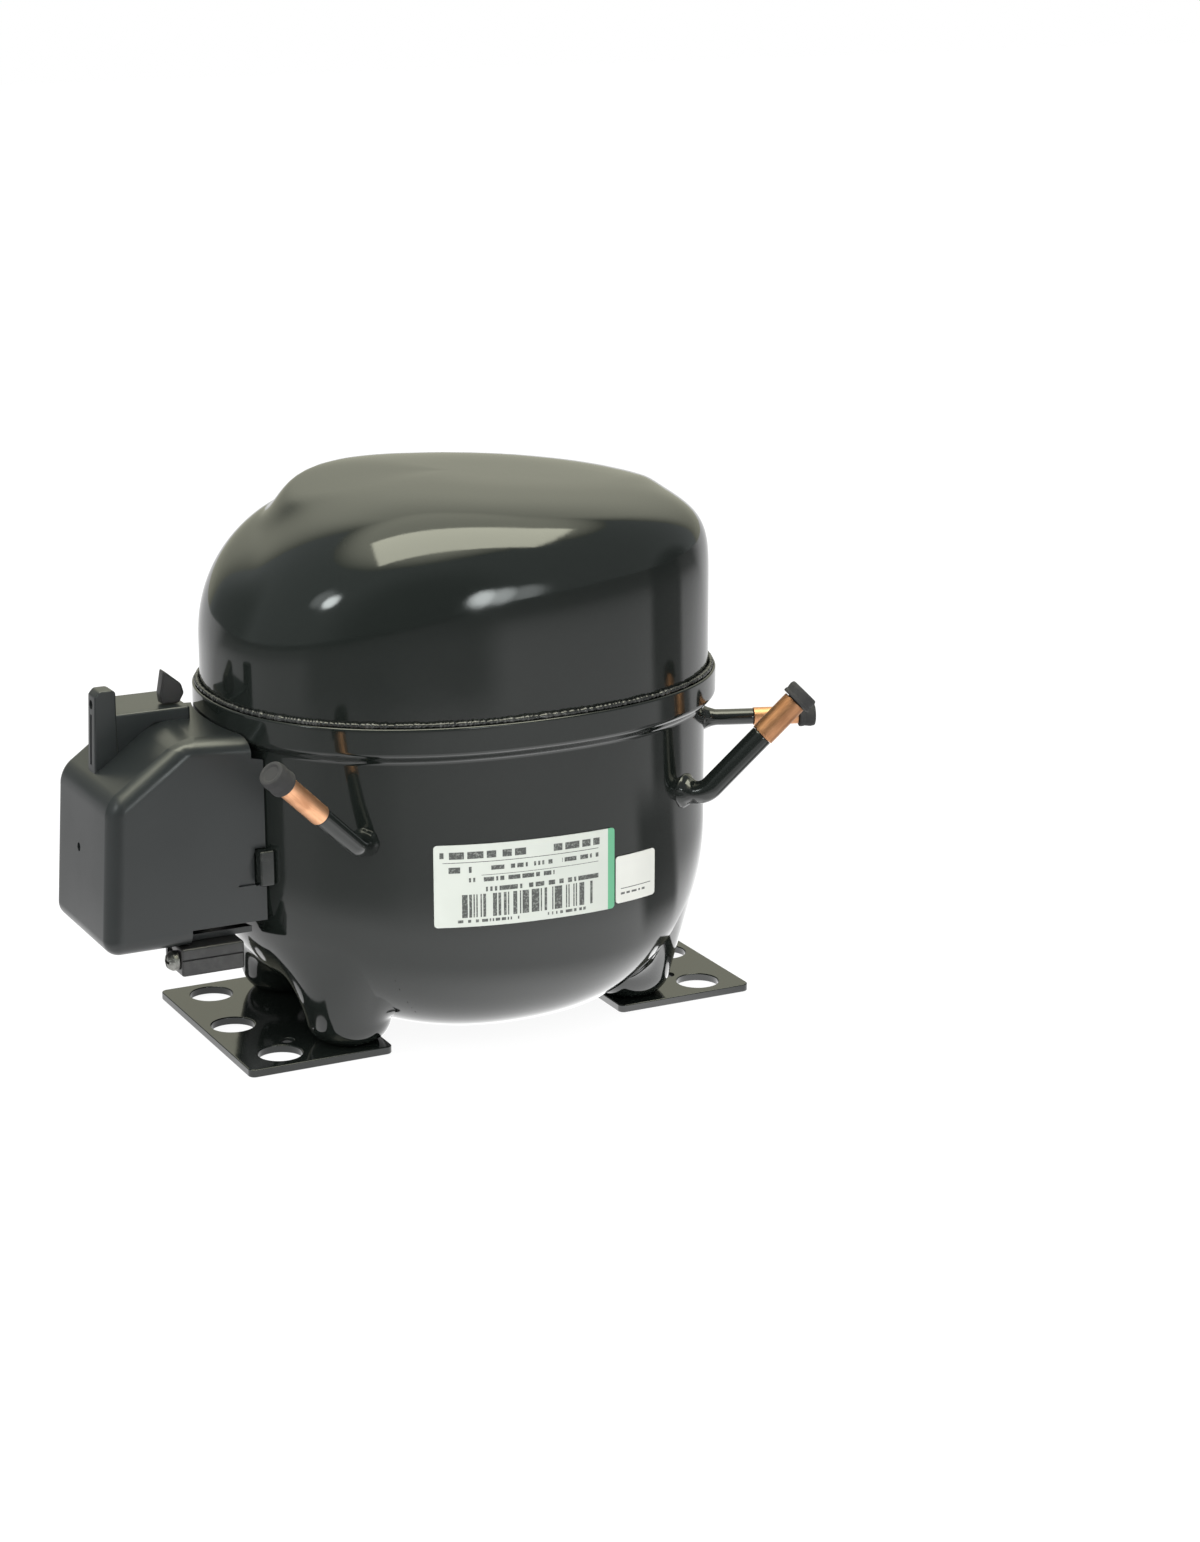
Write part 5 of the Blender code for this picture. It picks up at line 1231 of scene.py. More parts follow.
    def pot(self) -> Piece:
        """The pot: rounded floor, upright wall, flare and lip."""
        rings = []
        for row in range(1, self.floor_rows + 1):
            turn = math.pi / 2 * row / self.floor_rows
            rings.append([self.pot_bottom_at(turn, angle) for angle in self.angles()])
        flare_z = self.flare_z
        lip_out = self.lip_out
        rows = self.wall_rows
        profile = [(0.0, lerp(self.pot_round_top, flare_z, step / rows)) for step in range(1, rows + 1)]
        flare_steps = 12
        for step in range(1, flare_steps + 1):
            share = step / flare_steps
            profile.append((lip_out * soft_step(share), flare_z + self.flare_height * share))
        profile.append((lip_out, self.lip_top - 2 * self.lip_edge))
        edge_steps = 5
        for step in range(edge_steps + 1):
            turn = math.pi / 2 * step / edge_steps
            out = lip_out - self.lip_edge * (1.0 - math.cos(turn))
            profile.append((out, self.lip_top - self.lip_edge * (1.0 - math.sin(turn))))
        rings += [self.pot_ring(out, z) for out, z in profile]
        bottom = at(self.centre_x, 0.0, self.pot_bottom)
        piece = piece_from("pot", loft_mesh(rings, pole_start=bottom))
        thicken(piece, self.wall)
        return settle(piece, sharp=50.0)

    def seam(self) -> Piece:
        """The weld bead between lip and dome, rippled and lumpy."""
        middle_z = self.lip_top + self.bead_rise
        rings: list[list[Vector]] = [[] for _ in range(self.bead_sides)]
        for angle in turns(self.bead_columns):
            x, y = self.plan(self.dome_half_length, self.dome_half_width, angle)
            sway = 9.0 * noise.noise((x / 6, y / 6, 0))
            radius = self.bead_r + self.bead_ripple * math.sin(angle * self.bead_ripples + sway)
            radius += self.bead_lump * noise.noise((x / 1.9, y / 1.9, 7.0))
            radius += self.bead_wave * noise.noise((x / 9, y / 9, 3.0))
            for ring, turn in zip(rings, turns(self.bead_sides)):
                out = self.bead_out + radius * 0.98 * math.cos(turn)
                place = self.plan(self.dome_half_length + out, self.dome_half_width + out, angle)
                ring.append(at(*place, middle_z + radius * math.sin(turn)))
        return piece_from("seam_bead", loft_mesh(rings, loop=True))


@dataclass
class Feet:
    """Two foot plates on grommet holes, and the pressed cups that stand on them."""

    shell: Shell
    pitch_x: float = 170.0
    pitch_y: float = 70.0
    hole_r: float = 8.0
    middle_out: float = 4.7
    small_r: float = 2.5
    small_x: float = 78.0
    small_y: float = 24.0
    thick: float = 3.0
    end_margin: float = 16.0
    side_margin: float = 12.0
    inner_x: float = 46.0
    corner: float = 2.5
    edge: float = 0.45
    cup_x: float = 57.0
    cup_y: float = 32.0
    cup_r: float = 16.0
    cup_foot_r: float = 8.5
    cup_round: float = 11.0
    lean: float = 76.0
    reach: float = 30.0
    merge_z: float = 46.0
    proud: float = 0.05
    gap: float = 0.3

    def build(self) -> None:
        """Build and dress both plates and the four cups."""
        for side, name in ((-1, "left"), (1, "right")):
            hand_over(self.plate(name, side), PLATE_ENAMEL, Body.SHELL, Slot.ENAMEL, f"{name}_foot")
            for face, y in (("front", -self.cup_y), ("rear", self.cup_y)):
                cup = self.cup(f"{face}_{name}_cup", side * self.cup_x, y)
                hand_over(cup, ENAMEL, Body.SHELL, Slot.ENAMEL, f"{face}_{name}_leg")

    def loops(self, side: int, inset: float) -> list[list[Pair]]:
        """Outline and holes of a plate, drawn in by an inset."""
        outer_x = self.pitch_x / 2 + self.end_margin - inset
        inner_x = self.inner_x + inset
        half_y = self.pitch_y / 2 + self.side_margin - inset
        radius = self.corner - inset
        outline: list[Pair] = []
        low_x, high_x = inner_x + radius, outer_x - radius
        middle_y = half_y - radius
        corners = (
            (high_x, middle_y, 0), (low_x, middle_y, 90), (low_x, -middle_y, 180), (high_x, -middle_y, 270),
        )
        steps = 8
        for centre_x, centre_y, start in corners:
            for step in range(steps + 1):
                turn = math.radians(start + 90 * step / steps)
                x = centre_x + radius * math.cos(turn)
                outline.append((side * x, centre_y + radius * math.sin(turn)))
        holes = (
            (self.pitch_x / 2, self.pitch_y / 2, self.hole_r),
            (self.pitch_x / 2, -self.pitch_y / 2, self.hole_r),
            (self.pitch_x / 2 + self.middle_out, 0.0, self.hole_r),
            (self.small_x, -self.small_y, self.small_r),
        )
        loops = [outline]
        for x, y, radius in holes:
            grown = radius + inset
            around = turns(ROUND_SIDES)
            loops.append([(side * x + grown * math.cos(t), y + grown * math.sin(t)) for t in around])
        return loops

    def plate(self, name: str, side: int) -> Piece:
        """One plate with rounded rims on its outline and its holes."""
        steps = 4
        levels: list[Pair] = []
        for step in range(steps + 1):
            turn = math.pi / 2 * step / steps
            levels.append((self.edge * (1.0 - math.sin(turn)), self.edge * (1.0 - math.cos(turn))))
        levels += [(inset, self.thick - z) for inset, z in reversed(levels)]
        bm = bmesh.new()
        rows = []
        for inset, z in levels:
            rows.append([[bm.verts.new(at(x, y, z)) for x, y in loop] for loop in self.loops(side, inset)])
        for lower, upper in zip(rows, rows[1:]):
            for low_loop, high_loop in zip(lower, upper):
                for index in range(len(low_loop)):
                    after = (index + 1) % len(low_loop)
                    bm.faces.new((low_loop[index], low_loop[after], high_loop[after], high_loop[index]))
        flat = [[Vector((x, y, 0.0)) for x, y in loop] for loop in self.loops(side, self.edge)]
        for row in (rows[0], rows[-1]):
            verts = [vert for loop in row for vert in loop]
            for triangle in tessellate_polygon(flat):
                bm.faces.new([verts[index] for index in triangle])
        piece = piece_from(f"{name}_foot_plate", bm, sharp=40.0)
        even_normals(piece)
        return piece

    def cup(self, name: str, x: float, y: float) -> Piece:
        """One cup, rounded at its foot and flowing into the pot."""
        sides = 96
        arc_steps = 12
        flow_steps = 28
        bottom = self.thick + self.gap
        rings: list[list[Vector]] = []
        for step in range(arc_steps + 1):
            radius, z = self.foot_arc(self.lean * step / arc_steps)
            rings.append(self.cup_ring(x, y, lambda _: (radius, z), sides))
        for step in range(1, flow_steps + 1):
            rings.append(self.cup_ring(x, y, lambda t: self.cup_flow(x, y, t, step / flow_steps), sides))
        rings.append(self.cup_ring(x, y, lambda t: self.cup_root(x, y, t), sides))
        pole = at(x, y, bottom)
        top = at(x, y, self.shell.pot_floor_z(x, y) + self.shell.wall / 2)
        return piece_from(name, loft_mesh(rings, pole_start=pole, pole_end=top))

    def foot_arc(self, lean: float) -> Pair:
        """Radius and height on the rounded foot, where its slope has a lean in degrees."""
        turn = math.radians(lean)
        radius = self.cup_foot_r + (self.cup_r - self.cup_foot_r) * math.sin(turn)
        return radius, self.thick + self.gap + self.cup_round * (1.0 - math.cos(turn))

    def cup_ring(self, x: float, y: float, shape: Callable[[float], Pair], sides: int) -> list[Vector]:
        """Ring of a cup whose radius and height depend on the turn."""
        ring = []
        for turn in turns(sides):
            radius, z = shape(turn)
            ring.append(at(x + radius * math.cos(turn), y + radius * math.sin(turn), z))
        return ring

    def floor_at(self, x: float, y: float, turn: float, radius: float) -> float:
        """Height of the pot's underside at a radius and turn from a cup's axis."""
        return self.shell.pot_floor_z(x + radius * math.cos(turn), y + radius * math.sin(turn))

    def cup_far(self, x: float, y: float, turn: float) -> float:
        """Radius at which a cup ends on the pot: its full reach, or where the pot is at merge_z."""
        if self.floor_at(x, y, turn, self.reach) <= self.merge_z:
            return self.reach
        return last_before(self.cup_foot_r, self.reach, lambda r: self.floor_at(x, y, turn, r) < self.merge_z)

    def cup_flow(self, x: float, y: float, turn: float, share: float) -> Pair:
        """Radius and height on the blend that leaves the foot leaning out and meets the pot's slope."""
        near, low = self.foot_arc(self.lean)
        far = self.cup_far(x, y, turn)
        high = max(low, self.floor_at(x, y, turn, far))
        slope = max(0.0, self.floor_at(x, y, turn, far) - self.floor_at(x, y, turn, far - 1.0))
        stretch = math.hypot(far - near, high - low)
        lean = math.radians(self.lean)
        rest = 1.0 - share
        start = rest * rest * (1.0 + 2.0 * share)
        leave = share * rest * rest * stretch
        meet = -share * share * rest * stretch / math.hypot(1.0, slope)
        radius = lerp(far, near, start) + leave * math.cos(lean) + meet
        return radius, lerp(high + self.proud, low, start) + leave * math.sin(lean) + meet * slope

    def cup_root(self, x: float, y: float, turn: float) -> Pair:
        """Radius and height of a cup's hidden rim inside the pot's wall."""
        return self.cup_r, self.floor_at(x, y, turn, self.cup_r) + self.shell.wall / 2


@dataclass
class TubeStub:
    """One tube of the pot: enamelled pipe with its braze, bare copper end and rubber plug."""

    shell: Shell
    name: str
    plug_body: Body
    root_azimuth: float
    root_z: float
    radius: float
    copper_radius: float
    lead: float
    bend_radius: float
    azimuth: float
    rise: float
    black: float
    copper: float
    cap_radius: float
    cap_length: float
    wall: float = 1.0
    metal: BareCopper = DARKER_COPPER
    braze_length: float = 4.0
    gap: float = 0.3
    neck: float = 4.0
    stem: float = 9.0
    buried: float = 7.0
    pitch: float = 0.8
    swelling: float = 0.6
    braze_start: float = 0.2
    braze_run: float = 5.2
    braze_power: float = 2.2
    braze_back: float = 1.5
    off_line: float = 0.6
    bore_depth: float = 6.0
    sides: int = 56

    @property
    def direction(self) -> Vector:
        """Way that the stub points."""
        return heading(self.azimuth, self.rise)

    def root(self, out: float) -> Vector:
        """Layout point on the tube's line through the pot's wall."""
        x, y = self.shell.pot_root(self.root_azimuth)
        return Vector((x, y, self.root_z)) + heading(self.root_azimuth) * out

    def route(self) -> list[Vector]:
        """Centre line of the enamelled pipe, from inside the pot."""
        bend = heading(self.root_azimuth).angle(self.direction)
        reach = self.bend_radius * math.tan(bend / 2)
        corner = self.root(self.braze_length + self.lead + reach)
        return bent_route(self.root(-self.buried), corner, self.direction, self.black, self.bend_radius)

    def build(self) -> None:
        """Build and dress the pipe, its copper end and its plug."""
        hand_over(self.pipe(), ENAMEL, Body.SHELL, Slot.ENAMEL, f"{self.name}_tube")
        hand_over(self.bare_end(), self.metal, Body.SHELL, Slot.COPPER, f"{self.name}_copper_end")
        hand_over(self.plug(), CAP_RUBBER, self.plug_body, Slot.RUBBER, f"{self.name}_cap")

    def pipe(self) -> Piece:
        """The pipe, with a lumpy braze where it leaves the pot."""
        route = refine(self.route(), self.pitch)
        wall_point = self.root(0.0)
        normal = heading(self.root_azimuth)

        def swell(point: Vector) -> float:
            """Share of the braze's fillet at a point of the centre line."""
            out = (point - wall_point).dot(normal)
            straight = (point - wall_point - normal * out).length < self.off_line
            if not straight or out <= -self.braze_back:
                return 0.0
            return (1.0 - clamp01((out - self.braze_start) / self.braze_run)) ** self.braze_power

        shares = [swell(point) for point in route]
        radii = [self.radius + self.swelling * self.radius * share for share in shares]

        def lump(point: Vector, row: int) -> float:
            """Uneven braze metal."""
            if shares[row] <= 0.0:
                return 0.0
            return shares[row] ** 0.5 * (0.5 * noise.noise(point / 2.6) + 0.2 * noise.noise(point / 1.3))

        rings, marks = swept_rings(route, radii, ROUND_SIDES, lump)
        end = route[-1]
        bore = self.radius - self.wall
        lips = [(self.radius - 0.06, 0.12), (self.radius - 0.28, 0.2), (bore, 0.2), (bore, -self.bore_depth)]
        cap_rings, cap_marks = self.end_rings(end, lips, marks[-1])
        start = metres(route[0])
        finish = metres(end - self.direction * self.bore_depth)
        bm = loft_mesh(rings + cap_rings, start, finish, marks=marks + cap_marks)
        return piece_from(f"{self.name}_pipe", bm, sharp=60.0)

    def end_rings(self, base: Vector, profile: Sequence[Pair],
                  run: float) -> tuple[list[list[Vector]], list[float]]:
        """Rings about the stub's direction, carried on in the frame that the pipe ends with."""
        route = refine(self.route(), self.pitch)
        across = side_of((route[1] - route[0]).normalized())
        for before, after in zip(route, route[1:]):
            along = (after - before).normalized()
            across = (across - along * across.dot(along)).normalized()
        way = self.direction
        rings = []
        for radius, height in profile:
            rings.append(round_ring(base + way * height, across, way, radius, ROUND_SIDES))
        return rings, [run + height for _, height in profile]

    def bare_end(self) -> Piece:
        """The copper end, with a neck inside the pipe and an open bore."""
        start = self.route()[-1]
        neck_r = self.radius - self.wall - 0.06
        outer = self.copper_radius
        bore = outer - self.wall
        end = self.gap + self.copper
        blind = end - self.stem - 1.5
        profile = fillet(
            [
                (0.0, -self.neck), (neck_r, -self.neck), (neck_r, self.gap), (outer, self.gap),
                (outer, end), (bore, end), (bore, blind), (0.0, blind),
            ],
            [0.0, 0.0, 0.0, 0.3, 0.35, 0.2, 0.0, 0.0],
            4,
        )
        bm = lathe_mesh(self.split_long(profile), start, self.direction, self.sides)
        return piece_from(f"{self.name}_bare_end", bm, 50.0)

    @staticmethod
    def split_long(profile: Sequence[Pair], pitch: float = 1.0) -> list[Pair]:
        """Split the long straight stretches of a profile."""
        fine = [profile[0]]
        for before, after in zip(profile, profile[1:]):
            count = max(1, math.ceil(math.dist(before, after) / pitch))
            shares = [step / count for step in range(1, count + 1)]
            fine += [(lerp(before[0], after[0], share), lerp(before[1], after[1], share)) for share in shares]
        return fine

    def plug(self) -> Piece:
        """The rubber plug: a rimmed head and a stem in the bore."""
        seat = self.route()[-1] + self.direction * (self.gap + self.copper + self.gap)
        head_r = self.cap_radius
        length = self.cap_length
        stem_r = self.copper_radius - self.wall - self.gap
        profile = fillet(
            [
                (0.0, length - 0.5), (head_r * 0.55, length - 0.5), (head_r * 0.68, length),
                (head_r * 0.93, length), (head_r, length * 0.72), (head_r * 0.95, length * 0.34),
                (head_r, length * 0.2), (head_r, 0.0), (stem_r, 0.0), (stem_r, -self.stem + 1.2),
                (stem_r * 0.7, -self.stem), (0.0, -self.stem),
            ],
            [0.0, 0.4, 0.5, 0.9, 0.8, 0.5, 0.5, 0.5, 0.2, 0.8, 0.6, 0.0],
            5,
        )
        return piece_from(f"{self.name}_plug", lathe_mesh(profile, seat, self.direction, self.sides), 60.0)


@dataclass
class TerminalCover:
    """The plastic cover over the terminals, with its tower, hook and cord clamp."""

    shell: Shell
    edge_x: float = -93.0
    mouth_x: float = -82.0
    top_inner_x: float = -115.0
    chamfer_x: float = -142.8
    end_x: float = -146.0
    top_z: float = 121.0
    edge_top_z: float = 119.0
    chamfer_z: float = 101.0
    bottom_z: float = 45.5
    half: float = 30.0
    wall: float = 2.2
    fillet: float = 6.0
    clearance: float = 0.6
    tower_x: float = -129.0
    tower_inner_x: float = -101.5
    tower_front: float = 1.0
    tower_back: float = 27.0
    tower_rise: float = 4.0
    lug_x: float = -138.0
    lug_depth: float = 7.0
    lug_height: float = 9.2
    lug_slot: float = 1.6
    groove_foot: float = 6.0
    groove_in: float = 2.6
    groove_drop: float = 9.0
    eye_r: float = 1.7
    eye_in: float = 3.2
    eye_drop: float = 5.4
    catch_length: float = 7.0
    catch_depth: float = 1.0
    notch_height: float = 6.5
    notch_depth: float = 6.0
    past: float = 2.0
    ear_x: float = -90.0
    ear_z: float = 72.0
    ear_height: float = 13.0
    ear_clearance: float = 0.4
    clamp_length: float = 23.5
    clamp_width: float = 18.0
    clamp_height: float = 10.4
    clamp_bore: float = 3.4
    screw_in: float = 6.0
    dimple_y: float = 3.0
    dimple_z: float = 78.0
    dimple_r: float = 1.6
    gap: float = 0.3

    def build(self) -> None:
        """Build and dress the cover, the hook, the clamp and its screw."""
        hand_over(self.moulding(), COVER_PLASTIC, Body.COVER, Slot.COVER, "terminal_cover")
        hand_over(self.hook(), DARK_PLASTIC, Body.COVER, Slot.DARK_PLASTIC, "cover_hook")
        hand_over(self.clamp(), DARK_PLASTIC, Body.COVER, Slot.DARK_PLASTIC, "cord_clamp")
        hand_over(self.clamp_screw(), DULL_ZINC, Body.COVER, Slot.ZINC, "cord_clamp_screw")

    def top_at(self, x: float) -> float:
        """Height of the cover's top: a slope to the pot and a steep chamfer at its end."""
        run = x - self.top_inner_x
        if run > 0.0:
            return lerp(self.top_z, self.edge_top_z, run / (self.mouth_x - self.top_inner_x))
        return lerp(self.top_z, self.chamfer_z, run / (self.chamfer_x - self.top_inner_x))

    @property
    def tower_top(self) -> float:
        """Height of the tower's top."""
        return self.top_z + self.tower_rise

    @property
    def lug_top(self) -> float:
        """Height of the lug's top."""
        return self.tower_top + self.lug_height

    def skin(self) -> Piece:
        """The cover's box, open towards the pot, with soft edges and a thin wall."""
        outline = [
            (self.mouth_x, self.edge_top_z), (self.top_inner_x, self.top_z), (self.chamfer_x, self.chamfer_z),
            (self.end_x, self.bottom_z), (self.mouth_x, self.bottom_z),
        ]
        piece = prism("cover_shell", outline, -self.half, self.half)
        bm = bmesh.new()
        bm.from_mesh(piece.data)
        mouth_x = at(self.mouth_x - 0.5, 0, 0).x
        mouth = [face for face in bm.faces if face.calc_center_median().x > mouth_x]
        bmesh.ops.delete(bm, geom=mouth, context="FACES_ONLY")
        bm.to_mesh(piece.data)
        bm.free()
        round_edges(piece, self.fillet, 10)
        thicken(piece, self.wall)
        return piece

    def shell_space(self) -> Piece:
        """A helper as large as the pot's wall and lip, that the cover's mouth is trimmed to."""
        shell = self.shell
        out = self.clearance
        lip = out + shell.lip_out
        levels = (
            (out, self.bottom_z - 5.0), (out, shell.flare_z - out - 1.0),
            (lip, shell.flare_z - out), (lip, shell.lip_top + 5.0),
        )
        rings = [shell.pot_ring(grow, z) for grow, z in levels]
        low, high = (at(shell.centre_x, 0.0, z) for z in (levels[0][1], levels[-1][1]))
        return piece_from("shell_space", loft_mesh(rings, low, high))

    def raised(self) -> list[Piece]:
        """Helpers that stand on the cover: its tower and its lug."""
        sink = self.wall / 2
        lap = self.tower_x - 1.0
        inner, outer, end = self.tower_inner_x, self.tower_x, self.lug_x
        high = self.lug_top
        tower = prism("tower", [
            (inner, self.top_at(inner) - sink), (inner, self.tower_top), (lap, self.tower_top),
            (lap, self.top_at(lap) - sink), (self.top_inner_x, self.top_z - sink),
        ], self.tower_front, self.tower_back, 0.9, 3)
        lug = prism("lug", [
            (outer, self.top_at(outer) - sink), (outer, high - 1.0), (outer - 1.5, high), (end + 3.0, high),
            (end + 1.2, high - 2.0), (end, self.top_at(end) - sink),
        ], self.tower_front - 0.6, self.tower_front + self.lug_depth, 0.7, 3)
        return [tower, lug]

    def cutters(self) -> list[Piece]:
        """Helpers for the lug's groove and eye, the catch, the dimple, the notch, the ears and the mouth."""
        slot_y = self.tower_front + self.lug_depth / 2
        half_slot = self.lug_slot / 2
        outside = self.lug_x - 3.0
        groove = block("groove", (outside, slot_y - half_slot, self.chamfer_z + self.groove_foot),
                       (self.lug_x + self.groove_in, slot_y + half_slot, self.lug_top - self.groove_drop))
        eye_z = self.lug_top - self.eye_drop
        eye = bar("eye", self.eye_r, (outside, slot_y, eye_z), (self.lug_x + self.eye_in, slot_y, eye_z), 24)
        ear_low = self.ear_z - self.ear_height / 2
        ear_high = self.ear_z + self.ear_height / 2
        catch_x = self.ear_x - self.catch_length
        catch = prism("catch", [(self.ear_x, ear_high), (catch_x, ear_low), (self.ear_x, ear_low)],
                      -self.half - self.catch_depth, -self.half + self.catch_depth)
        loose = self.ear_clearance
        ears = block("ear_slot", (self.ear_x - loose, -self.half - self.past, ear_low - loose),
                     (self.mouth_x + self.past, self.half + self.past, ear_high + loose))
        y, z = self.dimple_y, self.dimple_z
        x = lerp(self.end_x, self.chamfer_x, (z - self.bottom_z) / (self.chamfer_z - self.bottom_z))
        dimple = bar("dimple", self.dimple_r, (x - 5.0, y, z), (x + 1.0, y, z), 24)
        notch_x = self.edge_x - self.clamp_length + 2.0
        notch_y = -self.half + self.wall + self.notch_depth
        notch = block("notch", (notch_x, -self.half - self.past, self.bottom_z - self.past),
                      (self.mouth_x + self.past, notch_y, self.bottom_z + self.notch_height))
        return [groove, eye, catch, dimple, notch, ears, self.shell_space()]

    def moulding(self) -> Piece:
        """The cover with its tower and lug, and everything cut in it."""
        return carve(self.skin(), self.cutters(), self.raised())

    def hook(self) -> Piece:
        """The dark teardrop hook on the tower."""
        x = self.tower_inner_x - 8.0
        z = self.tower_top + self.gap
        outline = ((-1.0, 0.0), (5.5, 0.0), (7.5, 3.5), (6.5, 7.0), (0.0, 12.5), (-1.5, 4.0))
        piece = prism("hook", [(x + dx, z + dz) for dx, dz in outline],
                      self.tower_front + 4.0, self.tower_front + 9.0, 0.8, 3)
        return settle(piece)

    def clamp_box(self) -> tuple[Vector, Vector]:
        """Low and high layout corners of the cord clamp."""
        top = self.bottom_z - self.gap
        inner_x = self.edge_x - 2.0
        low_y = -self.half + 1.0
        low = Vector((inner_x - self.clamp_length, low_y, top - self.clamp_height))
        return low, Vector((inner_x, low_y + self.clamp_width, top))

    def clamp(self) -> Piece:
        """The cord clamp with its bore, screw hole and parting groove."""
        low, high = self.clamp_box()
        piece = block("clamp", low, high, 1.0, 3)
        middle = (low.z + high.z) / 2
        bore_y = high.y - self.clamp_bore - 2.5
        screw_y = -self.half + self.screw_in
        bore = bar("bore", self.clamp_bore, (low.x - 5.0, bore_y, middle), (high.x + 5.0, bore_y, middle), 40)
        screw = bar("screw", 2.1, (low.x - 5.0, screw_y, middle), (low.x + 13.0, screw_y, middle), 24)
        groove = block("groove", (low.x - 1.0, low.y - 1.0, middle + 0.6),
                       (high.x + 1.0, low.y + 0.7, middle + 1.3))
        return carve(piece, (bore, screw, groove))

    def clamp_screw(self) -> Piece:
        """The clamp's screw, with a cross recess in its head."""
        low, high = self.clamp_box()
        seat = (low.x - self.gap, -self.half + self.screw_in, (low.z + high.z) / 2)
        return screw_piece("clamp_screw", seat, (-1, 0, 0), 3.6, 4.0, 1.8, 12.0)


def screw_piece(name: str, seat: Sequence[float], axis: Sequence[float], head_r: float, head: float,
                shank_r: float, shank: float) -> Piece:
    """A cross-head screw.

    Args:
        name: name of the piece.
        seat: layout point under its head.
        axis: way that its head points.
        head_r: radius of the head.
        head: height of the head.
        shank_r: radius of the shank.
        shank: length of the shank, or 0 for none.

    Returns:
        The screw.
    """
    points = [(0.0, head), (head_r * 0.7, head * 0.92), (head_r, head * 0.45), (head_r, 0.0)]
    radii = [0.0, head_r * 0.5, head_r * 0.3, 0.1]
    if shank:
        points += [(shank_r, 0.0), (shank_r, -shank), (0.0, -shank)]
        radii += [0.1, 0.3, 0.0]
    else:
        points.append((0.0, 0.0))
        radii.append(0.0)
    piece = piece_from(name, lathe_mesh(fillet(points, radii), seat, axis, 40))
    along = Vector(axis).normalized()
    cutters = []
    for turn in (0.0, math.pi / 2):
        blade = block(f"{name}_cross", (-0.5, -head_r * 0.62, -1.4), (0.5, head_r * 0.62, 1.4))
        origin = at(0, 0, 0)
        blade.data.transform(Matrix.Translation(-origin))
        spin = along.to_track_quat("Z", "Y").to_matrix().to_4x4() @ Matrix.Rotation(turn, 4, "Z")
        top = metres(Vector(seat) + along * head)
        blade.data.transform(Matrix.Translation(top) @ spin)
        cutters.append(blade)
    return carve(piece, cutters)


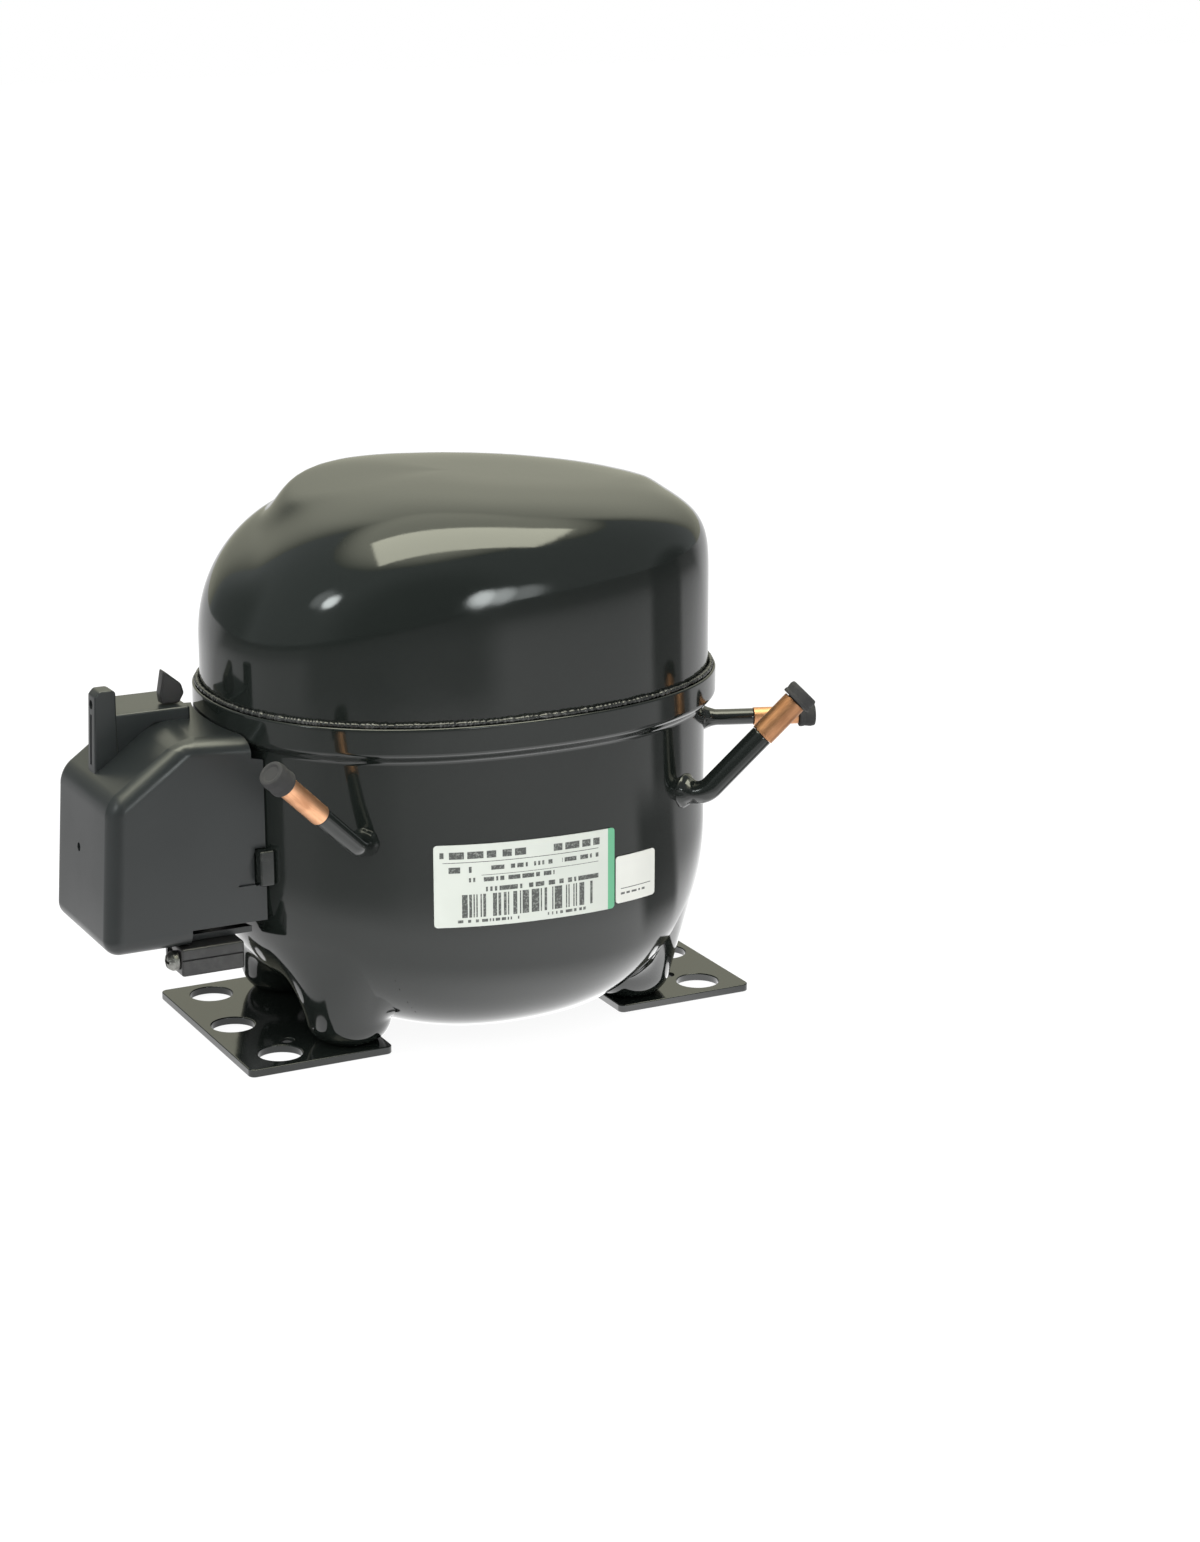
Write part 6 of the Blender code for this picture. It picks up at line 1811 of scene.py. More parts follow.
@dataclass
class TerminalBox:
    """What the cover hides: the fence, the sealed terminal, the relay and the overload protector."""

    shell: Shell
    cover: TerminalCover
    fence_wall: float = 2.0
    fence_out_x: float = -101.0
    fence_drop: float = 10.3
    fence_run: float = 16.0
    ear_out: float = 4.0
    ear_depth: float = 5.6
    terminal_z: float = 84.0
    terminal_r: float = 13.5
    terminal_out: float = 4.0
    pin_r: float = 1.6
    pin_circle: float = 7.0
    pin_out: float = 14.0
    pin_in: float = 10.0
    relay_depth: float = 20.0
    relay_half: float = 19.0
    relay_below: float = 14.0
    relay_above: float = 4.5
    groove_pitch: float = 6.5
    groove_depth: float = 0.8
    overload_r: float = 10.5
    socket_depth: float = 15.0
    gap: float = 0.3

    def build(self) -> None:
        """Build and dress each hidden piece."""
        hand_over(self.fence(), ENAMEL, Body.SHELL, Slot.ENAMEL, "terminal_fence")
        hand_over(self.header(), GLASS_BEAD, Body.SHELL, Slot.GLASS, "hermetic_terminal")
        for name, turn in (("common", 90.0), ("start", 210.0), ("run", 330.0)):
            hand_over(self.pin(f"{name}_blade", turn), STEEL, Body.SHELL, Slot.STEEL, f"{name}_pin")
        hand_over(self.relay(), DARK_PLASTIC, Body.SHELL, Slot.DARK_PLASTIC, "start_relay")
        hand_over(self.overload(), DARK_PLASTIC, Body.SHELL, Slot.DARK_PLASTIC, "overload_protector")
        hand_over(self.earth_screw(), ZINC, Body.SHELL, Slot.ZINC, "earth_screw")

    @property
    def face_x(self) -> float:
        """X of the sealed terminal's outer face."""
        return self.shell.pot_root(180.0)[0] - self.terminal_out

    @property
    def fence_z(self) -> float:
        """Height of the fence's lower edge."""
        return self.cover.bottom_z + self.cover.wall + self.gap + 7.0

    @property
    def half_y(self) -> float:
        """Half the fence's width, inside the cover."""
        return self.cover.half - self.cover.wall - self.gap

    def fence(self) -> Piece:
        """The pressed fence on the pot, with the ears that the cover catches."""
        half = self.half_y
        high_z = self.cover.top_z - self.fence_drop
        inner_x = self.cover.edge_x + self.fence_run
        piece = block("fence", (self.fence_out_x, -half, self.fence_z), (inner_x, half, high_z))
        round_along_x(piece, self.cover.fillet, 8)
        wall = self.fence_wall
        hollow = block("fence_hollow", (self.fence_out_x - 5.0, wall - half, self.fence_z + wall),
                       (inner_x + 5.0, half - wall, high_z - wall))
        round_along_x(hollow, self.cover.fillet - wall, 8)
        combine(piece, hollow, "DIFFERENCE")
        ear_half = self.cover.half + self.ear_out
        ear_x = self.cover.ear_x
        ear_low = self.cover.ear_z - self.cover.ear_height / 2
        ear_high = ear_low + self.cover.ear_height
        ears = block("fence_ears", (ear_x, -ear_half, ear_low),
                     (ear_x + self.ear_depth, ear_half, ear_high), 0.8, 3)
        space = block("ear_space", (ear_x - 5.0, wall / 2 - half, ear_low - 5.0),
                      (ear_x + self.ear_depth + 5.0, half - wall / 2, ear_high + 5.0))
        combine(ears, space, "DIFFERENCE")
        combine(piece, ears, "UNION")
        return settle(piece, (hollow, ears, space))

    def pin_place(self, turn: float) -> Pair:
        """Y and Z of a pin at a turn round the terminal."""
        angle = math.radians(turn)
        return self.pin_circle * math.cos(angle), self.terminal_z + self.pin_circle * math.sin(angle)

    def header(self) -> Piece:
        """The sealed terminal: a rimmed cup with a raised bead of glass round each pin."""
        seat = (self.face_x, 0.0, self.terminal_z)
        profile = fillet(
            [
                (0.0, -1.2), (self.terminal_r - 3.2, -1.2), (self.terminal_r - 2.2, 0.0),
                (self.terminal_r, 0.0), (self.terminal_r, -10.0), (0.0, -10.0),
            ],
            [0.0, 1.0, 0.8, 0.8, 0.5, 0.0],
        )
        piece = piece_from("glass_header", lathe_mesh(profile, seat, (-1, 0, 0), 64), 60.0)
        beads = []
        for turn in (90.0, 210.0, 330.0):
            y, z = self.pin_place(turn)
            bead = fillet([(0.0, 0.6), (self.pin_r + 1.0, 0.4), (self.pin_r + 1.9, -1.0), (0.0, -1.0)],
                          [0.0, 0.8, 0.4, 0.0])
            beads.append(piece_from("bead", lathe_mesh(bead, (self.face_x + 1.2, y, z), (-1, 0, 0), 32)))
        return carve(piece, (), beads, 45.0)

    def pin(self, name: str, turn: float) -> Piece:
        """One terminal pin with rounded ends."""
        y, z = self.pin_place(turn)
        length = self.terminal_out + 6.0 + self.pin_out + self.pin_in
        corners = [(0.0, 0.0), (self.pin_r, 0.0), (self.pin_r, length), (0.0, length)]
        profile = fillet(corners, [0.0, 0.6, 0.6, 0.0])
        start = (self.face_x - self.pin_out, y, z)
        return piece_from(name, lathe_mesh(profile, start, (1, 0, 0), 24), 60.0)

    def socket(self, turn: float) -> Piece:
        """A helper for the socket of the pin at a turn."""
        y, z = self.pin_place(turn)
        back = self.face_x - self.gap
        radius = self.pin_r + self.gap
        return bar("pin_socket", radius, (back - self.socket_depth, y, z), (back + 5.0, y, z), 24)

    def relay(self) -> Piece:
        """The start relay's case, with ribs on its face and sockets for two pins."""
        back = self.face_x - self.gap
        z = self.pin_place(210.0)[1]
        face = back - self.relay_depth
        low, high = z - self.relay_below, z + self.relay_above
        piece = block("relay_case", (face, -self.relay_half, low), (back, self.relay_half, high), 1.2, 3)
        cutters = []
        for index in range(-2, 3):
            y = self.groove_pitch * index
            groove = (face + self.groove_depth, y + 1.0, high - 3.0)
            cutters.append(block("relay_groove", (face - 1.0, y - 1.0, low + 3.0), groove))
        cutters += [self.socket(turn) for turn in (210.0, 330.0)]
        return carve(piece, cutters)

    def overload(self) -> Piece:
        """The round overload protector, with a stepped face and a crimped rim."""
        back = self.face_x - self.gap
        rim = self.overload_r
        relay_top = self.pin_place(210.0)[1] + self.relay_above
        centre = (back, self.pin_place(90.0)[0], relay_top + 2 * self.gap + rim)
        profile = fillet(
            [
                (0.0, 15.2), (6.0, 15.2), (6.4, 16.0), (rim - 1.3, 16.0), (rim, 14.0), (rim, 5.0),
                (rim - 0.4, 4.6), (rim - 0.4, 3.4), (rim, 3.0), (rim, 0.0), (0.0, 0.0),
            ],
            [0.0, 0.3, 0.3, 0.8, 0.8, 0.2, 0.2, 0.2, 0.2, 0.4, 0.0],
        )
        piece = piece_from("overload_can", lathe_mesh(profile, centre, (-1, 0, 0), 64))
        return carve(piece, (self.socket(90.0),), sharp=40.0)

    def earth_screw(self) -> Piece:
        """The earth screw under the fence."""
        seat = ((self.fence_out_x + self.cover.edge_x) / 2 - 1.0, -self.half_y + 8.0, self.fence_z - self.gap)
        return screw_piece("earth_screw_head", seat, (0, 0, -1), 3.8, 3.0, 1.0, 0.0)


@dataclass
class Labels:
    """The two labels on the pot's front wall."""

    shell: Shell
    label_x: float = -39.5
    label_z: float = 52.7
    sticker_x: float = 30.2
    sticker_z: float = 54.0
    thick: float = 0.3
    skin_gap: float = 0.25
    tilt: float = 1.7
    corner: float = 1.3
    corner_steps: int = 6
    pitch: float = 1.5

    def build(self) -> None:
        """Build and dress both labels."""
        rating = self.sheet("rating_sheet", self.label_x, self.label_z, RATING_FILM)
        hand_over(rating, RATING_FILM, Body.SHELL, Slot.PAPER, "rating_label")
        sticker = self.sheet("inspection_sheet", self.sticker_x, self.sticker_z, STICKER_FILM)
        hand_over(sticker, STICKER_FILM, Body.SHELL, Slot.PAPER, "inspection_sticker")

    def rounded(self, u: float, v: float, length: float, height: float) -> Pair:
        """Place on a sheet with rounded corners for a place on a plain rectangle."""
        from_end = min(u, length - u)
        from_edge = min(v, height - v)
        if from_end >= self.corner or from_edge >= self.corner:
            return u, v
        a = 1.0 - from_end / self.corner
        b = 1.0 - from_edge / self.corner
        a, b = a * math.sqrt(1.0 - b * b / 2.0), b * math.sqrt(1.0 - a * a / 2.0)
        end = self.corner * (1.0 - a)
        edge = self.corner * (1.0 - b)
        return (end if u < length / 2 else length - end), (edge if v < height / 2 else height - edge)

    def stops(self, length: float) -> list[float]:
        """Places along a side, close together at its ends."""
        ends = [self.corner * step / self.corner_steps for step in range(self.corner_steps)]
        straight = length - 2 * self.corner
        count = math.ceil(straight / self.pitch)
        middle = [self.corner + straight * step / count for step in range(count + 1)]
        return ends + middle + [length - end for end in reversed(ends)]

    def sheet(self, name: str, x: float, z: float, film: LabelFilm) -> Piece:
        """A thin film that lies on the pot, with a map over its face."""
        length, height = film.length, film.height
        bm = bmesh.new()
        uv = bm.loops.layers.uv.new(SHEET_MAP)
        grid = []
        shares = {}
        for v in self.stops(height):
            line = []
            for u in self.stops(length):
                place_u, place_v = self.rounded(u, v, length, height)
                place_x = x + place_u
                place_z = z + place_v + self.tilt * (0.5 - (place_x - self.label_x) / RATING_FILM.length)
                y = self.shell.pot_front_y(place_x, place_z) - self.skin_gap
                vert = bm.verts.new(at(place_x, y, place_z))
                shares[vert] = (place_u / length, place_v / height)
                line.append(vert)
            grid.append(line)
        for lower, upper in zip(grid, grid[1:]):
            for index in range(len(lower) - 1):
                face = bm.faces.new((lower[index], lower[index + 1], upper[index + 1], upper[index]))
                for corner in face.loops:
                    corner[uv].uv = shares[corner.vert]
        mesh = bpy.data.meshes.new(name)
        bm.to_mesh(mesh)
        bm.free()
        mesh.shade_smooth()
        piece = new_piece(name, mesh)
        solid = piece.modifiers.new("Film", "SOLIDIFY")
        solid.thickness = self.thick * MM
        solid.offset = 1.0
        return settle(piece, sharp=60.0)


@dataclass
class Inside:
    """The pump and motor in the sealed shell: dressed CAD nodes, and the springs, end turns and discharge
    loop.
    """

    shell: Shell
    nodes: dict[str, Piece]
    axis_x: float = -6.0
    bolt_pitch: float = 76.0
    rail_top: float = 23.1
    spring_length: float = 20.0
    spring_r: float = 6.2
    wire_r: float = 1.1
    spring_turns: int = 5
    stator_z: float = 52.0
    stator_top: float = 100.0
    winding_inner: float = 31.5
    winding_outer: float = 44.0
    overhang: float = 11.0
    gap: float = 0.3
    loop_r: float = 2.4
    loop_azimuth: float = -24.0
    loop_z: float = 105.0
    loop_start: float = 7.0
    outlet_y: float = 10.0
    wire: float = 1.05
    lacings: int = 12
    slots: int = 8
    slot_circle: float = 37.0
    finishes: dict[Finish, str] = field(default_factory=lambda: {
        ENAMEL: "left_spring_rail right_spring_rail",
        IRON: "cylinder_block cylinder_head",
        STEEL: "crankshaft yoke piston valve_plate suction_reed discharge_reed reed_stop "
               "front_left_stator_bolt rear_left_stator_bolt front_right_stator_bolt rear_right_stator_bolt",
        LAMINATION: "rotor stator_core",
        BRASS: "slide_block oil_jet oil_pickup",
        NATURAL_NYLON: "suction_muffler",
    })

    def build(self) -> None:
        """Dress the CAD nodes, then build the springs, the end turns and the discharge loop."""
        for finish, names in self.finishes.items():
            for name in names.split():
                dress(self.nodes[name], finish)
        half = self.bolt_pitch / 2
        for end, x in (("left", self.axis_x - half), ("right", self.axis_x + half)):
            for face, y in (("front", -half), ("rear", half)):
                self.spring(f"{face}_{end}", x, y)
        hand_over(self.end_turns(), WIRE, Body.PUMP, Slot.WIRE, "stator_winding")
        self.loop()

    def stretch(self, piece: Piece, node: str, start: Vector, end: Vector) -> None:
        """Dress a piece of steel that runs between the shell and the pump, bake its place into its mesh and
        hide its CAD node.

        Args:
            piece: the piece, in place.
            node: CAD node that it stands for.
            start: row-frame point at its shell end; not used.
            end: row-frame point at its pump end; not used.
        """
        dress(piece, STEEL)
        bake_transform(piece)
        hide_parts(node)
        LOG.info("%s stretches between shell and pump", piece.name)

    def spring(self, name: str, x: float, y: float) -> None:
        """One suspension spring, closed at both ends."""
        per_turn = 40
        count = self.spring_turns * per_turn
        low = self.rail_top + self.gap + self.wire_r
        rise = self.spring_length - 2 * self.wire_r
        route = []
        for step in range(count + 1):
            out = heading(360.0 * step / per_turn) * self.spring_r
            route.append(Vector((x, y, low + rise * step / count)) + out)
        rings, marks = swept_rings(route, [self.wire_r] * len(route), 14)
        bm = loft_mesh(rings, metres(route[0]), metres(route[-1]), marks=marks)
        piece = piece_from(f"{name}_coil", bm, 60.0)
        start = at(x, y, low)
        end = at(x, y, low + rise)
        self.stretch(piece, f"{name}_spring", start, end)

    def end_turns(self) -> Piece:
        """Bundles of varnished wire above and below the core, bars in its slots and lacing over them."""
        bm = bmesh.new()
        wire = self.wire
        pitch = 2 * wire
        for low in (self.stator_z - self.gap - self.overhang, self.stator_top + self.gap):
            rows = int(self.overhang // pitch)
            for row in range(rows):
                count = int((self.winding_outer - self.winding_inner) // pitch) - row % 2
                for layer in range(count):
                    radius = self.winding_inner + wire * (1 + row % 2) + pitch * layer
                    self.wire_ring(bm, radius, low + wire + pitch * row)
            for turn in turns(self.lacings):
                self.lacing(bm, turn, low)
        for turn in turns(self.slots):
            self.slot_bundle(bm, turn + math.pi / self.slots)
        return piece_from("end_turns", bm, 60.0)

    def add_rings(self, bm: Faces, route: Sequence[Vector], radius: float, sides: int, closed: bool) -> None:
        """Add a round bar along a route to a mesh under way."""
        rings, marks = swept_rings(route, [radius] * len(route), sides)
        poles = (None, None) if closed else (metres(route[0]), metres(route[-1]))
        part = loft_mesh(rings, *poles, loop=closed, marks=marks)
        mesh = bpy.data.meshes.new("bar")
        part.to_mesh(mesh)
        part.free()
        bm.from_mesh(mesh)
        bpy.data.meshes.remove(mesh)

    def wire_ring(self, bm: Faces, radius: float, z: float) -> None:
        """One ring of wire, slightly wavy."""
        route = []
        for turn in turns(72):
            place = Vector((math.cos(turn), math.sin(turn), 0.0))
            sway = 0.12 * noise.noise((place.x * 3 + radius, place.y * 3, z))
            route.append(Vector((self.axis_x, 0.0, z + sway * 0.5)) + place * (radius + sway))
        self.add_rings(bm, route, self.wire * 0.97, 6, True)

    def lacing(self, bm: Faces, turn: float, low: float) -> None:
        """One loop of lacing cord round a bundle."""
        out = Vector((math.cos(turn), math.sin(turn), 0.0))
        half = (self.winding_outer - self.winding_inner) / 2 - 0.4
        middle = self.winding_inner + half + 0.4
        route = []
        for angle in turns(28):
            reach = middle + half * signed_power(math.cos(angle), 0.5)
            z = low + self.overhang / 2 + (self.overhang / 2 - 0.5) * signed_power(math.sin(angle), 0.5)
            route.append(Vector((self.axis_x, 0.0, z)) + out * reach)
        self.add_rings(bm, route, 0.45, 6, True)

    def slot_bundle(self, bm: Faces, turn: float) -> None:
        """Seven wires that run through one slot of the core."""
        circle = self.slot_circle
        centre = Vector((self.axis_x + circle * math.cos(turn), circle * math.sin(turn), 0.0))
        rise = Vector((0, 0, self.stator_top - self.stator_z + 8.0))
        places = [Vector((0, 0, 0))] + [heading(60.0 * step) * 2.3 for step in range(6)]
        for place in places:
            low = centre + place + Vector((0, 0, self.stator_z - 4.0))
            self.add_rings(bm, refine([low, low + rise], 14.0), 1.1, 8, False)

    def loop(self) -> None:
        """The springy tube from the head's underside to the discharge tube."""
        head_low, head_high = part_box("cylinder_head")
        inward = -heading(self.loop_azimuth)
        root_x, root_y = self.shell.pot_root(self.loop_azimuth)
        start = Vector((root_x, root_y, self.loop_z)) + inward * (self.loop_start + self.gap)
        head_x = ((head_low.x + head_high.x) / 2 - SHIFT.x) / MM
        head_z = head_low.z / MM
        outlet = Vector((head_x, self.outlet_y, head_z - self.gap))
        places = [
            start + inward * 3.0, start + inward * 8.0, (head_x - 1.0, -8.0, start.z + 2.0),
            (head_x, outlet.y - 1.0, (start.z + head_z) / 2), (head_x, outlet.y, outlet.z - 3.0),
        ]
        route = refine([start, *smooth_route(places), outlet], 2.0)
        rings, marks = swept_rings(route, [self.loop_r] * len(route), 24)
        bm = loft_mesh(rings, metres(start), metres(outlet), marks=marks)
        piece = piece_from("discharge_hairpin", bm, 60.0)
        self.stretch(piece, "discharge_loop", metres(start), metres(outlet))


@dataclass
class Studio:
    """Camera, pale floor and soft lights."""

    camera_at: tuple[float, float, float] = (-485.4, -1074.7, 425.5)
    yaw: float = 26.96
    pitch: float = 15.99
    lens: float = 77.05
    floor_size: float = 9.0
    floor_share: float = 0.8
    floor_white: float = 1.15
    by_object: Pair = (2.9, 1.4)
    near_white: float = 1.5
    near_dim: float = 0.4
    far_dim: float = 0.16
    room: float = 0.4
    fill: float = 0.5
    warm: Colour = (1.0, 1.0, 0.80)
    cool: Colour = (0.94, 1.0, 0.99)
    lamp_aim: tuple[float, float, float] = (0.0, 0.0, 0.1)

    def build(self) -> None:
        """Set up the camera, the floor, the world and the lamps."""
        self.camera()
        self.floor()
        self.world()
        self.lamps()
        bpy.context.scene.view_settings.view_transform = "Standard"

    def camera(self) -> None:
        """Camera at the photograph's viewing angle."""
        data = bpy.data.cameras.new("camera")
        data.lens = self.lens
        data.sensor_width = 36.0
        data.sensor_fit = "AUTO"
        data.clip_start = 0.05
        data.clip_end = 60.0
        camera = bpy.data.objects.new("camera", data)
        camera.location = at(*self.camera_at)
        camera.rotation_euler = (math.radians(90.0 - self.pitch), 0.0, math.radians(-self.yaw))
        bpy.context.scene.collection.objects.link(camera)
        bpy.context.scene.camera = camera

    def seen(self, graph: Graph) -> Socket:
        """1 for rays that show the background: camera, glossy and transmission rays."""
        path = graph.add("ShaderNodeLightPath")
        seen = graph.most(path.outputs["Is Camera Ray"], path.outputs["Is Glossy Ray"])
        return graph.most(seen, path.outputs["Is Transmission Ray"])

    @property
    def forward(self) -> Vector:
        """Level way that the camera looks."""
        return heading(90.0 - self.yaw)

    @property
    def leftward(self) -> Vector:
        """Level way to the camera's left."""
        return heading(180.0 - self.yaw)

    def floor_mirror(self, graph: Graph) -> Socket:
        """How bright gloss shows the floor: white by the object and behind it, dim out in the room."""
        place = graph.add("ShaderNodeNewGeometry").outputs["Position"]
        left = graph.dot(place, tuple(self.leftward))
        reach = graph.add("ShaderNodeVectorMath", {0: place}, operation="LENGTH").outputs["Value"]
        reach = graph.most(reach, 0.01)
        near = graph.minus(graph.span(left, -0.1, 0.1, *self.by_object), self.near_white)
        near = graph.times(near, graph.span(reach, 0.085, 0.13, 1.0, 0.0))
        disc = graph.plus(near, self.near_white)
        disc = graph.times(disc, graph.span(reach, 0.17, 0.3, 1.0, self.near_dim))
        disc = graph.times(disc, graph.span(reach, 0.58, 1.25, 1.0, self.far_dim))
        disc = graph.times(disc, graph.span(left, -0.35, 0.2, 1.75, 0.85))
        disc = self.shaded_floor(graph, place, reach, disc)
        behind = graph.most(self.facing(graph, place, reach, 14.0, 53.0, 30.0),
                            self.facing(graph, place, reach, -6.0, 50.0, 28.0))
        return graph.most(disc, behind)

    def shaded_floor(self, graph: Graph, place: Socket, reach: Socket, disc: Socket) -> Socket:
        """The floor's brightness with dark fans, each between two distances from the object."""
        for azimuth, outer, inner, start, end, dark in (
            (-77.0, 13.0, 8.0, 0.38, 4.0, 0.88), (-86.0, 14.0, 8.0, 0.16, 0.38, 0.85),
            (174.0, 48.0, 34.0, 0.57, 4.0, 0.75), (157.0, 25.0, 10.0, 0.23, 4.0, 0.22),
        ):
            shade = graph.times(graph.span(reach, start - 0.04, start + 0.04, 0.0, dark),
                               graph.span(reach, end - 0.04, end + 0.04, 1.0, 0.0))
            shade = graph.times(shade, self.facing(graph, place, reach, azimuth, outer, inner))
            disc = graph.times(disc, graph.minus(1.0, shade))
        return disc

    def facing(self, graph: Graph, place: object, reach: object, azimuth: float, outer: float,
               inner: float) -> Socket:
        """1 for floor within an inner angle of an azimuth, 0 outside the outer angle."""
        facing = graph.over(graph.dot(place, self.toward(azimuth, 0.0)), reach)
        return graph.span(facing, math.cos(math.radians(outer)), math.cos(math.radians(inner)))

    def floor(self) -> None:
        """A plain white floor that keeps a faint shadow."""
        bm = bmesh.new()
        bmesh.ops.create_grid(bm, x_segments=1, y_segments=1, size=self.floor_size / 2)
        piece = piece_from("floor", bm)
        piece.location.z = -0.0003
        material = bpy.data.materials.new("pale_floor")
        material.use_nodes = True
        tree = material.node_tree
        tree.nodes.clear()
        graph = Graph(tree)
        glossy = graph.add("ShaderNodeLightPath").outputs["Is Glossy Ray"]
        mirror = self.floor_mirror(graph)
        gap = graph.times(glossy, graph.minus(mirror, self.floor_white))
        strength = graph.plus(gap, self.floor_white)
        paper = graph.add("ShaderNodeBsdfDiffuse", {"Color": rgba((0.86, 0.86, 0.86))}).outputs[0]
        white = graph.add("ShaderNodeEmission", {"Strength": strength}).outputs[0]
        share = graph.times(self.seen(graph), self.floor_share)
        mixed = graph.add("ShaderNodeMixShader", {0: share, 1: paper, 2: white}).outputs[0]
        graph.add("ShaderNodeOutputMaterial", {"Surface": mixed})
        piece.data.materials.append(material)

    def toward(self, azimuth: float, elevation: float) -> tuple[float, float, float]:
        """Unit vector at an azimuth to the left of the camera's view and an elevation."""
        return tuple(heading(90.0 - self.yaw + azimuth, elevation))

    def glow(self, graph: Graph, way: object, azimuth: float, elevation: float, inner: float,
             outer: float) -> Socket:
        """1 within an inner angle of a direction, 0 outside the outer angle."""
        facing = graph.dot(way, self.toward(azimuth, elevation))
        return graph.span(facing, math.cos(math.radians(outer)), math.cos(math.radians(inner)))

    def mirrored_room(self, graph: Graph, way: Socket) -> Socket:
        """Colour that gloss sees: backdrop, ceiling, softbox, two windows and dim corners.

        Args:
            graph: nodes of the world.
            way: direction looked in.

        Returns:
            Colour and brightness in that direction.
        """
        up = graph.add("ShaderNodeSeparateXYZ", {0: way}).outputs[2]
        ahead = graph.dot(way, tuple(self.forward))
        left = graph.dot(way, tuple(self.leftward))
        level = graph.math("SQRT", graph.minus(1.0, graph.times(up, up)))
        facing = graph.over(ahead, graph.most(level, 0.01))
        backdrop = graph.times(graph.span(facing, 0.6, 0.86), graph.span(up, 0.9, 1.0, 1.0, 0.0))
        rise = graph.span(up, 0.1, 0.85, 0.6, 1.75)
        ceiling = graph.times(graph.span(up, 0.72, 0.9), 2.4)
        box = self.softbox(graph, up, ahead, left)
        warm = graph.most(graph.most(graph.times(backdrop, rise), ceiling), box)
        dim = self.cool_room(graph, way)
        tint = graph.mix(graph.math("GREATER_THAN", warm, dim), rgba(self.cool), rgba(self.warm))
        scale = {0: tint, "Scale": graph.most(warm, dim)}
        return graph.add("ShaderNodeVectorMath", scale, operation="SCALE").outputs[0]

    def softbox(self, graph: Graph, up: Socket, ahead: Socket, left: Socket) -> Socket:
        """Brightness of the slanted softbox overhead."""
        above = graph.most(up, 0.05)
        run = graph.over(ahead, above)
        cross = graph.over(left, above)
        skewed = graph.plus(run, graph.times(cross, 0.1))
        box = graph.times(graph.span(skewed, -0.54, -0.48), graph.span(skewed, 0.1, 0.16, 1.0, 0.0))
        slanted = graph.minus(cross, graph.times(run, 0.35))
        box = graph.times(box, graph.span(slanted, -0.7, -0.64))
        box = graph.times(box, graph.span(cross, 0.46, 0.51, 1.0, 0.0))
        return graph.times(box, graph.span(up, 0.3, 0.4, 0.0, 8.5))

    def cool_room(self, graph: Graph, way: Socket) -> Socket:
        """Brightness of the rest of the room: dim, with darker corners and two windows."""
        dim = self.room
        for azimuth, elevation, inner, outer, dark in (
            (180.0, 2.0, 15.0, 48.0, 0.6), (-70.0, -8.0, 6.0, 20.0, 0.7), (62.0, 4.0, 6.0, 24.0, 0.6),
        ):
            shade = self.glow(graph, way, azimuth, elevation, inner, outer)
            dim = graph.times(dim, graph.minus(1.0, graph.times(shade, dark)))
        for azimuth, elevation, inner, outer, bright in (
            (130.0, 26.0, 2.5, 6.0, 15.0), (122.0, 28.5, 1.0, 9.0, 2.2),
            (-149.0, 4.0, 1.5, 7.0, 12.0), (-142.0, 2.8, 1.0, 7.0, 7.0), (-134.0, 1.5, 1.0, 7.0, 3.0),
        ):
            glow = graph.times(self.glow(graph, way, azimuth, elevation, inner, outer), bright)
            dim = graph.most(dim, glow)
        return dim

    def world(self) -> None:
        """White to the camera, a plain fill for diffuse light, and the mirrored room for gloss."""
        world = bpy.data.worlds.new("studio")
        bpy.context.scene.world = world
        world.use_nodes = True
        tree = world.node_tree
        tree.nodes.clear()
        graph = Graph(tree)
        way = graph.add("ShaderNodeTexCoord").outputs["Generated"]
        path = graph.add("ShaderNodeLightPath")
        straight = graph.most(path.outputs["Is Camera Ray"], path.outputs["Is Transmission Ray"])
        plain = graph.mix(straight, rgba((self.fill,) * 3), rgba((1.0, 1.0, 1.0)))
        shown = graph.mix(path.outputs["Is Glossy Ray"], plain, self.mirrored_room(graph, way))
        background = graph.add("ShaderNodeBackground", {"Color": shown, "Strength": 1.0}).outputs[0]
        graph.add("ShaderNodeOutputWorld", {"Surface": background})

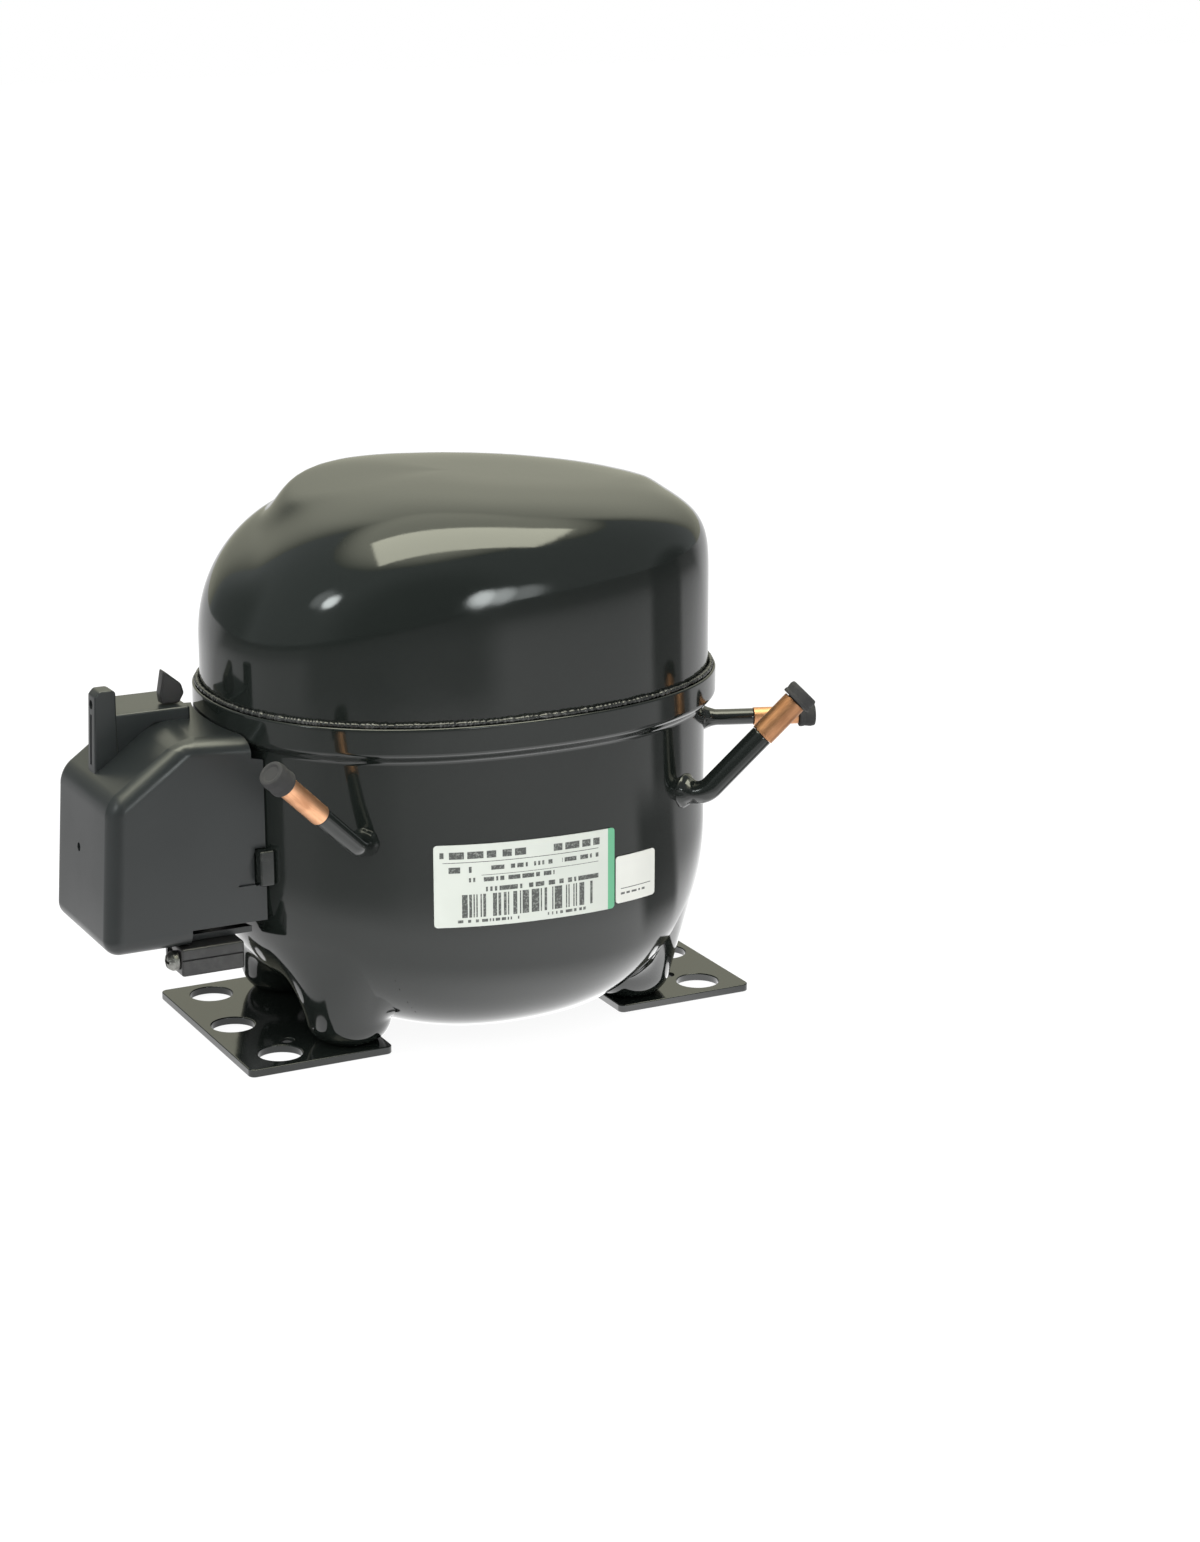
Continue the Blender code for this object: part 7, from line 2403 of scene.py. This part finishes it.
    def lamps(self) -> None:
        """The soft lamps round the object, hidden from the camera and from gloss."""
        for name, where, size, power in (
            ("top_softbox", (-0.1, -0.25, 1.3), 1.0, 10.0),
            ("front_fill", (-0.7, -1.5, 1.0), 1.2, 16.0),
            ("left_fill", (-1.6, 0.2, 0.9), 1.2, 16.0),
        ):
            data = bpy.data.lights.new(name, "AREA")
            data.shape = "RECTANGLE"
            data.size = size
            data.size_y = size
            data.energy = power
            lamp = bpy.data.objects.new(name, data)
            lamp.location = where
            lamp.rotation_euler = (Vector(self.lamp_aim) - Vector(where)).to_track_quat("-Z", "Y").to_euler()
            lamp.visible_camera = False
            lamp.visible_glossy = False
            bpy.context.scene.collection.objects.link(lamp)


TUBES = (
    dict(name="suction", plug_body=Body.SUCTION_PLUG, root_azimuth=-54.0, root_z=86.5, radius=4.2,
         copper_radius=4.5, lead=0.3, bend_radius=7.0, azimuth=-15.0, rise=44.5, black=29.5, copper=17.0,
         cap_radius=5.9, cap_length=5.0),
    dict(name="discharge", plug_body=Body.DISCHARGE_PLUG, root_azimuth=-24.0, root_z=105.0, radius=3.0,
         copper_radius=3.3, lead=3.0, bend_radius=40.0, azimuth=-20.0, rise=0.0, black=10.0, copper=17.0,
         cap_radius=4.4, cap_length=6.0),
    dict(name="process", plug_body=Body.PROCESS_PLUG, root_azimuth=-124.0, root_z=85.0, radius=3.4,
         copper_radius=3.8, lead=0.5, bend_radius=7.0, azimuth=-160.0, rise=42.0, black=24.0, copper=21.0,
         cap_radius=5.0, cap_length=8.0, metal=COPPER),
)


def main() -> None:
    """Build every sub-assembly round the frame, then the studio."""
    logging.basicConfig(level=logging.INFO, format="%(message)s")
    shell = Shell()
    shell.build()
    Feet(shell).build()
    for sizes in TUBES:
        TubeStub(shell, **sizes).build()
    cover = TerminalCover(shell)
    cover.build()
    TerminalBox(shell, cover).build()
    Labels(shell).build()
    Inside(shell, FRAME["nodes"]).build()
    Studio().build()
    bpy.context.view_layer.update()


if __name__ == "__main__":
    main()
